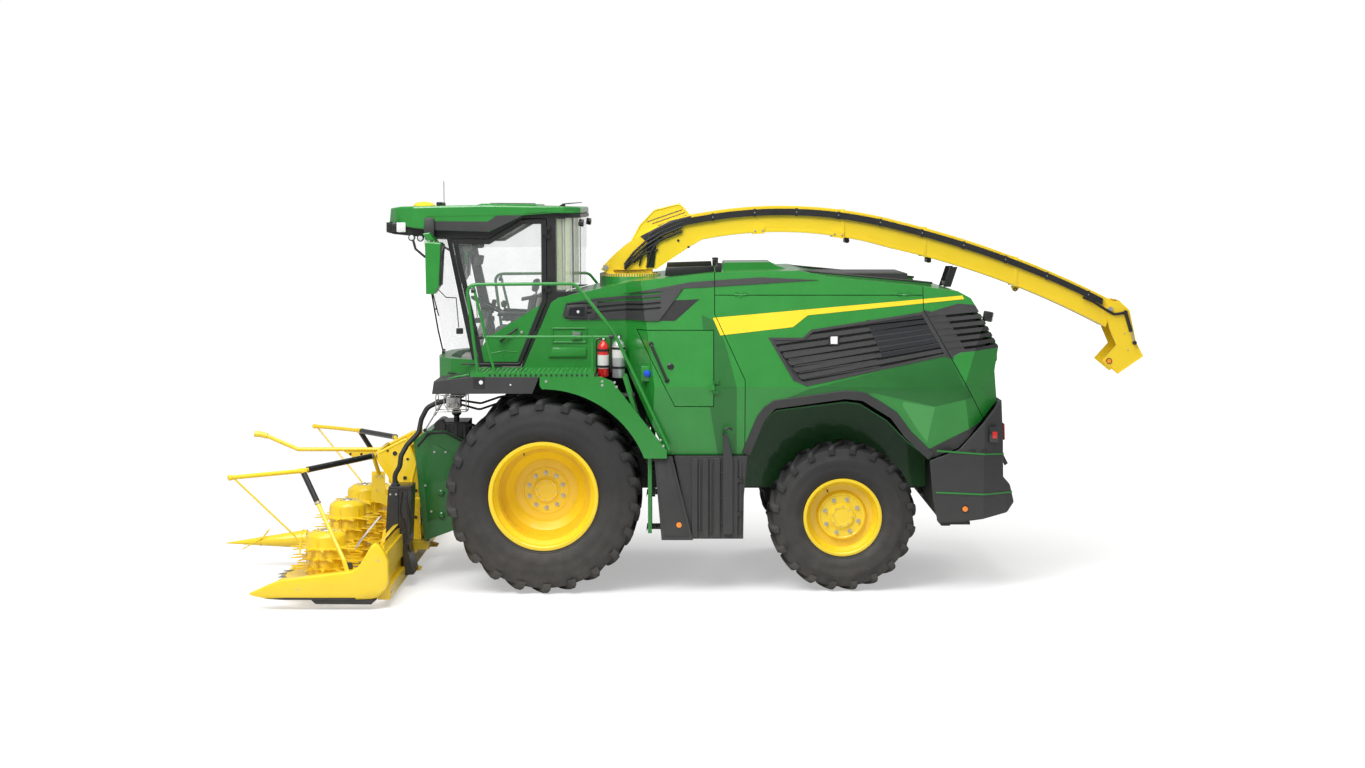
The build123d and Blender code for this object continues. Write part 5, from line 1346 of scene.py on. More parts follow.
# %% [markdown]
# The opening in the rear wall lets the cooling air out. Nine slats cross it, between two bent
# bars, and a lamp sits on each side.

# %% Rear wall
rear_wall = Piece("rear_wall_guard")


def slat(sketch):
    """One horizontal slat across the rear opening, its face to +Z."""
    sketch.box((-0.02, 0.02), (-0.78, 0.78), (0, 0.022), None, 0.005, 1)


slat_places = []
for i in range(9):
    z = 2.04 + i * 0.056
    x = 3.245 + abs(z - 2.28) * (0.09 if z < 2.28 else 0.16)
    slat_places.append(((x, 0, z), (1, 0, 0.25)))
on_places(rear_wall, small_mesh(slat), slat_places, dark_plastic)
for y in (-0.8, 0.8):
    rear_wall.pipe([(3.27, y, 2.0), (3.25, y, 2.28), (3.29, y, 2.51)], 0.016, black_paint, 0.1)
for y in (-0.95, 0.95):
    rear_wall.box((3.25, 3.29), (y - 0.07, y + 0.07), (2.36, 2.44), black_paint, 0.012)
    rear_wall.box((3.288, 3.298), (y - 0.055, y + 0.055), (2.37, 2.43), lamp_lens, 0.004)
rear_wall.done("machine", "dark_plastic")

# %% [markdown]
# The boxes between the axles are rotationally moulded: tanks and a tool locker with deep ribs,
# latches and an orange marker.

# %% Lower boxes
boxes = Piece("lower_box_details")
marker(boxes, (-0.011, -1.45, 0.718))
for x, z0, z1 in ((0.20, 0.66, 1.32), (0.315, 0.62, 1.36), (0.62, 0.62, 1.36)):
    boxes.box((x - 0.012, x + 0.012), (-1.412, -1.39), (z0, z1), dark_plastic, 0.005)
for z in (0.72, 0.98, 1.24):
    boxes.box((0.40, 0.52), (-1.408, -1.392), (z, z + 0.018), dark_plastic, 0.004)
for z in (0.80, 1.15):
    boxes.box((0.585, 0.64), (-1.425, -1.395), (z, z + 0.05), black_paint, 0.006)
boxes.pipe(
    [(0.44, -1.44, 1.64), (0.45, -1.455, 1.70), (0.50, -1.455, 1.72), (0.53, -1.43, 1.70)], 0.009,
    black_paint, 0.02,
)
boxes.slab([(-0.24, 1.40), (-0.10, 1.40), (0.09, 0.60), (-0.16, 0.60)], -1.456, -1.448, dark_plastic, 0.006)
boxes.slab([(-0.06, 0.60), (0.09, 0.60), (0.08, 0.68), (-0.06, 0.68)], -1.40, -1.36, dark_plastic, 0.006)
boxes.both_sides()
boxes.done("machine", "dark_plastic")

# %% [markdown]
# Daylight would shine through the eight millimetre seams from the far side. Real bodies have
# rubber seals and frames behind them, so a strip follows each seam just behind the panels.

# %% Seals behind the seams
SEAMS = [
    ([(0.355, 3.24), (0.355, 2.87), (0.665, 2.2), (0.665, 1.32)], black_paint),
    ([(2.495, 3.10), (2.495, 2.92), (3.12, 1.8), (3.40, 1.30)], black_paint),
    ([(0.355, 3.06), (2.495, 3.06)], green_paint),
]
seals = Piece("seam_seals")
for line, material in SEAMS:
    for (x0, z0), (x1, z1) in zip(line, line[1:]):
        ahead = Vector((x1 - x0, z1 - z0)).normalized() * 0.022
        across = Vector((-ahead.y, ahead.x))
        outline = [
            (x0 - ahead.x + across.x, z0 - ahead.y + across.y),
            (x1 + ahead.x + across.x, z1 + ahead.y + across.y),
            (x1 + ahead.x - across.x, z1 + ahead.y - across.y),
            (x0 - ahead.x - across.x, z0 - ahead.y - across.y),
        ]
        skin_plate(seals, outline, -1, -0.054, -0.049, material, 0)
seals.slab([(-1.45, 2.99), (-1.345, 2.99), (-1.345, 3.84), (-1.45, 3.84)], -0.826, -0.82, black_paint, 0)
seals.both_sides()
seals.done("machine", "dark_plastic")

# %% [markdown]
# Handrails are bent steel tube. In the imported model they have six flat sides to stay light, so
# they are made again as round pipes on the same route, with feet welded on. The ladder's treads
# are pressed channels with punched, raised holes: one stud is copied onto a grid of places.

# %% Handrails and ladder
rail_y = 1.45
rails = Piece("round_handrails")
rails.pipe(
    [(-2.055, -rail_y, 2.285), (-2.165, -rail_y, 3.18), (-1.065, -rail_y, 3.19), (-0.685, -rail_y, 2.72),
     (-0.48, -rail_y, 2.29), (-0.11, -rail_y - 0.025, 1.5)], 0.017, green_paint, 0.10, 14,
)
rails.pipe([(-1.885, -rail_y, 2.285), (-2.095, -rail_y, 3.175)], 0.015, green_paint)
rails.pipe([(-2.02, -rail_y, 2.65), (-0.69, -rail_y, 2.65)], 0.014, green_paint)
rails.pipe([(-0.89, -rail_y, 2.29), (-0.89, -rail_y, 2.66)], 0.014, green_paint)
for x in (-2.055, -1.885, -0.89):
    rails.box((x - 0.03, x + 0.03), (-rail_y - 0.03, -rail_y + 0.03), (2.288, 2.297), green_paint, 0.002)
for x, z in ((-2.02, 2.65), (-0.70, 2.65), (-2.095, 3.12)):
    rails.band(0.018, 0.024, -0.02, 0.02, (x, -rail_y, z), (1, 0, 0.1), black_paint, 20)
TREADS = ((-0.345, 0.64), (-0.345, 1.0), (-0.345, 1.35), (-0.47, 1.69), (-0.62, 2.01))
tread_depth = 0.15
tread_y = (-1.38, -1.05)
for x, z in TREADS:
    rails.box((x, x + tread_depth), tread_y, (z + 0.022, z + 0.028), dark_plastic, 0.001)
    for edge in (x, x + tread_depth - 0.006):
        rails.box((edge, edge + 0.006), tread_y, (z, z + 0.03), dark_plastic, 0.001)


def stud(sketch):
    """A punched stud with a raised rim."""
    sketch.turned([(0.005, 0), (0.011, 0), (0.008, 0.004), (0.005, 0.004)], (0, 0, 0), (0, 0, 1), None, 8)


stud_places = []
for x, z in TREADS:
    for i in range(4):
        for j in range(8):
            stud_places.append((
                (x + 0.025 + i * 0.034, tread_y[0] + 0.03 + j * 0.039, z + 0.0275), (0, 0, 1),
            ))
on_places(rails, small_mesh(stud), stud_places, dark_plastic)
for y in (-1.062, -1.386):
    rails.slab(
        [
            (-0.33, 0.62), (-0.33, 1.38), (-0.44, 1.74), (-0.59, 2.24), (-0.55, 2.24), (-0.40, 1.74),
            (-0.29, 1.38), (-0.29, 0.62),
        ],
        y, y + 0.01, green_paint, 0.002,
    )
rails.both_sides()
rails.done("machine", "body_green", "handrails")

# %% [markdown]
# The deck is a folded plate. Its top has rows of anti-slip studs, its outer edge a row of
# drain notches, and the fender is bolted to it with pale screws.

# %% Deck details
deck = Piece("deck_details")
deck_places = [
    ((-2.08 + i * 0.048, -1.46 + j * 0.055, 2.2895), (0, 0, 1)) for i in range(25) for j in range(10)
]
on_places(deck, small_mesh(stud), deck_places, green_paint)


def notch(sketch):
    """A black block that stands for a drain notch in the deck's edge: its darkness is painted shade."""
    sketch.box((-0.009, 0.009), (-0.011, 0.011), (0, 0.003), None, 0)


# The drain notches are black blocks: painted shade.
on_places(
    deck, small_mesh(notch), [((-1.93 + i * 0.052, -1.5, 2.262), (0, -1, 0)) for i in range(20)],
    black_paint,
)
bolts = [
    (-0.79, 2.20), (-0.79, 2.16), (-0.665, 2.19), (-0.645, 2.145), (-0.20, 1.60), (-0.17, 1.54),
    (-1.36, 2.20),
]
on_places(deck, bolt_head(0.009, 0.008), [((x, -1.5, z), (0, -1, 0)) for x, z in bolts], zinc_plate)
deck.knob(0.024, 0.02, 0.01, 0.012, (-2.02, -1.5, 2.19), (0, -1, 0), lamp_lens, 24)
deck.turned(
    [(0.024, 0), (0.034, 0), (0.032, 0.008), (0.024, 0.01)], (-2.02, -1.5, 2.19), (0, -1, 0), black_paint,
    24,
)
deck.knob(0.009, 0.008, 0.006, 0.007, (-1.72, -1.5, 2.165), (0, -1, 0), lamp_lens, 16)
deck.box((-2.10, -1.98), (-1.503, -1.497), (2.125, 2.245), black_paint, 0.004)
deck.pipe([(-2.48, -1.30, 2.16), (-2.30, -1.46, 2.235), (-2.14, -1.49, 2.27)], 0.012, green_paint, 0.05)
deck.both_sides()
deck.done("machine", "body_green")

# %% [markdown]
# Two fire extinguishers stand on the deck: one red with a bare white band, one in silver. A
# bottle is a turned form with a rolled base, domed shoulders and a neck, and its valve has a
# lever, a gauge and a hose that hangs in an arc.

# %% Fire extinguishers
bottles = Piece("extinguisher_bottles")
for x, radius, low, high, skin_finish, band in (
    (-0.80, 0.058, 2.20, 2.54, red_enamel, (2.29, 2.43)),
    (-0.64, 0.066, 2.19, 2.56, silver_enamel, (2.40, 2.52)),
):
    y = -0.9 - radius - 0.02
    shell = [
        (0, low + 0.008), (radius - 0.016, low), (radius - 0.003, low + 0.004), (radius, low + 0.016),
        (radius, high - 0.03), (radius - 0.012, high), (0.028, high + 0.022), (0.02, high + 0.03),
        (0.02, high + 0.045), (0, high + 0.045),
    ]
    bottles.turned(shell, (x, y, 0), (0, 0, 1), skin_finish, 40)
    bottles.band(radius - 0.002, radius + 0.0012, band[0], band[1], (x, y, 0), (0, 0, 1), white_plastic, 40,
    )
    top = high + 0.045
    bottles.box((x - 0.02, x + 0.03), (y - 0.014, y + 0.014), (top - 0.004, top + 0.03), black_paint, 0.004)
    bottles.pipe(
        [(x + 0.02, y, top + 0.024), (x - 0.03, y, top + 0.034), (x - 0.055, y, top + 0.012)], 0.006,
        red_enamel if band[0] < 2.35 else black_paint, 0.02, 8,
    )
    bottles.knob(0.013, 0.013, 0.008, 0.009, (x + 0.004, y - 0.013, top + 0.014), (0, -1, 0), lamp_lens, 20)
    bottles.pipe(
        [
            (x - 0.02, y, top + 0.012), (x - radius - 0.012, y - 0.01, top),
            (x - radius - 0.014, y - 0.01, low + 0.12), (x - radius - 0.012, y - 0.01, low + 0.06),
        ],
        0.008, hose_rubber, 0.05, 10,
    )
    for z in (low + 0.11, high - 0.06):
        bottles.band(
            radius + 0.0015, radius + 0.004, z - 0.012, z + 0.012, (x, y, 0), (0, 0, 1), black_paint, 40,
        )
        bottles.box((x - 0.03, x + 0.03), (-0.93, -0.9), (z - 0.014, z + 0.014), black_paint, 0.003)
bottles.done("machine", "safety_red", "fire_extinguishers")

# %% [markdown]
# The seat is the one soft part of the machine. Its cushion, back and headrest are foam under
# woven cloth. Two wave textures cross as weft and warp, and a noise makes the cloth look worn.

# %% Woven cloth for the seat
seat_cloth, cloth_shader = new_material("seat_cloth")
cloth_tree = cloth_shader.id_data
cloth_where = cloth_tree.nodes.new("ShaderNodeTexCoord")
weft = cloth_tree.nodes.new("ShaderNodeTexWave")
weft.bands_direction = "Y"
weft.inputs["Scale"].default_value = 160
warp = cloth_tree.nodes.new("ShaderNodeTexWave")
warp.bands_direction = "DIAGONAL"
warp.inputs["Scale"].default_value = 120
weave = cloth_tree.nodes.new("ShaderNodeMath")
weave.operation = "MAXIMUM"
weave_bump = cloth_tree.nodes.new("ShaderNodeBump")
weave_bump.inputs["Strength"].default_value = 0.5
weave_bump.inputs["Distance"].default_value = 0.0008
worn = cloth_tree.nodes.new("ShaderNodeTexNoise")
worn.inputs["Scale"].default_value = 9
worn.inputs["Detail"].default_value = 6
tones = cloth_tree.nodes.new("ShaderNodeMix")
tones.data_type = "RGBA"
tones.inputs["A"].default_value = (0.085, 0.087, 0.09, 1)
tones.inputs["B"].default_value = (0.15, 0.15, 0.152, 1)
for texture in (weft, warp, worn):
    connect(cloth_tree, (cloth_where, "Object", texture, "Vector"))
connect(
    cloth_tree, (weft, "Fac", weave, 0), (warp, "Fac", weave, 1), (weave, 0, weave_bump, "Height"),
    (weave_bump, "Normal", cloth_shader, "Normal"), (worn, "Fac", tones, "Factor"),
    (tones, "Result", cloth_shader, "Base Color"),
)
cloth_shader.inputs["Roughness"].default_value = 0.92
cloth_shader.inputs["Sheen Weight"].default_value = 0.25
cloth_shader.inputs["Specular IOR Level"].default_value = 0.2

# %% [markdown]
# A pad has sewn channels where its cloth is tied down. Each starts as a slightly small block, is
# remeshed evenly and then blown up a little by a cloth simulation, while the threads along its
# channels are pinned. The block's moves are capped, so the pad keeps its size.

# %% Pads
pad_frames = 20


def pad(name, outline, half_width, channels, cap, voxel=0.006):
    """A stuffed pad: an X-Z outline across the seat, pinned along lines of equal Y or across them."""
    raw = Piece(name)
    raw.slab(outline, -half_width, half_width, seat_cloth, 0.03, 4)
    made = raw.done("machine", "seat_fabric")
    remesh = made.modifiers.new("even", "REMESH")
    remesh.mode = "VOXEL"
    remesh.voxel_size = voxel
    apply_modifiers(made)
    rest = [vert.co.copy() for vert in made.data.vertices]
    pinned = made.vertex_groups.new(name="seams")
    for i, place in enumerate(rest):
        if any(abs(place[axis] - at) < 0.007 for axis, at in channels):
            pinned.add([i], 1.0, "REPLACE")
    cloth = made.modifiers.new("cloth", "CLOTH")
    cloth.settings.quality = 4
    cloth.settings.mass = 0.3
    cloth.settings.tension_stiffness = 20
    cloth.settings.compression_stiffness = 20
    cloth.settings.bending_stiffness = 0.6
    cloth.settings.use_pressure = True
    cloth.settings.uniform_pressure_force = 4
    cloth.settings.vertex_group_mass = "seams"
    cloth.settings.effector_weights.gravity = 0
    for frame_number in range(1, pad_frames + 1):
        bpy.context.scene.frame_set(frame_number)
    apply_modifiers(made)
    for vert, place in zip(made.data.vertices, rest):
        move = vert.co - place
        if move.length > cap:
            vert.co = place + move.normalized() * cap
    bpy.context.scene.frame_set(1)
    for polygon in made.data.polygons:
        polygon.use_smooth = True
    print(name, len(made.data.polygons), "faces")
    return made


def apply_modifiers(thing):
    """Bake what the modifiers make into the mesh."""
    evaluated = thing.evaluated_get(bpy.context.evaluated_depsgraph_get())
    baked = bpy.data.meshes.new_from_object(evaluated)
    thing.modifiers.clear()
    old = thing.data
    thing.data = baked
    bpy.data.meshes.remove(old)


pad(
    "seat_cushion", [(-2.0, 2.575), (-1.66, 2.56), (-1.63, 2.655), (-1.99, 2.675)], 0.235,
    [(1, -0.14), (1, 0.14), (0, -1.9)], 0.016,
)
pad(
    "seat_back", [(-1.685, 2.675), (-1.61, 2.67), (-1.545, 3.0), (-1.625, 3.01)], 0.215,
    [(1, -0.13), (1, 0.13), (2, 2.86)], 0.016,
)
pad(
    "seat_headrest", [(-1.615, 3.05), (-1.55, 3.04), (-1.525, 3.175), (-1.59, 3.185)], 0.13, [(1, 0.0)],
    0.012, 0.005,
)

# %% [markdown]
# Under the pads are a shell and an air-sprung pedestal in rubber bellows. The bellows are one
# six-cornered fold that a loop stacks five times.

# %% Seat frame
seat_frame = Piece("seat_frame")
seat_frame.slab(
    [(-2.0, 2.545), (-1.64, 2.53), (-1.63, 2.555), (-1.99, 2.572)], -0.22, 0.22, pale_trim, 0.008,
)
seat_frame.slab(
    [(-1.615, 2.62), (-1.585, 2.62), (-1.505, 3.02), (-1.535, 3.03)], -0.2, 0.2, pale_trim, 0.01,
)
seat_frame.slab([(-1.94, 2.21), (-1.70, 2.21), (-1.70, 2.26), (-1.93, 2.26)], -0.17, 0.17, pale_trim, 0.01)
for i in range(5):
    z = 2.265 + i * 0.053
    seat_frame.slab(
        [
            (-1.915, z), (-1.715, z), (-1.70, z + 0.026), (-1.715, z + 0.052), (-1.915, z + 0.052),
            (-1.93, z + 0.026),
        ],
        -0.15, 0.15, pale_trim if i % 2 else grey_trim, 0.004,
    )
for y in (-0.075, 0.075):
    seat_frame.pipe([(-1.575, y, 2.98), (-1.56, y, 3.08)], 0.007, zinc_plate)
for side in (-1, 1):
    seat_frame.sheet(
        [(-1.97, 2.79), (-1.66, 2.79), (-1.64, 2.83), (-1.95, 2.845)], side * 0.29, 0.032, black_paint,
        0.014,
    )
    seat_frame.pipe([(-1.60, side * 0.235, 2.70), (-1.66, side * 0.285, 2.80)], 0.016, grey_trim)
seat_frame.done("machine", "dark_plastic", "operator_seat")

# %% [markdown]
# The steering wheel is a thick ring on a sloping column, with three flattened spokes. To its
# right are the arm with the drive lever and the screens, so that the driver's left hand steers.

# %% Steering wheel and console
controls = Piece("steering_and_console")
wheel_centre = Vector((-2.1, 0, 2.9))
wheel_axis = Vector((0.45, 0, 0.9)).normalized()
grip = [(0.186 + 0.014 * cos(2 * pi * i / 12), 0.014 * sin(2 * pi * i / 12)) for i in range(12)]
controls.turned(grip, wheel_centre, wheel_axis, black_paint, 64)
controls.turned(
    [(0, -0.045), (0.05, -0.045), (0.062, -0.02), (0.05, 0.0), (0, 0.006)], wheel_centre, wheel_axis,
    black_paint, 32,
)
across = Vector((0, 1, 0))
upward = wheel_axis.cross(across)
for angle in (radians(90), radians(210), radians(330)):
    spoke = across * cos(angle) + upward * sin(angle)
    controls.pipe(
        [wheel_centre + spoke * 0.03 - wheel_axis * 0.02, wheel_centre + spoke * 0.178], 0.011, grey_trim,
        squash=0.6,
    )
controls.slab(
    [(-2.33, 2.215), (-2.215, 2.215), (-2.145, 2.52), (-2.09, 2.80), (-2.13, 2.82), (-2.23, 2.56)], -0.055,
    0.055, pale_trim, 0.014,
)
controls.slab([(-2.42, 2.215), (-2.18, 2.215), (-2.22, 2.36), (-2.36, 2.37)], -0.16, 0.16, pale_trim, 0.02)
controls.slab([(-2.17, 2.74), (-2.09, 2.78), (-2.12, 2.85), (-2.2, 2.82)], -0.09, 0.09, grey_trim, 0.014)
for y in (-0.1, 0.1):
    controls.sheet(
        [(-2.3, 2.26), (-2.18, 2.225), (-2.18, 2.235), (-2.3, 2.275)], y, 0.035, black_paint, 0.004,
    )
controls.slab([(-1.99, 2.70), (-1.70, 2.70), (-1.68, 2.765), (-1.97, 2.755)], 0.36, 0.46, grey_trim, 0.014)
controls.box((-1.87, -1.77), (0.375, 0.445), (2.21, 2.705), pale_trim, 0.012)
controls.pipe([(-1.93, 0.41, 2.755), (-1.955, 0.41, 2.86)], 0.011, black_paint)
controls.slab(
    [(-1.985, 2.85), (-1.935, 2.845), (-1.925, 2.915), (-1.965, 2.93), (-1.995, 2.895)], 0.385, 0.435,
    grey_trim, 0.012,
)
controls.knob(0.012, 0.01, 0.008, 0.01, (-1.985, 0.41, 2.895), (-1, 0, 0.1), lamp_lens, 16)
controls.slab(
    [(-2.12, 2.79), (-2.08, 2.78), (-2.045, 2.925), (-2.085, 2.935)], 0.37, 0.50, black_paint, 0.008,
)
controls.slab(
    [(-2.076, 2.80), (-2.074, 2.80), (-2.042, 2.916), (-2.044, 2.916)], 0.38, 0.49, screen_glass, 0,
)
for z, x in ((3.33, -2.48), (3.15, -2.44)):
    controls.slab(
        [(x, z), (x + 0.045, z), (x + 0.045, z + 0.165), (x, z + 0.165)], 0.43, 0.70, grey_trim, 0.012,
    )
    controls.box((x + 0.0445, x + 0.0465), (0.445, 0.685), (z + 0.014, z + 0.151), screen_glass, 0)
controls.pipe([(-2.415, 0.565, 3.14), (-2.42, 0.565, 3.45), (-2.50, 0.565, 3.69)], 0.014, black_paint, 0.1)
for z in (3.22, 3.40):
    controls.pipe([(-2.43, 0.565, z), (-2.415, 0.565, z)], 0.022, black_paint)
controls.slab([(-2.30, 3.30), (-2.20, 3.32), (-2.18, 3.42), (-2.28, 3.43)], 0.42, 0.52, grey_trim, 0.012)
controls.pipe([(-2.25, 0.47, 3.42), (-2.28, 0.50, 3.66)], 0.01, black_paint)
for y in (-0.62, 0.62):
    controls.box((-2.28, -2.20), (y - 0.09, y + 0.09), (3.50, 3.60), grey_trim, 0.02)
controls.slab([(-1.60, 2.215), (-1.42, 2.215), (-1.42, 2.60), (-1.50, 2.62)], -0.72, -0.34, pale_trim, 0.02)
controls.slab([(-1.56, 2.60), (-1.44, 2.60), (-1.44, 2.66), (-1.53, 2.66)], -0.70, -0.36, grey_trim, 0.02)
controls.slab(
    [(-2.45, 2.212), (-1.66, 2.212), (-1.66, 2.222), (-2.45, 2.222)], -0.76, 0.76, black_paint, 0.003,
)
controls.done("machine", "dark_plastic", "cab_controls")

# %% [markdown]
# The roof is a deep moulded shell: it holds the air unit and the loudspeakers, and lamps look
# out under its front edge. Inside it has a pale lining, a rolled sun blind and a mirror.

# %% Roof, lining and lamps
roof = Piece("roof_details")
roof.slab(
    [
        (-2.55, 3.640), (-1.985, 3.628), (-1.635, 3.83), (-1.40, 3.845), (-1.40, 3.835), (-1.63, 3.82),
        (-1.98, 3.612), (-2.55, 3.625),
    ],
    -0.79, 0.79, pale_trim, 0.003,
)
roof.band(0, 0.028, -0.52, 0.52, (-2.42, 0, 3.60), (0, 1, 0), pale_trim, 24)
roof.slab([(-2.32, 3.56), (-2.05, 3.585), (-1.98, 3.61), (-2.32, 3.615)], -0.74, -0.50, pale_trim, 0.012)
roof.slab([(-2.30, 3.50), (-2.285, 3.50), (-2.275, 3.58), (-2.29, 3.58)], -0.17, 0.17, mirror_glass, 0.003)
for y in (-0.70, -0.46, -0.22, 0.22, 0.46, 0.70):
    roof.sheet(
        [(-3.072, 3.705), (-2.99, 3.69), (-2.985, 3.785), (-3.062, 3.79)], y, 0.075, black_paint, 0.012,
    )
    roof.sheet(
        [(-3.0785, 3.716), (-3.07, 3.714), (-3.061, 3.778), (-3.0695, 3.780)], y, 0.062, lamp_lens, 0.003,
    )

# %% [markdown]
# Each side of the roof has its marker lamps, work lamps in round cups, and the bent arms of the
# mirrors, whose heads get a dark face and two glasses.

# %% Lamps and mirrors at the roof's sides
for side in (-1, 1):
    roof.box((-3.0, -2.88), (side * 0.875 - 0.015, side * 0.875 + 0.015), (3.70, 3.80), black_paint, 0.01)
    roof.box(
        (-2.945, -2.85), (side * 0.893 - 0.008, side * 0.893 + 0.008), (3.70, 3.80), white_plastic, 0.012,
    )
    roof.solid([
        [(x, side * 0.944, low), (x, side * 0.9525, low), (x, side * 0.9525, high), (x, side * 0.944, high)]
        for x, low, high in (
            (-2.60, 3.724, 3.80), (-2.53, 3.722, 3.815), (-1.998, 3.706, 3.811), (-1.95, 3.72, 3.835),
            (-1.908, 3.738, 3.87), (-1.641, 3.868, 3.89),
        )
    ], dark_plastic)
    for x, z in ((-2.79, 3.648), (-2.70, 3.642)):
        roof.turned(
            [(0, 0), (0.03, 0), (0.036, 0.02), (0.036, 0.05), (0, 0.05)], (x, side * 0.84, z),
            (0, side, -0.1), black_paint, 28,
        )
        roof.turned(
            [(0, 0.05), (0.026, 0.05), (0.022, 0.056), (0, 0.058)], (x, side * 0.84, z), (0, side, -0.1),
            lamp_lens, 28,
        )
        roof.box(
            (x - 0.01, x + 0.01), (side * 0.82 - 0.02, side * 0.82 + 0.02), (z + 0.02, z + 0.09),
            black_paint, 0.003,
        )
    roof.pipe(
        [(-2.78, side * 0.86, 3.62), (-2.74, side * 0.98, 3.53), (-2.62, side * 1.14, 3.45)], 0.013,
        black_paint, 0.06,
    )
    roof.pipe(
        [
            (-2.62, side * 0.88, 3.67), (-2.60, side * 1.0, 3.69), (-2.54, side * 1.18, 3.60),
            (-2.52, side * 1.27, 3.50),
        ],
        0.016, black_paint, 0.05,
    )
    roof.sheet(
        [(-2.64, 3.62), (-2.55, 3.62), (-2.54, 3.74), (-2.545, 3.85), (-2.64, 3.85), (-2.65, 3.74)],
        side * 0.972, 0.02, dark_plastic, 0.014,
    )
    roof.sheet(
        [(-2.426, 3.585), (-2.412, 3.584), (-2.437, 3.165), (-2.452, 3.166)], side * 1.275, 0.118,
        black_paint, 0.004,
    )
    roof.sheet(
        [(-2.4125, 3.572), (-2.409, 3.571), (-2.433, 3.295), (-2.4365, 3.296)], side * 1.275, 0.105,
        mirror_glass, 0,
    )
    roof.sheet(
        [(-2.4375, 3.28), (-2.434, 3.279), (-2.443, 3.178), (-2.4465, 3.179)], side * 1.275, 0.105,
        mirror_glass, 0,
    )
    roof.pipe(
        [(-2.50, side * 1.15, 3.13), (-2.42, side * 1.05, 3.03), (-2.33, side * 0.93, 3.02)], 0.005,
        black_paint, 0.05, 8,
    )
    roof.sheet(
        [(-2.62, 3.865), (-1.60, 3.878), (-1.10, 3.915), (-1.10, 3.922), (-1.60, 3.885), (-2.62, 3.872)],
        side * 0.9515, 0.002, green_paint, 0,
    )
    roof.pipe([(-1.05, side * 0.78, 3.83), (-1.02, side * 0.79, 3.81)], 0.012, black_paint)
    roof.turned(
        [(0, 0), (0.034, 0.004), (0.038, 0.02), (0.038, 0.055), (0, 0.055)], (-1.06, side * 0.79, 3.80),
        (1, 0, -0.15), black_paint, 28,
    )
    roof.turned(
        [(0, 0.055), (0.03, 0.055), (0.026, 0.06), (0, 0.062)], (-1.06, side * 0.79, 3.80), (1, 0, -0.15),
        lamp_lens, 28,
    )

# %% [markdown]
# On the roof stand a yellow satellite receiver in a black ring, a small black dome, a stiff rod
# aerial and the raised lid of the air unit with its ribs.

# %% Receiver, aerial and air unit
roof.turned(
    [(0, 0), (0.118, 0), (0.114, 0.03), (0.09, 0.052), (0.045, 0.062), (0, 0.064)], (-2.775, 0, 3.952),
    (0, 0, 1), yellow_paint, 64,
)
roof.band(0.112, 0.124, -0.004, 0.006, (-2.775, 0, 3.955), (0, 0, 1), black_paint, 64)
roof.turned(
    [(0, 0), (0.036, 0), (0.036, 0.035), (0.03, 0.044), (0, 0.046)], (-2.585, -0.18, 3.968), (0, 0, 1),
    black_paint, 32,
)
roof.turned(
    [(0, 0), (0.018, 0), (0.016, 0.03), (0.005, 0.045), (0, 0.045)], (-2.56, 0, 3.968), (0, 0, 1),
    black_paint, 20,
)
roof.pipe([(-2.56, 0, 4.0), (-2.56, 0, 4.235)], 0.0035, black_paint, sides=8)
roof.slab(
    [(-1.32, 3.966), (-1.27, 3.998), (-1.065, 4.012), (-1.065, 4.004), (-1.25, 3.986), (-1.24, 3.966)],
    -0.012, 0.012, black_paint, 0.003,
)
roof.slab([(-2.15, 3.978), (-1.50, 3.97), (-1.52, 3.99), (-2.10, 3.997)], -0.55, 0.55, green_paint, 0.006)
for i in range(9):
    y = -0.4 + i * 0.1
    roof.sheet(
        [(-2.02, 3.994), (-1.60, 3.99), (-1.60, 3.999), (-2.02, 4.003)], y, 0.012, dark_plastic, 0.002,
    )
roof.done("machine", "body_green", "roof_aerials")

# %% [markdown]
# A bowed windscreen bulges forward in the middle. The wiper's blade has to lie on that bow, so
# its points are computed on the glass. The rear corner panes have a tinted strip in a pale frame.

# %% Wiper, panes and door furniture


def screen_x(y, z):
    """X of the windscreen's outer side at a place seen from the front."""
    share = (z - 2.37) / (3.72 - 2.37)
    edge = -2.195 + share * (-2.469 + 2.195)
    middle = -2.56 + share * (-2.8 + 2.56)
    rise, half = edge - middle, 0.845
    bend = (half**2 + rise**2) / (2 * rise)
    return middle + bend - sqrt(bend**2 - y**2)


wiper = Piece("windscreen_wiper")
arm = [(0.02, 2.385, 0.03), (-0.06, 2.62, 0.03), (-0.22, 3.05, 0.02)]
wiper.pipe([(screen_x(y, z) - out, y, z) for y, z, out in arm], 0.009, black_paint)
blade = [(-0.36 + 0.035 * i, 2.80 + 0.065 * i) for i in range(9)]
wiper.pipe([(screen_x(y, z) - 0.007, y, z) for y, z in blade], 0.007, black_paint, sides=8)
wiper.knob(
    0.03, 0.026, 0.03, 0.034, (screen_x(0.02, 2.385) - 0.01, 0.02, 2.385), (-1, 0, 0.2), black_paint, 24,
)
for y, z in blade[1::3]:
    wiper.pipe(
        [(screen_x(y, z) - 0.018, y - 0.01, z), (screen_x(y, z) - 0.012, y + 0.012, z + 0.03)], 0.006,
        black_paint, sides=8,
    )
wiper.done("machine", "cab_black")

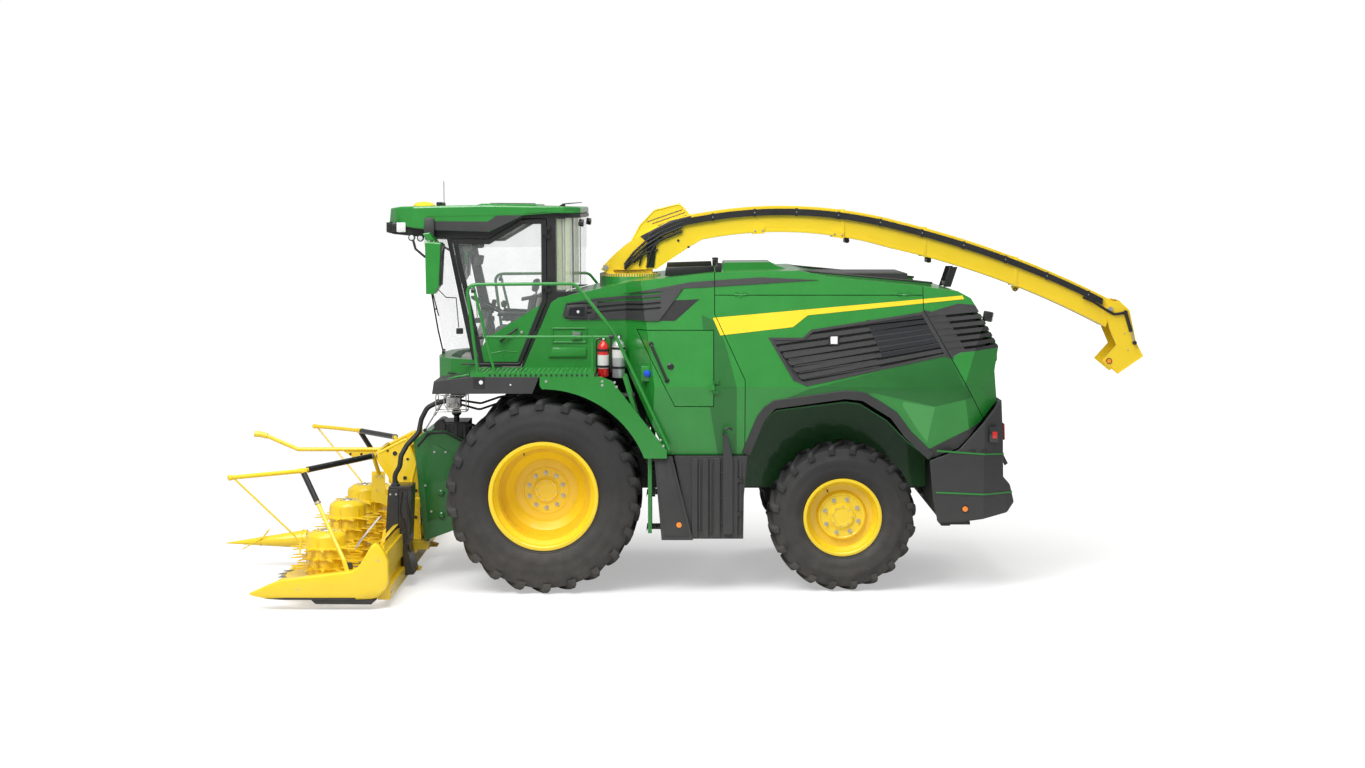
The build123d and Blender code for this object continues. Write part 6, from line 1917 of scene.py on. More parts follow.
panes = Piece("corner_panes")
for side in (-1, 1):
    panes.sheet(
        [(-1.285, 3.10), (-1.225, 3.10), (-1.235, 3.84), (-1.29, 3.84)], side * 0.852, 0.002, tinted_glass,
        0,
    )
    panes.sheet(
        [(-1.20, 3.10), (-1.145, 3.10), (-1.15, 3.84), (-1.20, 3.84)], side * 0.852, 0.002, tinted_glass, 0,
    )
    panes.sheet(
        [(-1.2225, 3.10), (-1.2025, 3.10), (-1.205, 3.84), (-1.225, 3.84)], side * 0.85, 0.006, pale_trim,
        0.002,
    )
    panes.pipe([(-1.132, side * 0.855, 3.085), (-1.132, side * 0.855, 3.86)], 0.006, pale_trim, sides=8)
    for x, z in ((-2.30, 2.672), (-2.15, 2.69)):
        panes.box(
            (x - 0.035, x + 0.035), (side * 0.905 - 0.022, side * 0.905 + 0.022), (z - 0.03, z + 0.03),
            black_paint, 0.008,
        )
    panes.pipe([(-2.31, side * 0.90, 2.71), (-2.33, side * 0.93, 3.02)], 0.005, black_paint, sides=8)
panes.done("machine", "cab_black")

door = Piece("door_furniture")
door.pipe(
    [(-2.29, -0.884, 2.325), (-1.69, -0.884, 2.325), (-1.665, -0.884, 2.345), (-1.41, -0.884, 2.965)],
    0.008, black_paint, 0.02, 8,
)
for z, x0, x1 in ((2.45, -2.0, -1.70), (2.62, -1.85, -1.64)):
    door.pipe(
        [(x0, -0.8735, z - 0.02), ((x0 + x1) / 2, -0.8735, z + 0.012), (x1, -0.8735, z)], 0.005,
        green_paint, 0.1, 8,
    )
door.pipe([(-1.86, -0.8735, 2.40), (-1.75, -0.8735, 2.69)], 0.005, green_paint, sides=8)
door.slab([(-1.76, 2.60), (-1.66, 2.66), (-1.68, 2.72), (-1.79, 2.65)], -0.80, -0.845, grey_trim, 0.008)
door.slab([(-1.66, 2.98), (-1.44, 3.02), (-1.44, 3.06), (-1.66, 3.02)], -0.80, -0.835, black_paint, 0.008)
door.knob(0.016, 0.014, 0.01, 0.012, (-1.655, -0.884, 2.66), (0, -1, 0), zinc_plate, 20)
door.done("cab_door", "cab_black")

# %% [markdown]
# The spout is welded from steel sheet. Bolted strips hold its wear plates, so bolt heads follow
# both edges of the duct. One function returns the height of the upper or the lower edge at any
# X, from the arcs that the duct was built with, and the bolts are set on places along it.

# %% The duct's edges
DUCT_TOP = [
    ((-0.86, 3.284), (-0.68, 3.48), (-0.33, 3.7)), ((-0.33, 3.7), (-0.08, 3.822), (0.215, 3.893)),
    ((0.215, 3.893), (1.295, 3.968), (2.385, 3.8)), ((2.385, 3.8), (3.56, 3.44), (4.7, 2.935)),
]
DUCT_UNDER = [
    ((-0.27, 3.284), (0.01, 3.47), (0.215, 3.605)), ((0.215, 3.605), (1.25, 3.687), (2.3, 3.507)),
    ((2.3, 3.507), (3.5, 3.157), (4.6, 2.668)),
]


def edge_z(arcs, x):
    """The height of an edge at x, on the circle through the arc's three points."""
    for (x1, z1), (x2, z2), (x3, z3) in arcs:
        if x <= x3 + 1e-6:
            break
    turn = 2 * (x1 * (z2 - z3) + x2 * (z3 - z1) + x3 * (z1 - z2))
    s1, s2, s3 = x1 * x1 + z1 * z1, x2 * x2 + z2 * z2, x3 * x3 + z3 * z3
    centre_x = (s1 * (z2 - z3) + s2 * (z3 - z1) + s3 * (z1 - z2)) / turn
    centre_z = (s1 * (x3 - x2) + s2 * (x1 - x3) + s3 * (x2 - x1)) / turn
    size = hypot(x1 - centre_x, z1 - centre_z)
    way = 1 if (z1 + z2 + z3) / 3 > centre_z else -1
    return centre_z + way * sqrt(max(size**2 - (x - centre_x) ** 2, 0))


def spaced(start, end, step):
    """Evenly spaced values from start to end."""
    count = max(2, round((end - start) / step) + 1)
    return [start + (end - start) * i / (count - 1) for i in range(count)]

# %% [markdown]
# With the edges known, everything on the duct is set along them: bolts in rows, flanges as long
# strips, stiffening hoops, and the rollers and the eye below.

# %% Bolts, flanges and hoops on the duct
duct = Piece("duct_details")
duct_half = 0.19
bolt_places = []
for side in (-1, 1):
    for x in spaced(-0.2, 4.45, 0.155):
        bolt_places.append(((x, side * duct_half, edge_z(DUCT_TOP, x) - 0.018), (0, side, 0)))
        if x > 0.3:
            bolt_places.append(((x, side * duct_half, edge_z(DUCT_UNDER, x) + 0.016), (0, side, 0)))
on_places(duct, bolt_head(0.006, 0.006), bolt_places, yellow_paint)
for side in (-1, 1):
    for low, high, arcs in ((-0.034, -0.001, DUCT_TOP), (0.001, 0.03, DUCT_UNDER)):
        route = spaced(-0.32 if arcs is DUCT_TOP else 0.0, 4.56, 0.12)
        rings = []
        for x in route:
            z = edge_z(arcs, x)
            rings.append([
                (x, side * (duct_half - 0.001), z + low), (x, side * (duct_half + 0.0035), z + low + 0.002),
                (x, side * (duct_half + 0.0035), z + high - 0.002),
                (x, side * (duct_half - 0.001), z + high),
            ])
        duct.solid(rings, yellow_paint)
for x in (1.75, 2.634, 3.62):
    top, under = edge_z(DUCT_TOP, x), edge_z(DUCT_UNDER, x)
    for side in (-1, 1):
        duct.sheet(
            [
                (x - 0.02, under - 0.004), (x + 0.02, under - 0.008), (x + 0.02, top - 0.002),
                (x - 0.02, top + 0.002),
            ],
            side * 0.193, 0.003, yellow_paint, 0.001,
        )
    duct.box((x - 0.02, x + 0.02), (-0.196, 0.196), (top - 0.001, top + 0.008), yellow_paint, 0.002)
for x in (0.845, 1.7):
    for side in (-1, 1):
        for dx in (-0.04, 0.04):
            z = edge_z(DUCT_UNDER, x + dx) + 0.02
            duct.knob(0.011, 0.009, 0.008, 0.008, (x + dx, side * 0.208, z), (0, side, 0), zinc_plate, 6)
roller_x = (1.803, 2.692)
for x in roller_x:
    duct.band(0, 0.026, -0.1, 0.1, (x, 0, edge_z(DUCT_UNDER, x) - 0.03), (0, 1, 0), black_paint, 24)
for x in roller_x:
    under = edge_z(DUCT_UNDER, x)
    for ys in ((-0.12, -0.1), (0.1, 0.12)):
        duct.box((x - 0.022, x + 0.022), ys, (under - 0.05, under + 0.004), black_paint, 0.003)
for x, z in ((-0.02, 3.60), (0.09, 3.53), (-0.07, 3.70)):
    duct.knob(0.014, 0.012, 0.008, 0.008, (x, -duct_half, z), (0, -1, 0), black_paint, 20)
eye_x = 3.628
under = edge_z(DUCT_UNDER, eye_x)
duct.slab(
    [
        (eye_x - 0.05, under + 0.004), (eye_x + 0.05, under - 0.01), (eye_x + 0.03, under - 0.05),
        (eye_x - 0.03, under - 0.05),
    ],
    -0.11, -0.098, yellow_paint, 0.003,
)
duct.band(0.012, 0.022, -0.014, 0.014, (eye_x, -0.104, under - 0.04), (0, 1, 0), black_paint, 24)

# %% [markdown]
# On the neck a rounded yellow cowl covers the bend. It has three thin cooling slots, drawn as black rods
# whose darkness is painted shade, and a black strip below them, which carries lettering on the real machine
# and stays bare here. The hoses for the swing drive loop over the joint, then run along the duct in the
# black guard.

# %% Neck cowl, strip and hoses
# The cooling slots are black rods: painted shade.
for x0, z0, x1, z1 in ((-0.36, 3.82, 0.02, 3.965), (-0.30, 3.80, 0.05, 3.935), (-0.24, 3.78, 0.07, 3.905)):
    for side in (-1, 1):
        duct.pipe(
            [(x0, side * 0.1512, z0 - 0.02), (x1, side * 0.1512, z1 - 0.035)], 0.0045, black_paint, sides=8,
        )
for side in (-1, 1):
    duct.slab(
        [(-0.43, 3.645), (-0.38, 3.60), (-0.05, 3.775), (0.11, 3.83), (0.12, 3.865), (-0.1, 3.815)],
        side * 0.1935 - 0.0035, side * 0.1935 + 0.0035, dark_plastic, 0.002,
    )
for y in (-0.15, 0.15):
    cowl_edge = [
        (-0.52, y, 3.60), (-0.43, y, 3.765), (-0.275, y, 3.925), (-0.005, y, 3.992), (0.1, y, 3.875),
    ]
    duct.pipe(cowl_edge, 0.008, yellow_paint, 0.08)
for drop, y in ((0.0, -0.215), (0.045, -0.224), (0.09, -0.214)):
    route = [
        (-0.60, y, 3.34 - drop / 2), (-0.50, y - 0.008, 3.47 - drop), (-0.36, y - 0.008, 3.60 - drop),
        (-0.2, y, 3.70 - drop), (0.02, y, 3.79 - drop),
    ]
    duct.pipe(route, 0.013, hose_rubber, 0.15)
for x0, z0, x1, z1 in ((-0.44, 3.33, -0.30, 3.62), (-0.36, 3.31, -0.20, 3.64), (-0.50, 3.36, -0.24, 3.50)):
    duct.pipe(
        [(x0, -0.206, z0), ((x0 + x1) / 2 - 0.02, -0.228, (z0 + z1) / 2 + 0.03), (x1, -0.206, z1)], 0.011,
        hose_rubber, 0.1,
    )
duct.slab(
    [(-0.36, 3.31), (-0.28, 3.31), (-0.24, 3.69), (-0.31, 3.71), (-0.35, 3.66)], -0.206, -0.198,
    black_paint, 0.003,
)
for x in spaced(0.35, 4.4, 0.45):
    z = edge_z(DUCT_TOP, x) - 0.065
    duct.box((x - 0.014, x + 0.014), (-0.2285, -0.192), (z - 0.042, z + 0.042), black_paint, 0.003)
    duct.knob(0.007, 0.006, 0.004, 0.004, (x, -0.2285, z), (0, -1, 0), zinc_plate, 12)
duct.pipe(
    [
        (3.9, 0.205, 3.15), (2.6, 0.205, edge_z(DUCT_TOP, 2.6) - 0.09),
        (1.3, 0.205, edge_z(DUCT_TOP, 1.3) - 0.09), (0.2, 0.205, 3.79), (-0.4, 0.205, 3.5),
    ],
    0.011, hose_rubber, 0.8,
)
duct.done("spout", "machine_yellow")

# %% [markdown]
# A toothed ring swings the spout. A motor with a pinion sits beside it, and the ring's bolts
# and teeth come from the ring tree.

# %% Swing ring
ring = Piece("swing_ring")
swing_centre = (-0.545, 0, 0)


def gear_tooth(sketch):
    """One tooth of the swing ring, at its radius on the X axis."""
    foot, tip, half_foot, half_tip = 0.318, 0.3305, 0.012, 0.006
    sketch.solid([
        [(foot, -half_foot, z), (tip, -half_tip, z), (tip, half_tip, z), (foot, half_foot, z)]
        for z in (3.217, 3.245)
    ], None)


in_a_ring(ring, small_mesh(gear_tooth), 72, swing_centre, (0, 0, 1), bright_steel)


def ring_bolt(sketch):
    """A bolt head on the ring's top."""
    sketch.turned(
        [(0, 3.244), (0.011, 3.244), (0.011, 3.2515), (0, 3.252)], (0.297, 0, 0), (0, 0, 1), None, 6,
    )


in_a_ring(ring, small_mesh(ring_bolt), 24, swing_centre, (0, 0, 1), zinc_plate)
for side in (-1, 1):
    ring.knob(0.03, 0.028, 0.012, 0.014, (-0.8, side * 0.218, 3.31), (0, side, 0), zinc_plate, 24)
ring.done("spout_turntable", "machine_yellow")

# %% [markdown]
# At the end a flap aims the crop. A small hydraulic cylinder on its side turns it, and two hoses bridge the
# joint from the duct to the flap; they ride on neither the duct nor the flap.

# %% Flap and its hoses
flap = Piece("flap_details")
for side in (-1, 1):
    flap.knob(0.03, 0.027, 0.012, 0.014, (4.64, side * 0.212, 2.86), (0, side, 0), zinc_plate, 24)
    flap.pipe(
        [(4.585, side * 0.2135, 2.31), (4.735, side * 0.2135, 2.17), (5.0, side * 0.2135, 2.35)], 0.005,
        yellow_paint, sides=8,
    )
    for x, z in ((4.76, 2.80), (4.80, 2.60), (4.84, 2.42)):
        flap.knob(0.008, 0.007, 0.006, 0.006, (x, side * 0.212, z), (0, side, 0), zinc_plate, 12)
flap.pipe([(4.80, -0.235, 2.83), (4.865, -0.235, 2.62)], 0.020, black_paint)
flap.pipe([(4.865, -0.235, 2.62), (4.905, -0.235, 2.50)], 0.010, bright_steel)
for x, z in ((4.80, 2.83), (4.905, 2.50)):
    flap.band(0, 0.022, 0, 0.045, (x, -0.209, z), (0, -1, 0), black_paint, 20)
flap.knob(0.028, 0.025, 0.009, 0.011, (4.639, -0.212, 2.3), (0, -1, 0), orange_lens, 24)
flap.turned(
    [(0.028, 0), (0.034, 0), (0.033, 0.006), (0.028, 0.007)], (4.639, -0.212, 2.3), (0, -1, 0), black_paint,
    24,
)
flap.done("spout_end", "machine_yellow")

bridge = Piece("flap_hoses")
for y, lift in ((-0.219, 0.0), (-0.236, 0.012)):
    bridge.pipe(
        [
            (4.34, y, 2.985 + lift), (4.44, y - 0.01, 2.945 + lift), (4.58, y - 0.01, 2.855 + lift),
            (4.68, y - 0.01, 2.80 + lift), (4.80, y, 2.82 + lift),
        ],
        0.009, hose_rubber, 0.08,
    )
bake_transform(bridge.done(None, "dark_plastic"))

# %% [markdown]
# Bent yellow tubes push the tall crop forward before it is cut. Near the mast and on the strut
# they carry black sleeves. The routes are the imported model's; only the tubes are round now, with
# a rolled tip at each free end.

# %% Crop guards
guards = Piece("round_crop_guards")
for side in (-1, 1):
    outer = [
        (-4.415, side * 2.15, 1.31), (-4.15, side * 1.96, 1.312), (-3.815, side * 1.7, 1.312),
        (-3.24, side * 0.8, 1.345), (-3.215, side * 0.6, 1.13),
    ]
    guards.pipe(outer, 0.022, yellow_paint, 0.06, 16)
    guards.pipe([(-3.77, side * 1.63, 1.3146), (-3.265, side * 0.84, 1.3435)], 0.031, black_paint, sides=20)
    strut = [
        (-3.8, side * 1.7, 1.3), (-3.64, side * 1.8, 1.0), (-3.33, side * 2.12, 0.48),
        (-3.29, side * 2.15, 0.36),
    ]
    guards.pipe(strut, 0.022, yellow_paint, 0.04, 16)
    guards.pipe([(-3.795, side * 1.703, 1.29), (-3.65, side * 1.794, 1.018)], 0.03, black_paint, sides=18)
    guards.pipe([(-4.395, side * 2.14, 1.3), (-3.86, side * 1.93, 0.7)], 0.01, yellow_paint)
    guards.pipe(
        [(-3.86, side * 1.93, 0.70), (-3.80, side * 1.91, 0.62), (-3.80, side * 1.95, 0.50)], 0.01,
        yellow_paint, 0.03,
    )
    guards.turned(
        [(0, -0.006), (0.024, -0.006), (0.028, 0.004), (0.028, 0.03), (0.023, 0.036), (0, 0.036)], outer[0],
        (-0.82, side * 0.57, 0), yellow_paint, 24,
    )
    guards.sheet(
        [(-3.84, 1.285), (-3.76, 1.285), (-3.76, 1.34), (-3.84, 1.34)], side * 1.7, 0.014, yellow_paint,
        0.006,
    )
    for point, ahead in (
        ((-3.26, side * 0.83, 1.344), (0.54, side * -0.84, 0.03)),
        ((-3.645, side * 1.797, 1.01), (0.42, side * 0.26, -0.86)),
    ):
        guards.band(0.022, 0.034, 0, 0.02, point, ahead, zinc_plate, 24)
guards.pipe(
    [(-4.655, 0, 1.48), (-4.56, 0, 1.47), (-4.195, 0, 1.31), (-3.262, 0, 1.31)], 0.022, yellow_paint, 0.06,
    16,
)
guards.pipe([(-4.668, 0, 1.4805), (-4.60, 0, 1.476), (-4.53, 0, 1.458)], 0.032, yellow_paint, 0.03, 18)
guards.slab(
    [(-3.70, 1.292), (-3.29, 1.292), (-3.36, 1.222), (-3.60, 1.222)], -0.006, 0.006, yellow_paint, 0.002,
)
for x in (-3.62, -3.50, -3.38):
    guards.band(0, 0.014, -0.0075, 0.0075, (x, 0, 1.258), (0, 1, 0), black_paint, 20)
guards.box((-3.275, -3.24), (-0.335, 0.335), (1.27, 1.345), yellow_paint, 0.006)
for y in (-0.3, -0.1, 0.1, 0.3):
    guards.knob(0.014, 0.012, 0.012, 0.012, (-3.275, y, 1.308), (-1, 0, 0), zinc_plate, 6)
guards.done("header", "machine_yellow", "crop_guards")

# %% [markdown]
# The dividers lead the rows apart. In the middle a long cone points forward; each outer end is a
# hollow moulded boat whose rear swells into a hood. The boat is lofted through rounded
# cross-sections, from the tip to the hood. The badge and lettering of the real one are left off.

# %% Row dividers


def oval(x, middle_y, half_y, low, high, power=5, points=20):
    """A rounded rectangle across the machine."""
    middle_z, half_z = (low + high) / 2, (high - low) / 2
    ring = []
    for i in range(points):
        c, s = cos(2 * pi * (i + 0.5) / points), sin(2 * pi * (i + 0.5) / points)
        size = (abs(c) ** power + abs(s) ** power) ** (-1 / power)
        ring.append((x, middle_y + half_y * size * c, middle_z + half_z * size * s))
    return ring


dividers = Piece("smooth_dividers")
cone_axis = Vector((0.89, 0, 0.047)).normalized()
dividers.turned(
    [(0, -0.006), (0.004, -0.004), (0.006, 0), (0.06, 0.5), (0.103, 0.89), (0.1, 0.9), (0, 0.9)],
    (-5.004, 0, 0.268), cone_axis, yellow_paint, 48,
)
for distance, radius in ((0.37, 0.047), (0.845, 0.1)):
    dividers.turned(
        [
            (radius - 0.004, distance), (radius + 0.004, distance), (radius + 0.0055, distance + 0.014),
            (radius - 0.004, distance + 0.014),
        ],
        (-5.004, 0, 0.268), cone_axis, yellow_paint, 48,
    )
dividers.slab(
    [
        (-4.125, 0.22), (-4.125, 0.41), (-3.98, 0.33), (-3.7, 0.19), (-2.99, 0.15), (-2.99, 0.09),
        (-3.9, 0.09),
    ],
    -0.036, 0.036, yellow_paint, 0.012,
)
for side in (-1, 1):
    dividers.pipe(
        [(-4.826, side * 0.02, 0.201), (-4.60, side * 0.052, 0.33), (-4.532, side * 0.06, 0.418)], 0.006,
        yellow_paint,
    )
for index in (1, 2):
    for side in (-1, 1):
        y = side * 0.75 * index
        dividers.solid([
            oval(x, y, half_y, low, high, 4, 16)
            for x, half_y, low, high in (
                (-4.18, 0.006, 0.088, 0.102), (-4.1, 0.025, 0.082, 0.172), (-3.96, 0.038, 0.085, 0.194),
                (-3.0, 0.04, 0.09, 0.196),
            )
        ], yellow_paint)

# %% [markdown]
# The outer boats are lofted through fourteen sections. A sprung guard of flat steel stands on
# each, and a black skid runs below.

# %% Outer boats
BOAT = [
    (-4.258, 2.2, 0.006, 0.154, 0.166), (-4.2, 2.198, 0.018, 0.132, 0.19),
    (-4.08, 2.192, 0.04, 0.112, 0.245), (-3.935, 2.186, 0.062, 0.105, 0.303),
    (-3.55, 2.18, 0.07, 0.105, 0.352), (-3.24, 2.18, 0.07, 0.105, 0.39), (-3.17, 2.18, 0.07, 0.105, 0.435),
    (-3.10, 2.18, 0.07, 0.107, 0.545),
    (-3.04, 2.18, 0.07, 0.11, 0.645), (-3.0, 2.18, 0.069, 0.12, 0.672), (-2.96, 2.18, 0.067, 0.145, 0.64),
    (-2.915, 2.18, 0.062, 0.19, 0.575), (-2.882, 2.18, 0.052, 0.25, 0.505),
    (-2.872, 2.18, 0.03, 0.29, 0.46),
]
for side in (-1, 1):
    dividers.solid(
        [oval(x, side * y, half_y, low, high, 6, 28) for x, y, half_y, low, high in BOAT], yellow_paint,
    )
    dividers.sheet(
        [(-3.65, 0.108), (-3.6, 0.06), (-3.05, 0.055), (-2.99, 0.108)], side * 2.18, 0.05, black_paint,
        0.008,
    )
    dividers.slab(
        [(-4.12, 0.118), (-3.9, 0.107), (-3.2, 0.107), (-3.2, 0.128), (-3.9, 0.128)], side * 2.247 - 0.004,
        side * 2.247 + 0.002, black_paint, 0.001,
    )
    dividers.sheet(
        [(-3.31, 0.385), (-3.24, 0.392), (-3.25, 0.455), (-3.30, 0.455)], side * 2.115, 0.012, black_paint,
        0.004,
    )
    for x, z in ((-3.765, 0.211), (-3.431, 0.27), (-3.14, 0.20), (-2.97, 0.50)):
        dividers.turned(
            [(0, -0.003), (0.011, -0.003), (0.009, 0.004), (0, 0.004)], (x, side * 2.245, z), (0, side, 0),
            zinc_plate, 20,
        )
    dividers.solid([
        [
            (x - 0.022, side * (y - 0.03), z - 0.014), (x + 0.022, side * (y - 0.03), z + 0.014),
            (x + 0.02, side * (y - 0.022), z + 0.016), (x - 0.024, side * (y - 0.022), z - 0.012),
        ]
        for x, y, z in ((-3.209, 2.1, 0.60), (-3.15, 2.1, 0.69), (-3.073, 2.08, 0.785), (-2.98, 2.06, 0.90))
    ], zinc_plate)
dividers.done("header", "machine_yellow", "row_dividers")

# %% [markdown]
# Each rotor is a drum over a spinning disc. The disc has bolted saw teeth that cut, and layers of
# hooked tines carry the stalks upright to the middle. One tooth and one tine are modelled, and
# the ring tree turns copies of them round the shaft; the layers are set half a step apart.

# %% Rotors
ROTORS = {
    "outer_left": (-3.6, -1.59, 0.2, 0.69, 3), "inner_left": (-3.56, -0.56, 0.19, 0.84, 4),
    "inner_right": (-3.56, 0.56, 0.19, 0.84, 4), "outer_right": (-3.6, 1.59, 0.2, 0.69, 3),
}
disc_radius, tooth_count, tine_count = 0.5, 18, 12


def rotor(name, x, y, core, top, layers):
    """One rotor with its disc, teeth, tines and drum."""
    piece = Piece(f"dressed_rotor_{name}")
    centre = (x, y, 0)
    up = (0, 0, 1)
    drum = [
        (0, 0.23), (core, 0.232), (core, top - 0.055), (core - 0.006, top - 0.042),
        (core - 0.062, top - 0.003), (core - 0.075, top), (0, top),
    ]
    for layer in range(layers):
        z = 0.32 + layer * (top - 0.39) / layers
        piece.turned(
            [
                (core - 0.002, z - 0.006), (core + 0.02, z - 0.006), (core + 0.022, z),
                (core + 0.02, z + 0.012), (core - 0.002, z + 0.016),
            ],
            centre, up, yellow_paint, 64,
        )
    piece.turned(drum, centre, up, yellow_paint, 64)
    piece.turned(
        [(0, top), (0.055, top), (0.05, top + 0.006), (0, top + 0.008)], centre, up, zinc_plate, 32,
    )
    piece.turned(
        [
            (0.12, 0.206), (0.16, 0.206), (0.2, 0.228), (disc_radius - 0.05, 0.228),
            (disc_radius - 0.045, 0.233), (disc_radius - 0.05, 0.238), (0.12, 0.238),
        ],
        centre, up, yellow_paint, 72,
    )

    def tooth(sketch):
        sketch.solid([
            [
                (0.415, -0.05, z), (0.452, -0.055, z), (disc_radius - 0.002, 0.03, z), (0.452, 0.045, z),
                (0.415, 0.04, z),
            ]
            for z in (0.238, 0.243)
        ], None)

    in_a_ring(piece, small_mesh(tooth), tooth_count, centre, up, grey_casting)

    def tooth_bolt(sketch):
        sketch.turned(
            [(0, 0.242), (0.009, 0.242), (0.007, 0.25), (0, 0.25)], (0.432, -0.01, 0), up, None, 6,
        )

    in_a_ring(piece, small_mesh(tooth_bolt), tooth_count, centre, up, zinc_plate)

    def tine(sketch):
        rings = []
        for i in range(7):
            share = i / 6
            reach, lean, half = core + 0.01 + 0.152 * share, 0.03 * share**2, 0.024 * (1 - share) + 0.005
            rings.append([
                (reach, lean - half, -0.005), (reach, lean + half, -0.005),
                (reach, lean + half * 0.9, 0.006), (reach, lean - half * 0.9, 0.006),
            ])
        sketch.solid(rings, None)

    for layer in range(layers):
        z = 0.326 + layer * (top - 0.39) / layers
        in_a_ring(
            piece, small_mesh(tine), tine_count, (x, y, z), up, yellow_paint, (layer % 2) * pi / tine_count,
        )

    def lid_bolt(sketch):
        sketch.turned(
            [(0, top - 0.002), (0.009, top - 0.002), (0.008, top + 0.006), (0, top + 0.006)],
            (core - 0.085, 0, 0), up, None, 6,
        )

    in_a_ring(piece, small_mesh(lid_bolt), 8, centre, up, zinc_plate, 0.2)

    def rib(sketch):
        sketch.box((core - 0.002, core + 0.006), (-0.012, 0.012), (0.25, top - 0.07), None, 0.002, 1)

    in_a_ring(piece, small_mesh(rib), 6, centre, up, yellow_paint, 0.25)
    piece.done(f"{name}_rotor", "machine_yellow", f"rotor_{name}")


for rotor_name, values in ROTORS.items():
    rotor(rotor_name, *values)

# %% [markdown]
# A black drive column climbs the left of the header and takes the power over from the feed housing. It is a
# cast case with a clamped collar, ribs and bolts. The holes in the yellow mast plates lighten them: each is
# a black disc in a yellow ring, its darkness painted shade.

# %% Drive column, mast and frame details
header = Piece("header_details")
for z in (0.56, 0.72, 0.88):
    for y in (-1.083, -0.767):
        front, rear = -2.975 + (z - 0.44) * 0.05, -2.83 + (z - 0.44) * 0.05
        header.sheet(
            [(front, z), (rear, z), (rear, z + 0.02), (front, z + 0.02)], y, 0.004, black_paint, 0.003,
        )
for x in (-2.93, -2.87):
    header.slab(
        [(x - 0.008, 0.46), (x + 0.008, 0.46), (x + 0.03, 1.02), (x + 0.014, 1.02)], -1.088, -1.078,
        black_paint, 0.003,
    )
for x, z in ((-2.99, 0.50), (-3.04, 0.50), (-3.0, 0.42), (-3.045, 0.42), (-2.96, 0.98), (-3.02, 0.98)):
    header.knob(0.012, 0.011, 0.01, 0.011, (x, -1.094, z), (0, -1, 0), zinc_plate, 6)
header.box((-3.04, -2.80), (-1.09, -0.76), (1.03, 1.06), black_paint, 0.01)
header.slab(
    [(-3.085, 0.44), (-3.045, 1.035), (-2.93, 1.035), (-2.95, 0.44), (-2.93, 0.13), (-3.0, 0.13)], -1.095,
    -0.96, black_paint, 0.012,
)
header.turned(
    [(0, 1.05), (0.05, 1.05), (0.046, 1.075), (0.03, 1.085), (0, 1.085)], (-2.98, -1.0, 0), (0, 0, 1),
    black_paint, 32,
)
header.pipe(
    [
        (-2.90, -1.093, 1.0), (-2.93, -1.10, 0.80), (-2.87, -1.10, 0.62), (-2.84, -1.05, 0.40),
        (-2.85, -0.9, 0.30),
    ],
    0.009, hose_rubber, 0.08,
)
header.pipe([(-2.86, -1.09, 0.96), (-2.83, -1.10, 0.80), (-2.82, -1.06, 0.60)], 0.007, hose_rubber, 0.08)
for side in (-1, 1):
    for x, z, size in (
        (-3.076, 1.312, 0.026), (-2.971, 1.045, 0.022), (-3.155, 1.345, 0.016), (-2.94, 1.25, 0.016),
        (-2.955, 0.80, 0.02), (-2.96, 0.5, 0.02),
    ):
        # Each hole is a black disc: painted shade.
        header.band(0, size, -0.0165, 0.0165, (x, side * 0.35, z), (0, 1, 0), black_paint, 24)
        header.band(size, size + 0.006, -0.0185, 0.0185, (x, side * 0.35, z), (0, 1, 0), yellow_paint, 24)
    header.pipe(
        [
            (-3.25, side * 0.35, 1.315), (-2.955, side * 0.35, 1.466), (-2.855, side * 0.35, 1.205),
            (-2.93, side * 0.35, 0.90),
        ],
        0.02, yellow_paint, 0.02,
    )
    for x, z in ((-3.24, 1.10), (-3.24, 0.95), (-3.18, 1.10)):
        header.band(0, 0.01, -0.012, 0.012, (x, side * 0.6, z), (0, 1, 0), zinc_plate, 6)
    header.sheet(
        [(-2.945, 0.10), (-2.77, 0.10), (-2.75, 0.14), (-2.86, 0.17), (-2.945, 0.17)], side * 0.70, 0.02,
        yellow_paint, 0.006,
    )
    header.sheet(
        [(-2.94, 1.36), (-2.90, 1.52), (-2.86, 1.52), (-2.86, 1.42)], side * 0.25, 0.008, yellow_paint,
        0.003,
    )
    header.band(0, 0.022, -0.03, 0.03, (-2.885, side * 0.25, 1.495), (0, 1, 0), yellow_paint, 24)

# %% [markdown]
# The cross beam has a row of bolts, 165 mm apart. Side plates and a bent rear sheet close the table
# behind the rotors.

# %% Beam bolts and table
beam_bolts = []
for side in (-1, 1):
    for i in range(9):
        y = side * (0.72 + i * 0.165)
        beam_bolts += [
            ((-3.0, y, 0.36), (-1, 0, 0)), ((-3.0, y, 0.53), (-1, 0, 0)), ((-2.88, y, 0.145), (1, 0, 0)),
        ]
on_places(header, bolt_head(0.009, 0.008), beam_bolts, zinc_plate)
for side in (-1, 1):
    header.sheet(
        [(-3.35, 0.196), (-2.99, 0.196), (-2.99, 0.62), (-3.02, 0.66), (-3.10, 0.60), (-3.16, 0.34)],
        side * 1.08, 0.006, yellow_paint, 0.002,
    )
    header.solid([
        [
            (x, side * 0.70, z), (x, side * 2.08, z), (x + 0.012, side * 2.08, z + 0.004),
            (x + 0.012, side * 0.70, z + 0.004),
        ]
        for x, z in ((-3.02, 0.60), (-3.015, 0.63), (-2.99, 0.655), (-2.95, 0.665))
    ], yellow_paint)
header.done("header", "machine_yellow")

# %% [markdown]
# The feed housing swings up with the header. Two knurled rolls stand in its mouth and pull the stalks in;
# on its top sit the drive unit and its hoses. A black hose and a gas strut bridge the joint to the cab;
# they are attached to neither body.

# %% Feed rolls, drive unit and bridging parts
feed = Piece("feed_details")


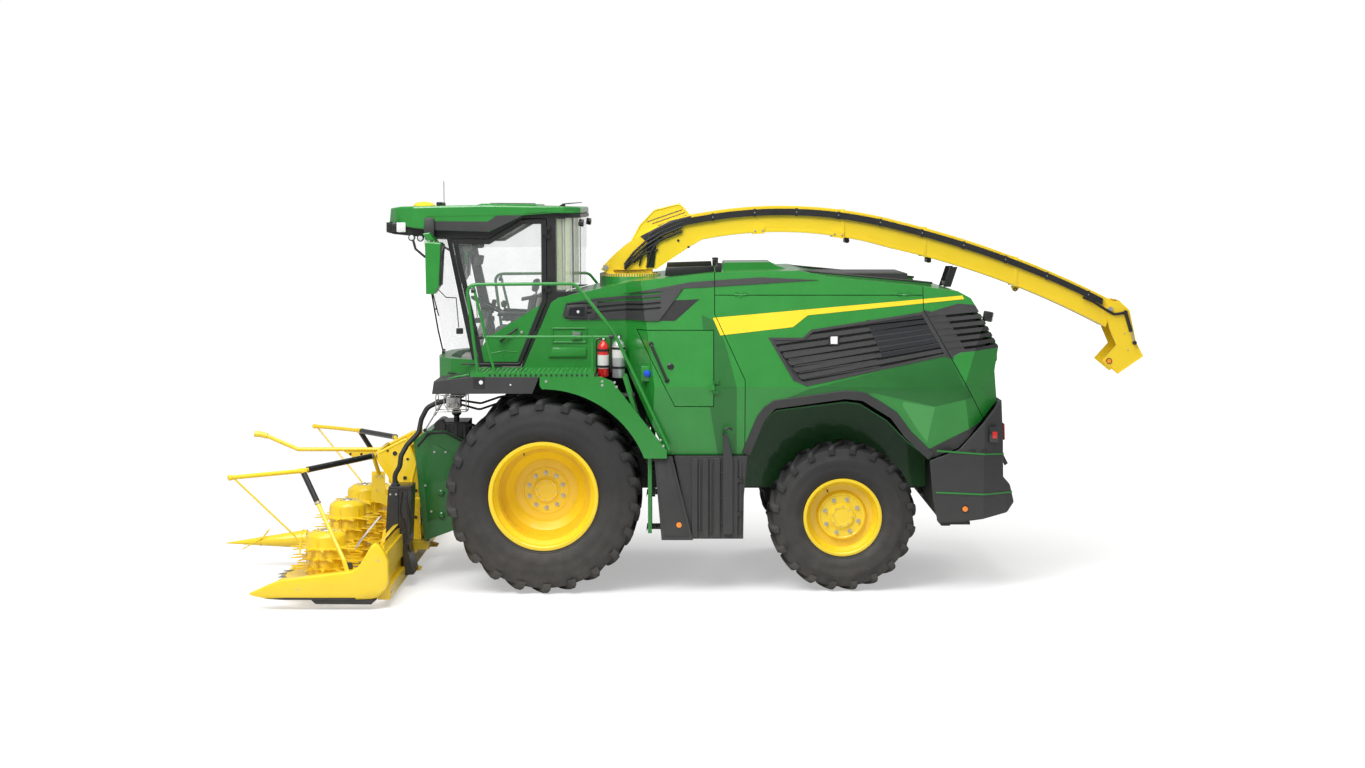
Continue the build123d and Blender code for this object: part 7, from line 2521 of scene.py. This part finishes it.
def roll_rib(sketch):
    """One carrying bar of a feed roll."""
    sketch.box((0.08, 0.096), (-0.29, 0.29), (-0.006, 0.006), None, 0.002, 1)


for z in (0.68, 0.92):
    feed.band(0, 0.082, -0.3, 0.3, (-2.55, 0, z), (0, 1, 0), grey_casting, 40)
    in_a_ring(feed, small_mesh(roll_rib), 12, (-2.55, 0, z), (0, 1, 0), grey_casting)
for side in (-1, 1):
    y = side * 0.604
    # Side plates in the darker copy of the green: painted shade, as the housing sits in shade under the
    # cab.
    feed.sheet(
        [(-2.70, 0.62), (-2.30, 0.72), (-2.30, 1.28), (-2.62, 1.44), (-2.76, 1.30)], y, 0.006, green_painted_shade,
        0.003,
    )
    for x, z in (
        (-2.66, 0.72), (-2.40, 0.80), (-2.36, 1.20), (-2.62, 1.36), (-2.72, 1.0), (-2.5, 1.36),
        (-2.0, 0.98), (-2.0, 1.2),
    ):
        feed.knob(0.013, 0.012, 0.01, 0.011, (x, side * 0.608, z), (0, side, 0), zinc_plate, 6)
    feed.sheet([(-2.2, 0.66), (-2.05, 0.78), (-2.05, 1.30), (-2.2, 1.38)], y, 0.012, green_painted_shade, 0.004)
    # Bearing caps in the darker copy of the green: painted shade.
    for z in (0.68, 0.92):
        feed.turned(
            [(0, 0), (0.036, 0), (0.036, 0.012), (0.02, 0.022), (0, 0.022)], (-2.55, side * 0.61, z),
            (0, side, 0), green_painted_shade, 28,
        )
    feed.pipe(
        [
            (-2.80, side * 0.60, 1.42), (-2.68, side * 0.60, 1.56), (-2.50, side * 0.60, 1.57),
            (-2.30, side * 0.60, 1.46),
        ],
        0.012, hose_rubber, 0.08,
    )
feed.box((-2.62, -2.24), (-0.575, -0.555), (1.46, 1.67), black_paint, 0.01)
for i in range(4):
    feed.box((-2.58 + i * 0.09, -2.55 + i * 0.09), (-0.582, -0.55), (1.47, 1.66), black_paint, 0.004)
feed.pipe(
    [(-2.56, -0.58, 1.64), (-2.64, -0.58, 1.58), (-2.66, -0.56, 1.48), (-2.62, -0.50, 1.40)], 0.016,
    hose_rubber, 0.05,
)
feed.pipe(
    [(-2.30, -0.56, 1.60), (-2.22, -0.58, 1.66), (-2.12, -0.56, 1.58), (-2.08, -0.50, 1.44)], 0.016,
    hose_rubber, 0.05,
)
feed.turned(
    [(0, 1.815), (0.03, 1.80), (0.052, 1.775), (0.052, 1.75), (0.03, 1.73), (0.03, 1.66), (0, 1.66)],
    (-2.4, -0.42, 0), (0, 0, 1), black_paint, 32,
)
feed.done("header", "body_green")

# %% [markdown]
# Beside the feed housing hangs the coupler for the header's hoses, in a wire cage. A hose and a strut leave
# from here; each is one mesh, attached to neither the machine nor the header.

# %% Coupler, hose and strut
coupler = Piece("hose_coupler")
for y in (-0.86, -0.64):
    coupler.pipe(
        [(-2.565, y, 1.82), (-2.565, y, 1.992), (-2.247, y, 1.992), (-2.247, y, 1.82), (-2.565, y, 1.82)],
        0.0055, zinc_plate, 0.02, 8,
    )
for x in (-2.565, -2.247):
    for z in (1.82, 1.992):
        coupler.pipe([(x, -0.86, z), (x, -0.64, z)], 0.0055, zinc_plate, sides=8)
for x in (-2.48, -2.36):
    coupler.pipe(
        [(x, -0.86, 1.992), (x, -0.86, 1.90), (x + 0.05, -0.86, 1.82)], 0.0045, zinc_plate, 0.02, 8,
    )
coupler.box((-2.46, -2.31), (-0.84, -0.68), (1.85, 1.965), white_plastic, 0.012)
for i in range(3):
    coupler.turned(
        [(0, 0), (0.016, 0), (0.016, 0.03), (0.01, 0.036), (0, 0.036)], (-2.43 + i * 0.045, -0.84, 1.89),
        (0, -1, 0), zinc_plate, 20,
    )
    coupler.knob(0.014, 0.012, 0.03, 0.034, (-2.46, -0.81 + i * 0.045, 1.92), (-1, 0, 0), black_paint, 20)
coupler.slab([(-2.42, 1.96), (-2.28, 1.96), (-2.20, 2.09), (-2.40, 2.09)], -0.82, -0.70, black_paint, 0.008)
coupler.pipe(
    [(-2.31, -0.76, 1.93), (-2.10, -0.78, 1.90), (-1.90, -0.80, 1.97), (-1.70, -0.80, 2.0)], 0.012,
    hose_rubber, 0.1,
)
coupler.pipe(
    [(-2.31, -0.72, 1.88), (-2.12, -0.74, 1.83), (-1.92, -0.76, 1.90), (-1.72, -0.76, 1.98)], 0.012,
    hose_rubber, 0.1,
)
coupler.done("machine", "dark_plastic")

hose = Piece("header_hose")
hose_route = [
    (-2.44, -0.80, 1.93), (-2.55, -0.81, 1.915), (-2.66, -0.83, 1.86), (-2.72, -0.85, 1.74),
    (-2.745, -0.88, 1.60),
    (-2.86, -0.94, 1.48), (-2.92, -0.98, 1.37), (-2.93, -1.0, 1.26), (-2.985, -1.0, 1.17),
    (-2.98, -1.0, 1.06),
]
hose.pipe(hose_route, 0.026, hose_rubber, 0.12, 16)
for place, ahead in (((-2.55, -0.81, 1.915), (-1, -0.1, -0.25)), ((-2.98, -1.0, 1.09), (0, 0, 1))):
    hose.band(0.024, 0.032, -0.02, 0.02, place, ahead, black_paint, 24)
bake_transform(hose.done(None, "dark_plastic"))

strut = Piece("gas_strut")
strut_top, strut_foot = Vector((-2.44, -0.66, 2.03)), Vector((-2.71, -0.66, 1.60))
strut.pipe([strut_top, strut_top + (strut_foot - strut_top) * 0.62], 0.015, silver_enamel)
strut.pipe([strut_top, strut_foot], 0.008, bright_steel)
for place in (strut_top, strut_foot):
    strut.band(0, 0.018, -0.02, 0.02, place, (0, 1, 0), black_paint, 20)
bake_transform(strut.done(None, "chrome_rod"))

# %% [markdown]
# Last come the parts between the wheels: hub reducers with their bolts, hoses to the lift cylinders and
# small black discs on the frame. They are seen from below and through the wheels.

# %% Axles and hoses
under = Piece("under_details")
for side in (-1, 1):
    flange = (-1.4, side * 0.74, 1.01)

    def flange_bolt(sketch):
        """A bolt on the final drive's flange."""
        sketch.knob(0.013, 0.012, 0.012, 0.012, (0.2, 0, 0), (0, side, 0), None, 6)

    under.turned(
        [(0.1, -0.02), (0.225, -0.02), (0.225, 0.004), (0.215, 0.012), (0.1, 0.012)], flange, (0, side, 0),
        frame_paint, 48,
    )
    in_a_ring(
        under, small_mesh(flange_bolt), 14, (flange[0], side * 0.752, flange[2]), (0, 1, 0), zinc_plate,
    )
    under.pipe(
        [
            (-1.55, side * 0.30, 1.10), (-1.42, side * 0.32, 1.20), (-1.25, side * 0.32, 1.16),
            (-1.1, side * 0.36, 1.05),
        ],
        0.012, hose_rubber, 0.08,
    )
    under.pipe(
        [
            (1.62, side * 0.34, 0.88), (1.50, side * 0.40, 1.0), (1.42, side * 0.44, 1.16),
            (1.40, side * 0.46, 1.3),
        ],
        0.011, hose_rubber, 0.08,
    )
    for x in (-0.4, 0.5, 1.2, 2.2):
        under.band(0, 0.03, -0.006, 0.006, (x, side * 0.556, 1.1), (0, 1, 0), black_paint, 24)
under.done("machine", "dark_frame")
